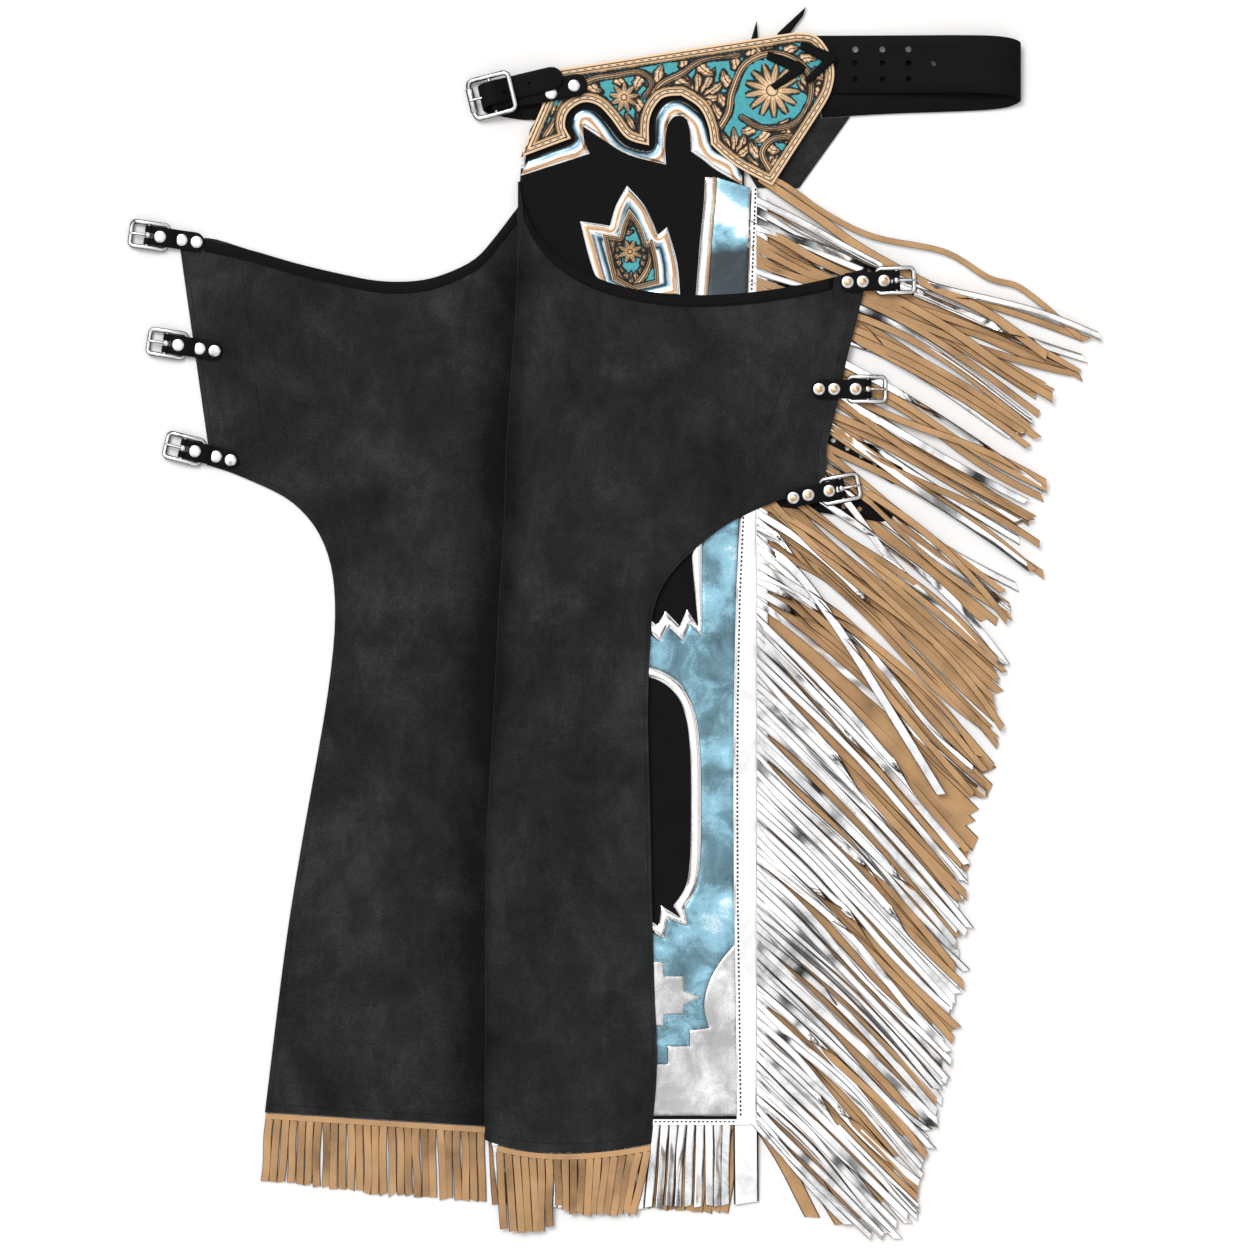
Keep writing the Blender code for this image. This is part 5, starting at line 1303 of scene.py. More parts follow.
def lay_strand(chance, spots, half, heights, wiggle, turned, shares, layers, near, tilt):
    """One strand of a side fringe through chart spots, from its root to its loose tip."""
    t = np.linspace(0, 1, RIBBON_STATIONS) ** 1.3
    run = np.array(smooth(spots, 8))
    gone = np.concatenate([[0], np.cumsum(np.hypot(*np.diff(run, axis=0).T))])
    x, y = (np.interp(t * gone[-1], gone, run[:, k]) for k in (0, 1))
    dx, dy = (run[-1] - run[0]) / math.dist(run[0], run[-1])
    sway = wiggle * (chance.normal() * np.sin(math.pi * t) + 0.5 * chance.normal() * np.sin(2 * math.pi * t)
                     + 0.25 * chance.normal() * np.sin(3 * math.pi * t))
    x, y = x - dy * sway, y + dx * sway
    cover = under_cover(x, y) if near else np.zeros_like(t)
    free = 1 - cover
    height = np.interp(t, HEIGHT_PLACES, heights)
    height = height + chance.integers(0, layers) * 0.85 * soft_step(t, 0.04, 0.2) * free
    waves = chance.uniform(0.6, 1.8)
    roll = tilt * (0.7 * chance.normal() + chance.normal() * np.sin(
        2 * math.pi * (t * waves + chance.uniform()))) * free * soft_step(t, 0.0, 0.15)
    covered = t[cover > 0.5].max() + 0.03 if cover.max() > 0.5 else 0.0
    if chance.random() < turned:
        over = math.pi * chance.choice([-1, 1])
        if covered and (spots[0][1] > 262 or chance.random() < 0.6):
            roll = roll + over
        else:
            start = max(chance.uniform(*shares), covered + chance.uniform(0, 0.2) * (covered > 0))
            width = chance.uniform(0.14, 0.26)
            roll = roll + over * soft_step(t, start, width)
            height = height + 2.6 * np.sin(math.pi * np.clip((t - start) / width, 0, 1)) ** 2
    # a random tone for each strand, and up to two painted streaks along it: painted dark reflection on the
    # foil side, painted shade on the tan side
    tint = np.full(t.shape, chance.uniform(0, 0.25))
    for _ in range(chance.integers(0, 3)):
        swoop = (t - chance.uniform(0, 1)) / chance.uniform(0.02, 0.07)
        tint += chance.uniform(0.2, 0.9) * np.exp(-swoop ** 2)
    tint = np.minimum(tint, 1.0)
    return Strand(chart_points(x, y, height), half * CHART_UNIT * (1 - 0.1 * t), roll,
                  chance.normal(0, 0.3) * MM, chance.choice([-1, 1]) * chance.uniform(1.0, 4.0) * MM, tint,
                  chance.integers(3, 9))


def bundle_strands(chance, bundles, pitch, half, heights, near):
    """Strands that leave the seam side by side, draw together and end in a loose spray."""
    strands = []
    for bundle in bundles:
        count = round((bundle.last - bundle.first) / pitch)
        tips = chance.permutation(count)
        for i in range(count):
            root = bundle.first + (i + 0.5) * (bundle.last - bundle.first) / count
            place = (i + 0.5) / count
            gather = bundle.gather_y + (place * 2 - 1) * bundle.spread + chance.normal(0, 2)
            share = 0.65 * place + 0.35 * (tips[i] + 0.5) / count
            tip = [a + (b - a) * share + chance.normal(0, 3) for a, b in zip(bundle.tip_a, bundle.tip_b)]
            shorter = chance.uniform(0, 0.07)
            tip = [tip[0] - (tip[0] - bundle.gather_x) * shorter, tip[1] - (tip[1] - gather) * shorter]
            root_x = STRIP_ROOT_X + chance.uniform(-2, 3)
            spots = [(root_x, root), (bundle.gather_x + chance.normal(0, 4), gather), tip]
            strands.append(lay_strand(chance, spots, half, heights, 6.5 if near else 2.0, bundle.turned,
                                      (0.02, 0.4), 5 if near else 1, near, 0.34 if near else 0.04))
    return strands


def guide_strands(chance, guides, count, share, heights, wiggle, turned, layers, tilt, near):
    low, high = guides[0].root, guides[-1].root
    cell = (high - low) / count
    strands = []
    for i in range(count):
        root = low + (i + 0.5) * cell
        tip_x, tip_y, sag = [read_between(guides, root, c) for c in ("tip_x", "tip_y", "sag")]
        longer = chance.uniform(-0.045, 0.012)
        tip_x += (tip_x - STRIP_ROOT_X) * longer
        tip_y += (tip_y - root) * longer + chance.normal(0, wiggle * 0.5)
        middle = ((STRIP_ROOT_X + tip_x) / 2, (root + tip_y) / 2 + sag)
        spots = [(STRIP_ROOT_X + chance.uniform(-2, 3), root), middle, (tip_x, tip_y)]
        strands.append(lay_strand(chance, spots, cell * share / 2, heights, wiggle, turned, (0.25, 0.7),
                                  layers, near, tilt))
    return strands


SEAM = [(757, 186), (753, 289), (749, 400), (744.5, 520), (741, 600), (739, 700), (738.5, 800),
        (739, 900), (740.5, 1000), (742, 1118)]


def seam_x(y):
    return np.interp(y, [spot[1] for spot in SEAM], [spot[0] for spot in SEAM])


def make_side_fringes(sizes):
    chance = np.random.default_rng(11)
    binding_y = np.linspace(188, 1123, STRIP_STATIONS)
    left = seam_x(binding_y) - BINDING_REACH
    binding = flat_strand((left + STRIP_OUT_X) / 2, binding_y, BINDING_MID, (STRIP_OUT_X - left) / 2)
    uncut = flat_strand(UNCUT_X, np.linspace(198, 1119, STRIP_STATIONS), UNCUT_HEIGHT, UNCUT_HALF)
    near = [strip._replace(roll=np.full(STRIP_STATIONS, BINDING_TILT), bare=STRIP_STATIONS)
            for strip in (binding, uncut)]
    pitch = (NEAR_BUNDLES[-1].last - NEAR_BUNDLES[0].first) / sizes.upper_strands
    near += bundle_strands(chance, NEAR_BUNDLES, pitch, 4.1 * sizes.strand_share, UPPER_HEIGHTS, True)
    near += guide_strands(chance, NEAR_LOWER, sizes.lower_strands, sizes.strand_share, LOWER_HEIGHTS,
                          3.2, 0.27, 4, 0.11, False)
    for loose in LOOSE_STRANDS:
        x, y = np.array(smooth(loose.points, 5)).T
        count = len(x)
        rise = loose.rise * soft_step(np.linspace(0, 1, count), 0.03, 0.2) * (1 - under_cover(x, y))
        roll = np.full(count, math.pi if loose.turned else 0.05)
        near.append(Strand(chart_points(x, y, NEAR_FRINGE_MID + rise),
                           np.full(count, loose.half) * CHART_UNIT, roll, 0.2 * MM, 2.0 * MM,
                           np.full(count, 0.2)))
    item = make_ribbons("near_side_fringe", near, "bright", "tan")
    stands_for(item, "silver_leather", "near_fringe")

    level = (FAR_HEIGHT,) * len(HEIGHT_PLACES)
    far = [flat_strand((STRIP_IN_X + STRIP_OUT_X) / 2, np.linspace(194, 1112, STRIP_STATIONS), FAR_HEIGHT,
                       (STRIP_OUT_X - STRIP_IN_X) / 2)]
    far += bundle_strands(chance, FAR_BUNDLES, pitch * 1.1, 4.3, level, False)
    far += guide_strands(chance, FAR_SIDE, sizes.far_strands, 0.97, level, 1.2, 0.0, 1, 0.03, False)
    other = make_ribbons("far_side_fringe", far, "tan", "bright")
    stands_for(other, "tan_leather", "far_fringe")
    return item, other


Hem = namedtuple("Hem", "root_x tip_x tip_y")
FAR_FLAP_HEM = [Hem(265.5, 260, 1180), Hem(345, 345, 1190), Hem(410, 412, 1196), Hem(485, 486, 1201)]
FAR_PANEL_HEM = [Hem(488, 492, 1203), Hem(600, 603, 1206), Hem(742, 728, 1212)]
NEAR_PANEL_HEM = [Hem(492, 500, 1205), Hem(653, 646, 1208), Hem(712, 712, 1206), Hem(731, 729, 1204)]
NEAR_FLAP_HEM = [Hem(496, 500, 1228), Hem(520, 526, 1232), Hem(547, 547, 1231), Hem(556, 558, 1204),
                 Hem(574, 574, 1214), Hem(651, 636, 1213)]
NEAR_PANEL_LOW_Y = 1139.0
HEM_STATIONS = 12
HEM_STRIP_STATIONS = 24
HEM_STRIP_GAP = 0.6  # chart units from the hem to its strip
HEM_STRAND_SHARE = 0.99
CORNER_X, CORNER_TIP_Y, CORNER_HALF = 745.7, 1202.5, 12.4  # the wide strand at the panel's corner


def far_hem_y(x):
    return np.interp(x, [p[0] for p in FAR_HEM], [p[1] for p in FAR_HEM])


def near_hem_y(x):
    return PANEL_HEM_Y + (NEAR_PANEL_LOW_Y - PANEL_HEM_Y) * np.clip((640 - x) / (640 - 494), 0, 1)


def hem_strands(chance, guides, count, root_y, root_height, heights, roll_spread, dark=1.0):
    """Strands that hang from a hem, with the heights of their root, middle and tip."""
    low, high = guides[0].root_x, guides[-1].root_x
    cell = (high - low) / count
    t = np.linspace(0, 1, HEM_STATIONS)
    strands = []
    for i in range(count):
        root = low + (i + 0.5) * cell
        tip_x = read_between(guides, root, "tip_x") + chance.normal(0, 0.7)
        tip_y = read_between(guides, root, "tip_y") + chance.uniform(-1.5, 1.5)
        start_y = root_y(root) + HEM_STRIP - 0.3
        sway = chance.normal(0, 0.5) * np.sin(math.pi * t) + chance.normal(0, 0.3) * np.sin(2 * math.pi * t)
        x = root + (tip_x - root) * t + sway
        y = start_y + (tip_y - start_y) * t
        levels = [root_height(root), *heights]
        height = np.interp(t, np.linspace(0, 1, len(levels)), levels)
        height = height + chance.uniform(0, 0.5) * soft_step(t, 0, 0.4)
        roll = chance.normal(0, roll_spread) * soft_step(t, 0, 0.5) + 0.5 * chance.normal(
            0, roll_spread) * np.sin(2 * math.pi * t)
        shade = chance.uniform(0, 1) + 0.5 * chance.normal() * np.sin(3 * t + chance.uniform(0, 6))
        strands.append(Strand(chart_points(x, y, height),
                              np.full(HEM_STATIONS, cell * HEM_STRAND_SHARE / 2) * CHART_UNIT, roll,
                              chance.normal(0, 0.25) * MM, chance.normal(0, 0.9) * MM,
                              np.clip(shade, 0, 1) * dark))
    return strands


def hem_strip(xs, y_at, heights):
    half = (HEM_STRIP - HEM_STRIP_GAP) / 2
    return flat_strand(xs, y_at(xs) + HEM_STRIP_GAP + half, heights, half)


def make_hem_fringes(sizes):
    chance = np.random.default_rng(23)
    made = []
    for name, guides, count in (("hem_fringe_far_flap", FAR_FLAP_HEM, 27),
                                ("hem_fringe_far_panel", FAR_PANEL_HEM, 26)):
        xs = np.linspace(guides[0].root_x, guides[-1].root_x, HEM_STRIP_STATIONS)
        strands = [hem_strip(xs, far_hem_y, FAR_HEIGHT)]
        strands += hem_strands(chance, guides, count, far_hem_y, lambda x: FAR_HEIGHT,
                               (FAR_HEIGHT, FAR_HEIGHT), 0.03)
        item = make_ribbons(name + "_strands", strands, "tan", "bright")
        made.append(stands_for(item, "tan_leather", name))
    xs = np.linspace(492, 758, HEM_STRIP_STATIONS)
    strands = [hem_strip(xs, near_hem_y, NEAR_PANEL_MID)]
    strands += hem_strands(chance, NEAR_PANEL_HEM, 27, near_hem_y, lambda x: NEAR_PANEL_MID,
                           (2.8, 2.6), 0.16, 0.4)
    t = np.linspace(0, 1, HEM_STATIONS)
    corner_top = near_hem_y(745) + HEM_STRIP
    corner = flat_strand(CORNER_X + 0.6 * t, corner_top + (CORNER_TIP_Y - corner_top) * t, 3.0 - 0.4 * t,
                         CORNER_HALF)
    strands.append(corner._replace(roll=0.05 * np.sin(5 * t), curl=0.3 * MM, slant=-1.4 * MM))
    item = make_ribbons("hem_fringe_near_panel_strands", strands, "bright", "tan")
    made.append(stands_for(item, "silver_leather", "hem_fringe_near_panel"))

    hem_row = FLAP_ROWS[-1]
    section_x, section_y = flap_section(hem_row)

    def flap_hem_y(x):
        return np.interp(x, section_x, section_y)

    xs = np.linspace(497, 650.5, HEM_STRIP_STATIONS)
    heights = flap_points(hem_row, xs, 0, sizes.crease_share)[:, 2] / MM
    strands = [hem_strip(xs, flap_hem_y, heights)]
    strands += hem_strands(chance, NEAR_FLAP_HEM, 19, flap_hem_y, lambda x: np.interp(x, xs, heights),
                           (6.6, 5.2), 0.06)
    item = make_ribbons("hem_fringe_near_flap_strands", strands, "tan", "bright")
    made.append(stands_for(item, "tan_leather", "hem_fringe_near_flap"))
    return made


# ---- straps and wire
Station = namedtuple("Station", "along height half shift")


def strap_ring(half, thickness, layers):
    """Cross-section of a strap: rounded corners, and a fine line where two layers meet."""
    corner = min(0.45, half * 0.6)
    top = thickness / 2
    across = np.linspace(-(half - corner), half - corner, 6)
    ring = [(x, top) for x in across]
    ring += [(half - corner * 0.3, top - corner * 0.3), (half, top - corner)]
    if layers == 2:
        ring += [(half, 0.12), (half - min(0.25, half * 0.3), 0.0), (half, -0.12)]
    ring += [(half, corner - top), (half - corner * 0.3, corner * 0.3 - top)]
    under = [(-x, -z) for x, z in ring]
    return ring + under


def strap_shape(stations, thickness, layers=1):
    """Points in mm and faces of a strap lofted along its side view."""
    points, faces = [], []
    last = len(stations) - 1
    for i, (along, height, half, shift) in enumerate(stations):
        before, after = stations[max(i - 1, 0)], stations[min(i + 1, last)]
        direction = Vector((after[0] - before[0], 0, after[1] - before[1])).normalized()
        normal = Vector((-direction.z, 0, direction.x))
        ring = strap_ring(half, thickness, layers)
        points += [Vector((along, shift, height)) + normal * z + Vector((0, -x, 0)) for x, z in ring]
    size = len(ring)
    for i in range(last):
        faces += joined_rings(size * i, size * (i + 1), size)
    return points, faces + end_faces(0, size * last, size)


def fine_stations(run, half, steps):
    """Close stations of a strap of one width, from rows of along, height and shift in mm."""
    return [Station(*row) for row in smooth([(along, height, half, shift) for along, height, shift in run],
                                            steps)]


def round_end(stations, direction=1, steps=6):
    """Ends a run of stations in a half circle of the strap's own half width."""
    end = stations[-1]
    rounded = [end._replace(along=end.along + direction * end.half * math.sin(a),
                            half=max(0.5, end.half * math.cos(a)))
               for a in np.linspace(0, math.pi / 2, steps + 1)[1:]]
    return stations + rounded


def tube_shape(centres, radii, sides, closed=False):
    """Points and faces of a wire through the given centres, in mm."""
    count = len(centres)
    points, faces = [], []
    for i, centre in enumerate(centres):
        before = centres[i - 1] if closed or i else centres[i]
        after = centres[(i + 1) % count] if closed or i < count - 1 else centres[i]
        tangent = (after - before).normalized()
        reference = Vector((0, 0, 1)) if abs(tangent.z) < 0.9 else Vector((1, 0, 0))
        across = reference.cross(tangent).normalized()
        up = tangent.cross(across)
        for k in range(sides):
            angle = 2 * math.pi * k / sides
            points.append(centre + (across * math.cos(angle) + up * math.sin(angle)) * radii[i])
    for i in range(count if closed else count - 1):
        faces += joined_rings(i * sides, (i + 1) % count * sides, sides)
    if not closed:
        faces += end_faces(0, (count - 1) * sides, sides)
    return points, faces


def rod_shape(low, high, height, radius, sides):
    """A straight round rod that lies across a strap, or the bore for one."""
    return tube_shape([Vector((0, y, height)) for y in (low, high)], [radius, radius], sides)


def capsule_shape(start, end, radius, sides=14, bulb=1.0):
    """A bar with rounded ends; a bulb above 1 swells the ends into small knobs."""
    direction = (end - start).normalized()
    centres, radii = [], []
    for angle in np.linspace(math.pi / 2, 0, 5)[:-1]:
        centres.append(start - direction * radius * bulb * (math.sin(angle) - 0.5))
        radii.append(max(0.05, radius * bulb * math.cos(angle)))
    centres += [start + direction * radius * bulb * 0.7, end - direction * radius * bulb * 0.7]
    radii += [radius, radius]
    for angle in np.linspace(0, math.pi / 2, 5)[1:]:
        centres.append(end + direction * radius * bulb * (math.sin(angle) - 0.5))
        radii.append(max(0.05, radius * bulb * math.cos(angle)))
    return tube_shape(centres, radii, sides)


def eye_shape(inner, outer, half, height, sides=24):
    """A prong's eye: a rounded band round a bar that lies across the strap."""
    middle = (inner + outer) / 2
    points, faces = [], []
    profile = [(-1, -0.6), (-0.8, -1), (0.8, -1), (1, -0.6), (1, 0.6), (0.8, 1), (-0.8, 1), (-1, 0.6)]
    for angle in np.linspace(0, 2 * math.pi, sides, endpoint=False):
        centre = Vector((middle * math.cos(angle), 0, height + middle * math.sin(angle)))
        out = Vector((centre.x, 0, centre.z - height)).normalized()
        points += [centre + Vector((0, half * a, 0)) + out * (outer - inner) / 2 * b for a, b in profile]
    for i in range(sides):
        faces += joined_rings(i * len(profile), (i + 1) % sides * len(profile), len(profile))
    return points, faces


def prong_shape(start, tip, arch, thick, taper, point, eye):
    """A prong from its eye to its tip, a little arched and tapered."""
    places = np.linspace(0, 1, 10)
    shank = [start.lerp(tip, t) + Vector((0, 0, arch * math.sin(math.pi * t))) for t in places]
    return merge_shapes(tube_shape(shank, [thick - taper * t for t in places[:-1]] + [point], 12), eye)


def merge_shapes(*shapes):
    points, faces = [], []
    for shape_points, shape_faces in shapes:
        start = len(points)
        points += shape_points
        faces += [[start + corner for corner in face] for face in shape_faces]
    return points, faces


DARK_BELOW, DARK_OVER = 0.8, 0.3  # shares of straight up, where the painted shade on metal's sides starts


def darken_sides(item):
    """Keeps painted shade for metal where it turns down at its sides, by how far each point faces away from
    straight up.
    """
    facing = np.empty(len(item.data.vertices) * 3, dtype=np.float32)
    item.data.vertex_normals.foreach_get("vector", facing)
    keep_values(item.data, "recess", np.clip((DARK_BELOW - facing[2::3]) / DARK_OVER, 0, 1))
    return item


def placed(name, shape, finish_name, origin, turn):
    """A shape in mm about a buckle's own middle, turned and carried to its place."""
    points, faces = moved_shape(shape, origin, turn)
    return make_piece(name, points, faces, [finish_name])


def set_metal(name, node, shape, origin, turn, body=ROOT):
    item = darken_sides(placed(name, shape, "nickel", origin, turn))
    stands_for(item, "buckle_metal", node, body=body)


def cut_away(item, *shapes):
    """Cuts the shapes, in metres, out of an item."""
    for points, faces in shapes:
        mesh = bpy.data.meshes.new("cutter")
        mesh.from_pydata([tuple(p) for p in points], [], faces)
        face_outward(mesh)
        cutter = new_item("cutter", mesh)
        modifier = item.modifiers.new("cut", "BOOLEAN")
        modifier.operation = "DIFFERENCE"
        modifier.solver = "EXACT"
        modifier.object = cutter
        bake_modifiers(item)
        bpy.data.objects.remove(cutter)
        bpy.data.meshes.remove(mesh)
    item.data.shade_smooth()
    item.data.set_sharp_from_angle(angle=math.radians(CUT_SHARP))


CUT_SHARP = 40  # degrees


def make_strap(name, node, shape, cutters, origin, turn):
    """A strap of smooth leather with its slot and its holes cut."""
    item = placed(name, shape, "grain", origin, turn)
    cut_away(item, *(moved_shape(cutter, origin, turn) for cutter in cutters))
    stands_for(item, "black_leather", *node)


def box_shape(low, high):
    corners = [Vector((x, y, z)) for x in (low[0], high[0]) for y in (low[1], high[1])
               for z in (low[2], high[2])]
    faces = [[0, 1, 3, 2], [4, 6, 7, 5], [0, 4, 5, 1], [2, 3, 7, 6], [0, 2, 6, 4], [1, 5, 7, 3]]
    return corners, faces


def moved_shape(shape, origin, turn):
    matrix = Matrix.Translation(origin) @ Matrix.Rotation(math.radians(turn), 4, "Z")
    return [matrix @ (p * MM) for p in shape[0]], shape[1]


BELT_HALF = 57.5 * CHART_UNIT / MM / 2
BELT_LEATHER = 2.2
BELT_START = (821.5, 84.5)
BELT_RUN = [  # along, height and shift: round the soft fold to the upper run
    (0, 1.25, -4.1), (56, 1.25, -0.7), (110, 1.3, 1.2), (140, 1.4, 2.6), (158, 2.0, 4.6),
    (167, 4.0, 7.6), (170, 7.2, 10.2), (167, 10.4, 12.8), (158, 12.0, 15.0), (142, 12.2, 16.4),
    (110, 10.0, 16.9), (70, 7.0, 16.9), (30, 5.0, 16.9), (6, 3.9, 16.9), (-18, 3.9, 16.9)]
BELT_HOLES = [(x, y) for x in (855, 882, 908) for y in (50, 64, 80)] + [(933, 64)]
THROUGH_HOLES = [(882, 50), (908, 50), (933, 64)]
HOLE_RADIUS = 2.6  # mm


def belt_stations():
    return fine_stations(BELT_RUN, BELT_HALF, 7)


def make_wide_belt():
    item = placed("wide_belt_leather", strap_shape(belt_stations(), BELT_LEATHER), "grain",
                  chart(*BELT_START), 0)
    cutters = []
    for x, y in BELT_HOLES:
        foot = -2.0 if (x, y) in THROUGH_HOLES else 3.0
        top = chart(x, y, 20.0) / MM
        bottom = Vector((top.x, top.y, foot))
        points, faces = tube_shape([bottom, top], [HOLE_RADIUS] * 2, 18)
        cutters.append(([p * MM for p in points], faces))
    cut_away(item, *cutters)
    stands_for(item, "black_leather", "wide_belt")


WAIST_CENTRE = (492.8, 96.0)
WAIST_TURN = 13.5
WAIST_WIRE = 2.2
WAIST_HALF = 16.4
TIP_BAR, KEEPER_BAR = -18.5, 17.0
TIP_BAR_HEIGHT, KEEPER_HEIGHT = 3.6, 12.2
ROLLER_RADIUS = 3.2
ROLLER_HALF = 10.5
WAIST_CORNER = 4.5
WAIST_BAR_RADIUS = 1.5
TAB_PLAY = 0.35  # mm from a bar to the strap round it
PLAY = 0.25  # and to metal that turns on it
RIVET_RADIUS = 5.2
RIVET_RISE = 0.9
RIVET_MIDDLE = 0.74  # share of the cap's radius
RIVET_MIDDLE_RISE = 1.3
WAIST_RIVETS = [(69.8, -8.4), (49.1, -10.2)]
WAIST_STRAP_HALF = 9.9
WAIST_TAB_LEATHER, WAIST_TAB_LEVEL = 2.4, 9.9
TAB_RUN = [  # along, height and shift, in mm
    (0, 8.1, -3.6), (8, 7.0, -4.0), (17, 6.3, -4.3), (29, 8.2, -5.6), (37, WAIST_TAB_LEVEL, -6.3),
    (71.5, WAIST_TAB_LEVEL, -8.6)]
BILLET_RUN = [
    (39, 1.4, -20.5), (30, 1.2, -18.5), (20, 1.2, -16.0), (6, 1.25, -10.5), (-4, 1.9, -5.5),
    (-8.6, 4.2, -3.0), (-10.0, 7.6, -0.5), (-8.2, 10.8, 1.2), (-3.5, 12.7, 2.0), (2.5, 12.7, 2.2),
    (10, 10.3, 2.3), (17, 8.9, 2.3), (29, 11.4, 2.2), (40, 13.5, 2.0), (52.5, 13.5, 1.9)]
BILLET_HOLES = [(10.5, -0.2), (33, 2.2)]  # along and across, mm


def frame_line(front, rear, half, corner, height_at, straight=6):
    """Centre line of a rounded buckle frame; height_at gives the height at a place along it."""
    def on_arc(u, v, degrees):
        turned = math.radians(degrees)
        return u + corner * math.cos(turned), v + corner * math.sin(turned)

    centres = []
    corners = [(front - corner, half - corner, 0), (rear + corner, half - corner, 90),
               (rear + corner, -half + corner, 180), (front - corner, -half + corner, 270)]
    for number, (u, v, start) in enumerate(corners):
        arc = [on_arc(u, v, start + a) for a in np.linspace(0, 90, 7)]
        last, end = arc[-1], on_arc(*corners[(number + 1) % 4])
        line = [(last[0] + (end[0] - last[0]) * s, last[1] + (end[1] - last[1]) * s)
                for s in np.linspace(0, 1, straight + 1)[1:-1]]
        centres += [Vector((a, b, height_at(a))) for a, b in arc + line]
    return centres


def framed(line, wire, sides, bar):
    """A buckle's frame of bent wire, with the bar that crosses it."""
    return merge_shapes(tube_shape(line, [wire] * len(line), sides, closed=True), bar)


def waist_frame_height(along):
    return float(np.interp(along, [TIP_BAR, KEEPER_BAR], [TIP_BAR_HEIGHT, KEEPER_HEIGHT]))


def roller_shape(half, radius, bore, along, height, sides=20):
    """A sleeve with rounded ends that turns on the frame's wire."""
    sleeve = [(-half, 0.86), (-half + 0.5, 1.0), (half - 0.5, 1.0), (half, 0.86)]
    rings = [(y, radius * share) for y, share in sleeve] + [(y, bore) for y, _ in reversed(sleeve)]
    points = [Vector((along, y, height)) + Vector((math.cos(a), 0, math.sin(a))) * size
              for y, size in rings for a in np.linspace(0, 2 * math.pi, sides, endpoint=False)]
    count = len(rings)
    return points, [face for i in range(count)
                    for face in joined_rings(i * sides, (i + 1) % count * sides, sides)]


def make_waist_buckle():
    """Roller buckle, fastened: its frame, roller and prong, the tab and the billet through it."""
    place = chart(*WAIST_CENTRE), WAIST_TURN
    bar_height = waist_frame_height(0)
    line = frame_line(KEEPER_BAR, TIP_BAR, WAIST_HALF, WAIST_CORNER, waist_frame_height)
    bar = capsule_shape(Vector((0, -WAIST_HALF, bar_height)), Vector((0, WAIST_HALF, bar_height)),
                        WAIST_BAR_RADIUS)
    set_metal("waist_frame_wire", "waist_frame", framed(line, WAIST_WIRE, 16, bar), *place)
    set_metal("waist_roller_sleeve", "waist_roller", roller_shape(
        ROLLER_HALF, ROLLER_RADIUS, WAIST_WIRE + PLAY, TIP_BAR, TIP_BAR_HEIGHT), *place)
    start, tip = Vector((-2.3, 0, bar_height + 0.5)), Vector((TIP_BAR - ROLLER_RADIUS + 0.4, 0, 8.5))
    eye = eye_shape(WAIST_BAR_RADIUS + PLAY, WAIST_BAR_RADIUS + 1.4, 1.8, bar_height)
    set_metal("waist_prong_pin", "waist_prong", prong_shape(start, tip, 0.5, 1.3, 0.25, 0.5, eye), *place)

    cutters = [rod_shape(-18, 18, bar_height, WAIST_BAR_RADIUS + TAB_PLAY, 16),
               box_shape((-5, -2.3, bar_height - 5), (4.5, 2.3, bar_height + 5))]
    run = round_end(fine_stations(TAB_RUN, WAIST_STRAP_HALF, 5))
    make_strap("waist_tab_leather", ["waist_tab"], strap_shape(run, WAIST_TAB_LEATHER, 2), cutters, *place)
    make_strap("waist_tab_loop", [], rod_shape(-13.4, 6.2, bar_height, 3.0, 20), cutters, *place)

    run = round_end(fine_stations(BILLET_RUN, WAIST_STRAP_HALF, 5))
    cutters = [box_shape((-14, -2.0, 6.6), (-6.6, 2.0, 10.8))]
    cutters += [tube_shape([Vector((along, across, 6.5)), Vector((along, across, 20))], [1.7, 1.7], 14)
                for along, across in BILLET_HOLES]
    make_strap("waist_billet_leather", ["waist_billet"], strap_shape(run, 2.0), cutters, *place)


TAB_LEATHER = 2.8
LegBuckle = namedtuple("LegBuckle", "name bar_x bar_y turn bar_height flap_height")
BUCKLES = [  # turn is the angle of the strap's free direction from +X
    LegBuckle("left_top", 148.5, 235.5, 172.0, 5.7, 3.5),
    LegBuckle("left_middle", 166.5, 343.5, 171.0, 5.7, 3.5),
    LegBuckle("left_low", 183.5, 448.5, 166.0, 5.7, 3.5),
    LegBuckle("right_top", 896.0, 281.0, 2.0, 10.2, 10.2),
    LegBuckle("right_middle", 867.5, 389.5, 0.0, 10.2, 10.2),
    LegBuckle("right_low", 841.0, 488.8, 11.0, 10.2, 10.2)]
TAB_HALF = 8.2
TAB_TAIL = 48.5
TAB_BEND_START, TAB_BEND_END = -20.5, -27.5
RIVET_PLACES = (-10.5, -29.0, -42.0)
WIRE = 2.0
BAR_RADIUS = 1.5
FRAME_FRONT, FRAME_REAR, FRAME_HALF = 15.0, -16.5, 10.5
FRAME_CORNER = 3.6
FRAME_DROP = 3.2
LOOP_RADIUS = BAR_RADIUS + 0.3 + 1.3
PRONG_HALF = 1.7
PRONG_RADIUS = 1.1
PRONG_EYE = 1.3


def arch(along):
    reach = FRAME_FRONT if along > 0 else FRAME_REAR
    return -FRAME_DROP * (along / reach) ** 2


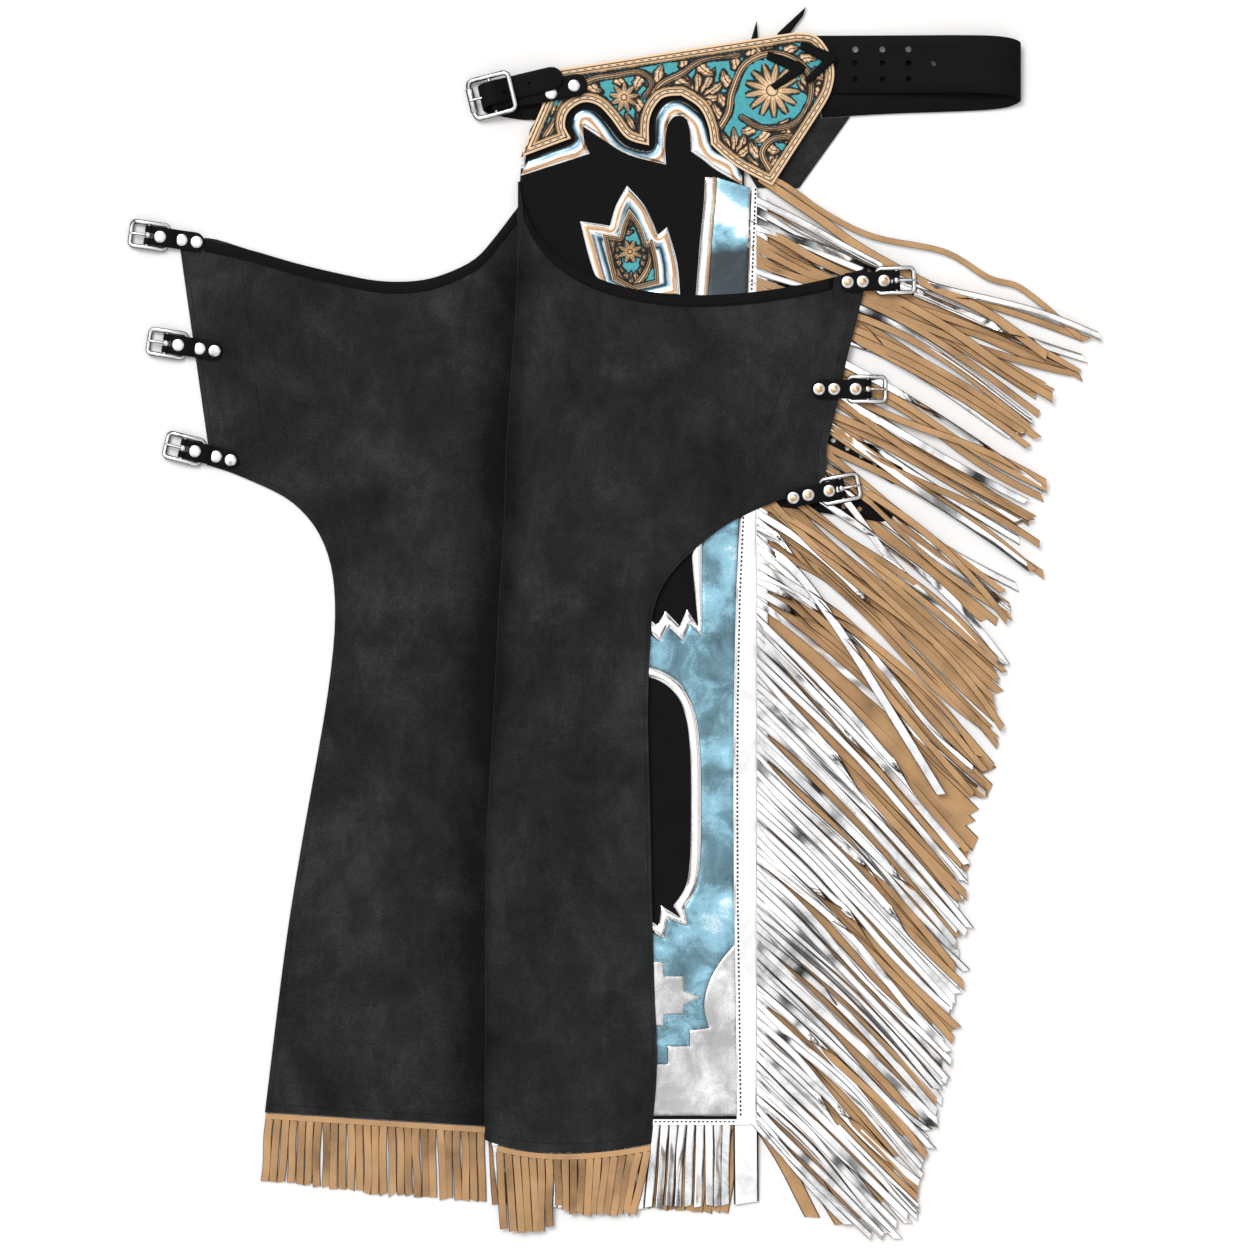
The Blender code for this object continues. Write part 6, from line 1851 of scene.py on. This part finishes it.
def make_leg_strap(buckle):
    """Local origin on the buckle's bar, x along the strap towards the buckle's tip."""
    place = chart(buckle.bar_x, buckle.bar_y, buckle.bar_height), buckle.turn
    settle = buckle.flap_height - buckle.bar_height
    line = frame_line(FRAME_FRONT, FRAME_REAR, FRAME_HALF, FRAME_CORNER, arch)
    bar = capsule_shape(Vector((0, -FRAME_HALF - 0.4, 0)), Vector((0, FRAME_HALF + 0.4, 0)), BAR_RADIUS,
                        bulb=1.25)
    set_metal("frame_wire_" + buckle.name, "frame_" + buckle.name, framed(line, WIRE, 14, bar), *place)
    tip = Vector((FRAME_FRONT + 0.6, 0, -FRAME_DROP + WIRE + SEAM_GAP + PRONG_RADIUS))
    eye = eye_shape(BAR_RADIUS + PLAY, BAR_RADIUS + PRONG_EYE, PRONG_HALF, 0)
    prong = prong_shape(Vector((2.2, 0, 0.6)), tip, 0.35, PRONG_RADIUS + 0.15, 0.2, 0.45, eye)
    set_metal("prong_pin_" + buckle.name, "prong_" + buckle.name, prong, *place,
              body="prong_" + buckle.name)

    run = [Station(0, 0, TAB_HALF, 0)] + fine_stations(
        [(TAB_BEND_START, 0, 0), (TAB_BEND_END, settle, 0), (-36, settle, 0),
         (TAB_HALF - TAB_TAIL, settle, 0)], TAB_HALF, 4)
    run = round_end(run, direction=-1)
    cutters = [rod_shape(-12, 12, 0, BAR_RADIUS + TAB_PLAY, 16),
               box_shape((-4.4, -PRONG_HALF - 0.6, -4), (5, PRONG_HALF + 0.6, 4))]
    make_strap("tab_leather_" + buckle.name, ["tab_" + buckle.name],
               strap_shape(run[::-1], TAB_LEATHER, 2), cutters, *place)
    make_strap("tab_loop_" + buckle.name, [],
               rod_shape(-TAB_HALF + 0.1, TAB_HALF - 0.1, 0, LOOP_RADIUS, 20), cutters, *place)


Billet = namedtuple("Billet", "name root_y tip_x tip_y")
BILLETS = [Billet("top", 286, 916, 322), Billet("middle", 392, 905, 480), Billet("low", 492, 893, 514)]
BILLET_HALF = 9.5
BILLET_POINT = 9.0
BILLET_LOW = 1.7
BILLET_LEATHER = 1.4
BILLET_HOLE_RADIUS = 2.6
BILLET_HOLE_PLACES = (34, 50, 66, 82)  # back from the tip


def make_billets():
    """Straps of the front panels, lying under the near fringe, each with its row of holes."""
    for billet in BILLETS:
        start, tip = Vector((746, billet.root_y)), Vector((billet.tip_x, billet.tip_y))
        along = (tip - start).normalized()
        side = Vector((-along.y, along.x)) * BILLET_HALF
        shoulder = tip - along * BILLET_POINT
        outline = [start - side, shoulder - side, tip - side * 0.4, tip + side * 0.4,
                   shoulder + side, start + side]
        outline[0].x = outline[-1].x = start.x
        holes = []
        for back in BILLET_HOLE_PLACES:
            middle = tip - along * back
            holes.append([(middle.x + BILLET_HOLE_RADIUS * math.cos(a),
                           middle.y + BILLET_HOLE_RADIUS * math.sin(a))
                          for a in np.linspace(0, 2 * math.pi, 12, endpoint=False)])
        lay_leather("billet_strap_" + billet.name, "billet_" + billet.name, "black_leather",
                    [tuple(p) for p in outline], BILLET_LOW, BILLET_LOW + BILLET_LEATHER,
                    ["grain", "suede"], holes=holes)


THONG_UPPER = [(768, 52), (800, 63), (806, 68), (802, 74), (775, 91), (770, 86), (790, 71), (766, 60)]
THONG_LOWER = [(801, 42), (832, 54), (837, 59), (832, 65), (809, 85), (804, 80), (822, 62), (799, 50)]
THONG_TAILS = [(748, 60), (751, 40), (756.5, 21), (758, 40), (758, 56), (770, 54), (778, 33),
               (806, 7), (803, 16), (790, 33), (780, 60)]


THONG_LEATHER = 1.4


def make_thongs():
    """Leather thongs tied through the yoke: two knotted bends on it and two tails behind it."""
    upper = YOKE_TOP + SEAM_GAP
    for node, outline, low in (("thong_upper", THONG_UPPER, upper),
                               ("thong_lower", THONG_LOWER, upper + 1.8),
                               ("thong_tails", THONG_TAILS, 2.3)):
        lay_leather(node + "_leather", node, "black_leather", outline, low, low + THONG_LEATHER,
                    ["grain"], 2.5, edge_drop=0.5)


# ---- rivets and stitches, by Geometry Nodes
def repeat_tree(name, sizes, scale, ball, spread):
    """A tree that sets a smooth ball on every spot. It has an input for each of the sizes, the ball's
    scale names three of them, and spread gives the spots' sockets."""
    tree = bpy.data.node_groups.new(name, "GeometryNodeTree")
    node = partial(add_node, tree)
    for in_out in ("INPUT", "OUTPUT"):
        tree.interface.new_socket(name="Geometry", in_out=in_out, socket_type="NodeSocketGeometry")
    kinds = {**dict.fromkeys(sizes, "NodeSocketFloat"), "Material": "NodeSocketMaterial"}
    names = {label: tree.interface.new_socket(name=label, in_out="INPUT", socket_type=kind).identifier
             for label, kind in kinds.items()}
    given = node("NodeGroupInput").outputs
    soft = node("GeometryNodeSetShadeSmooth", node("GeometryNodeMeshUVSphere", *ball))
    laid = node("GeometryNodeInstanceOnPoints", Instance=soft, **spread(node, given),
                Scale=node("CombineXYZ", *(given[label] for label in scale)))
    real = node("GeometryNodeRealizeInstances", laid)
    coloured = node("GeometryNodeSetMaterial", Geometry=real, Material=given["Material"])
    node("NodeGroupOutput", coloured)
    return tree, names


def along_runs(node, given):
    """Spots a pitch apart on every run, turned along it."""
    curve = node("GeometryNodeMeshToCurve", given["Geometry"])
    spots = node("GeometryNodeCurveToPoints", Curve=curve, Length=given["Pitch"], mode="LENGTH")
    facing = node("FunctionNodeAlignRotationToVector", Vector=spots.outputs["Tangent"], axis="X")
    return {"Points": spots, "Rotation": facing}


def on_points(node, given):
    return {"Points": node("GeometryNodeMeshToPoints", given["Geometry"])}


def stitch_tree():
    """Threads laid along every run: pitch apart, each so long, wide and high."""
    return repeat_tree("stitch_run", ["Pitch", "Length", "Width", "Height"], ["Length", "Width", "Height"],
                       (6, 4, 0.5), along_runs)


def rivet_tree():
    """A low metal cap on every point: so wide, and so high above the leather."""
    return repeat_tree("rivet_cap", ["Radius", "Rise"], ["Radius", "Radius", "Rise"], (28, 16, 1.0),
                       on_points)


def grow(name, points, edges, tree, names, values, slot):
    """Runs a geometry tree on guide points or runs, and keeps the result as a plain mesh."""
    mesh = bpy.data.meshes.new(name)
    mesh.from_pydata([tuple(p) for p in points], edges, [])
    item = new_item(name, mesh)
    modifier = item.modifiers.new("grow", "NODES")
    modifier.node_group = tree
    for label, value in values.items():
        modifier[names[label]] = value
    bake_modifiers(item)
    return stands_for(item, slot)


def sew(name, runs, pitch, length, width, thread, tools, height=0.7):
    """Sews a thread's stitches along the runs: length, width and height in mm."""
    points, edges = [], []
    for run in runs:
        start = len(points)
        points += run
        edges += [(start + i, start + i + 1) for i in range(len(run) - 1)]
    grow(name, points, edges, *tools, {
        "Pitch": pitch, "Length": length * MM, "Width": width * MM, "Height": height * MM,
        "Material": finish(thread)}, "black_leather")


def level_run(points, height, step=4.0):
    """A chart run at one height, with points close enough to follow its bends."""
    return [chart(x, y, height) for x, y in walk_open(points, step)]


def flap_run(fold_ys, shares, lift, crease_share):
    """A run over the folded flap through places given by row and by share of the section."""
    run = []
    for fold_y, share in zip(fold_ys, shares):
        row = fine_flap_row(fold_y)
        x_top = bend_x(row, 90)
        run.append(Vector(flap_points(row, np.array([x_top + (row.edge_x - x_top) * share]), lift,
                                      crease_share)[0]))
    return run


def far_top(x, y, crease_share):
    return LEG_LEATHER + float(crease_height(FAR_CREASES, np.array([x]), np.array([y]), crease_share)[0])


def sew_trims(sizes, tools):
    """The yoke's border, the fringe seam, the panel's hem and the foil trims."""
    border = inset_run(yoke_outline(), 4.5, closed=True)
    border.append(border[0])
    sew("yoke_stitches", [level_run(border, YOKE_TOP - 0.15)], sizes.tooling_pitch, 5.0, 1.1,
        "dark_thread", tools)
    seam = [chart(seam_x(y) - 1.4, y, BINDING_TOP) for y in np.arange(190, 1117, 4.0)]
    sew("fringe_seam_stitches", [seam], sizes.seam_pitch, 2.4, 1.9, "black_thread", tools, height=1.0)
    hem = [chart(x, near_hem_y(x) + 3.4, NEAR_PANEL_MID + 0.6) for x in np.linspace(600, 742, 30)]
    sew("panel_hem_stitches", [hem], sizes.seam_pitch, 2.4, 1.4, "black_thread", tools)
    runs = [level_run(inset_run(edge, inset), TRIM_TOP + 0.1) for edge, inset in (
        (BAND_LEFT + UPPER_TEETH[1:], 3.2), (WINDOW, 3.0), (TRIM_INNER[::-1], 3.0))]
    runs.append(level_run(inset_run(MOTIF, -2.6, closed=True), SECOND_TRIM_LOW + TRIM_LEATHER))
    sew("foil_trim_stitches", runs, 4.4 * MM, 2.6, 0.7, "grey_thread", tools)


def sew_suede(sizes, tools):
    """The edges, facings and pocket seams of both open flaps."""
    share = sizes.crease_share
    lift = LEG_LEATHER / 2 + 0.1
    side, across = 160, 70          # places that each long run is bent at
    runs = [flap_run(np.linspace(200, 1128, side), np.full(side, 0.975), lift, share),
            flap_run(np.full(across, 1131), np.linspace(0.04, 0.97, across), lift, share),
            flap_run(np.full(across, 195.2), np.linspace(0.03, 0.9, across), lift + 0.9, share),
            flap_run(np.linspace(262, 400, 30), np.linspace(0.83, 0.80, 30), lift, share)]
    for run in (inset_run(FAR_FLAP_SIDE + smooth(FAR_WING, 5), -5.0), [(274, 1104.5), (486, 1118)],
                [(242, 268), (251, 341), (261, 421), (269, 477)]):
        runs.append([chart(x, y, far_top(x, y, share) + 0.1) for x, y in walk_open(run, 5.0)])
    runs.append(level_run([(x + 2 if x > 470 else x, y + FACING_WIDTH - 1.6)
                           for x, y in far_facing_edge()], 3.0))
    sew("suede_edge_stitches", runs, sizes.edge_pitch, 2.3, 0.9, "black_thread", tools, height=0.5)


def sew_belt(tools):
    belt = belt_stations()
    origin = chart(*BELT_START)
    runs = []
    for edge in (-1, 1):
        run = []
        for before, spot in zip(belt, belt[1:]):
            direction = Vector((spot.along - before.along, 0, spot.height - before.height)).normalized()
            normal = Vector((-direction.z, 0, direction.x)) * (BELT_LEATHER / 2 + 0.05)
            run.append(origin + (Vector((spot.along, spot.shift + edge * (BELT_HALF - 3.4), spot.height))
                                 + normal) * MM)
        runs.append(run)
    sew("belt_stitches", runs, 4.0 * MM, 2.9, 0.7, "black_thread", tools, height=0.5)


def make_stitching(sizes):
    tools = stitch_tree()
    sew_trims(sizes, tools)
    sew_suede(sizes, tools)
    sew_belt(tools)


def make_rivets():
    tree, names = rivet_tree()
    groups = {"left": [], "right": []}
    for buckle in BUCKLES:
        origin = chart(buckle.bar_x, buckle.bar_y)
        turn = Matrix.Rotation(math.radians(buckle.turn), 4, "Z")
        for along in RIVET_PLACES:
            level = buckle.flap_height if along < TAB_BEND_END else buckle.bar_height
            groups[buckle.name.split("_")[0]].append(
                origin + turn @ Vector((along, 0, 0)) * MM + Vector((0, 0, level + TAB_LEATHER / 2)) * MM)
    turn = Matrix.Rotation(math.radians(WAIST_TURN), 4, "Z")
    level = WAIST_TAB_LEVEL + WAIST_TAB_LEATHER / 2
    for along, across in WAIST_RIVETS:
        groups["left"].append(chart(*WAIST_CENTRE) + turn @ Vector((along, across, level)) * MM)
    for name, points, metal, radius, rise in (
            ("rivet_caps", groups["left"] + groups["right"], "nickel", RIVET_RADIUS, RIVET_RISE),
            ("rivet_middles", groups["right"], "brass", RIVET_RADIUS * RIVET_MIDDLE, RIVET_MIDDLE_RISE)):
        darken_sides(grow(name, points, [], tree, names, {
            "Radius": radius * MM, "Rise": rise * MM, "Material": finish(metal)}, "buckle_metal"))


# ---- the studio
CAMERA_DISTANCE = 6.0
SENSOR = 36.0
FRAME_WIDTH = CHART_SIZE * CHART_UNIT
SKY_STRENGTH = 0.995
LAMP_STRENGTH = 1.61


FLOOR_HALF, FLOOR_LEVEL = 6.0, -0.0002  # metres


def make_stage():
    """Pale paper floor, a soft sky that darkens towards its rim, one soft lamp, and the camera."""
    corners = [(x * FLOOR_HALF, y * FLOOR_HALF, FLOOR_LEVEL)
               for x, y in ((-1, -1), (1, -1), (1, 1), (-1, 1))]
    make_piece("floor", corners, [[0, 1, 2, 3]], ["paper"], outward=False)

    world = bpy.data.worlds.new("studio_sky")
    bpy.context.scene.world = world
    world.use_nodes = True
    tree = world.node_tree
    node = partial(add_node, tree)
    sky = node("TexCoord").outputs["Generated"]
    parts = node("SeparateXYZ", sky)
    patches = node("TexNoise", Vector=sky, Scale=3.4, Detail=2, Roughness=0.45)
    above = node("Math", parts.outputs["Z"], 0.0, operation="MAXIMUM")
    peak = node("Math", above, 30.0, operation="POWER")
    tone = node("Math", peak, 0.22, patches, operation="MULTIPLY_ADD")
    walls = shades(None, (0.37, "14181C"), (0.43, "6B7480"), (0.46, "CDB08C"))
    windows = node("ValToRGB", tone, stops=[*walls, (0.5, grey(1.0)), (0.6, grey(1.2))])
    rim = node("MapRange", above, From_Min=0.02, From_Max=0.22, To_Min=0.12)
    light = node("Mix", rim, grey(0.03), windows, data_type="RGBA")
    background = tree.nodes["Background"]
    feed(background.inputs["Color"], light)
    background.inputs["Strength"].default_value = SKY_STRENGTH

    lamp_data = bpy.data.lights.new("soft_lamp", "SUN")
    lamp_data.energy = LAMP_STRENGTH
    lamp_data.angle = math.radians(28)
    lamp = new_item("soft_lamp", lamp_data)
    lamp.rotation_euler = Vector((0.42, -0.52, -1.0)).to_track_quat("-Z", "Y").to_euler()

    camera_data = bpy.data.cameras.new("overhead_camera")
    camera_data.sensor_width = SENSOR
    camera_data.lens = SENSOR * CAMERA_DISTANCE / FRAME_WIDTH
    camera_data.clip_end = 50.0
    camera = new_item("overhead_camera", camera_data)
    middle = chart(CHART_SIZE / 2, CHART_SIZE / 2)
    camera.location = (middle.x, middle.y, CAMERA_DISTANCE)
    bpy.context.scene.camera = camera
    bpy.context.scene.view_settings.view_transform = "Standard"
    bpy.context.scene.view_settings.look = "None"


# ---- operators, panel and registration
class ChapsOperator:
    bl_options = {"REGISTER", "UNDO"}


class CHAPS_OT_stage(ChapsOperator, bpy.types.Operator):
    """Lays the paper floor and sets up the sky, the lamp and the overhead camera"""
    bl_idname = "chaps.stage"
    bl_label = "Studio"

    def execute(self, context):
        make_stage()
        return {"FINISHED"}


class CHAPS_OT_legs(ChapsOperator, bpy.types.Operator):
    bl_idname = "chaps.legs"
    bl_label = "Legs and Fringes"

    def execute(self, context):
        sizes = context.scene.chaps_sizes
        far, far_outline = make_far_leg(sizes)
        near = make_near_leg(sizes)
        near_fringe, far_fringe = make_side_fringes(sizes)
        far_flap_hem, far_panel_hem, near_panel_hem, near_flap_hem = make_hem_fringes(sizes)
        declare_cut(far_outline)
        size, area = near_leg_cut()
        return {"FINISHED"}


class CHAPS_OT_facings(ChapsOperator, bpy.types.Operator):
    """Makes the smooth bands along the flaps' top edges"""
    bl_idname = "chaps.facings"
    bl_label = "Facings"

    def execute(self, context):
        make_facings(context.scene.chaps_sizes)
        return {"FINISHED"}


class CHAPS_OT_yokes(ChapsOperator, bpy.types.Operator):
    """Makes the tooled near yoke, its foil trim and the far yoke"""
    bl_idname = "chaps.yokes"
    bl_label = "Yokes"

    def execute(self, context):
        make_yokes()
        return {"FINISHED"}


class CHAPS_OT_medallion(ChapsOperator, bpy.types.Operator):
    """Makes the foil medallion and its tooled centre"""
    bl_idname = "chaps.medallion"
    bl_label = "Medallion"

    def execute(self, context):
        make_medallion()
        return {"FINISHED"}


class CHAPS_OT_appliques(ChapsOperator, bpy.types.Operator):
    """Makes the blue band and the silver borders, window, motif and corner"""
    bl_idname = "chaps.appliques"
    bl_label = "Foil Appliques"

    def execute(self, context):
        make_appliques()
        return {"FINISHED"}


class CHAPS_OT_belt(ChapsOperator, bpy.types.Operator):
    """Makes the wide back belt, the waist buckle with its straps, and the thongs"""
    bl_idname = "chaps.belt"
    bl_label = "Belt and Waist Buckle"

    def execute(self, context):
        make_wide_belt()
        make_waist_buckle()
        make_thongs()
        return {"FINISHED"}


class CHAPS_OT_leg_straps(ChapsOperator, bpy.types.Operator):
    """Makes the six leg buckles with their tabs, and the three billets"""
    bl_idname = "chaps.leg_straps"
    bl_label = "Leg Straps"

    def execute(self, context):
        for buckle in BUCKLES:
            make_leg_strap(buckle)
        make_billets()
        return {"FINISHED"}


class CHAPS_OT_stitching(ChapsOperator, bpy.types.Operator):
    """Sews the seams and sets the rivets"""
    bl_idname = "chaps.stitching"
    bl_label = "Stitches and Rivets"

    def execute(self, context):
        make_stitching(context.scene.chaps_sizes)
        make_rivets()
        return {"FINISHED"}


OPERATORS = [CHAPS_OT_stage, CHAPS_OT_legs, CHAPS_OT_facings, CHAPS_OT_yokes, CHAPS_OT_medallion,
             CHAPS_OT_appliques, CHAPS_OT_belt, CHAPS_OT_leg_straps, CHAPS_OT_stitching]


class CHAPS_PT_panel(bpy.types.Panel):
    """Lists the pieces and what a user may change"""
    bl_idname = "CHAPS_PT_panel"
    bl_label = "Chaps"
    bl_space_type = "VIEW_3D"
    bl_region_type = "UI"
    bl_category = "Chaps"

    def draw(self, context):
        layout = self.layout
        for group in (context.scene.chaps_sizes, context.scene.chaps_colours):
            column = layout.column()
            for name in type(group).__annotations__:
                column.prop(group, name)
        for operator in OPERATORS:
            layout.operator(operator.bl_idname)


CLASSES = [ChapsColours, ChapsSizes, *OPERATORS, CHAPS_PT_panel]


def register():
    for item in CLASSES:
        bpy.utils.register_class(item)
    bpy.types.Scene.chaps_colours = PointerProperty(type=ChapsColours)
    bpy.types.Scene.chaps_sizes = PointerProperty(type=ChapsSizes)


def unregister():
    del bpy.types.Scene.chaps_sizes
    del bpy.types.Scene.chaps_colours
    for item in reversed(CLASSES):
        bpy.utils.unregister_class(item)


def main():
    register()
    for operator in OPERATORS:
        group, name = operator.bl_idname.split(".")
        getattr(getattr(bpy.ops, group), name)()


if __name__ == "__main__":
    main()
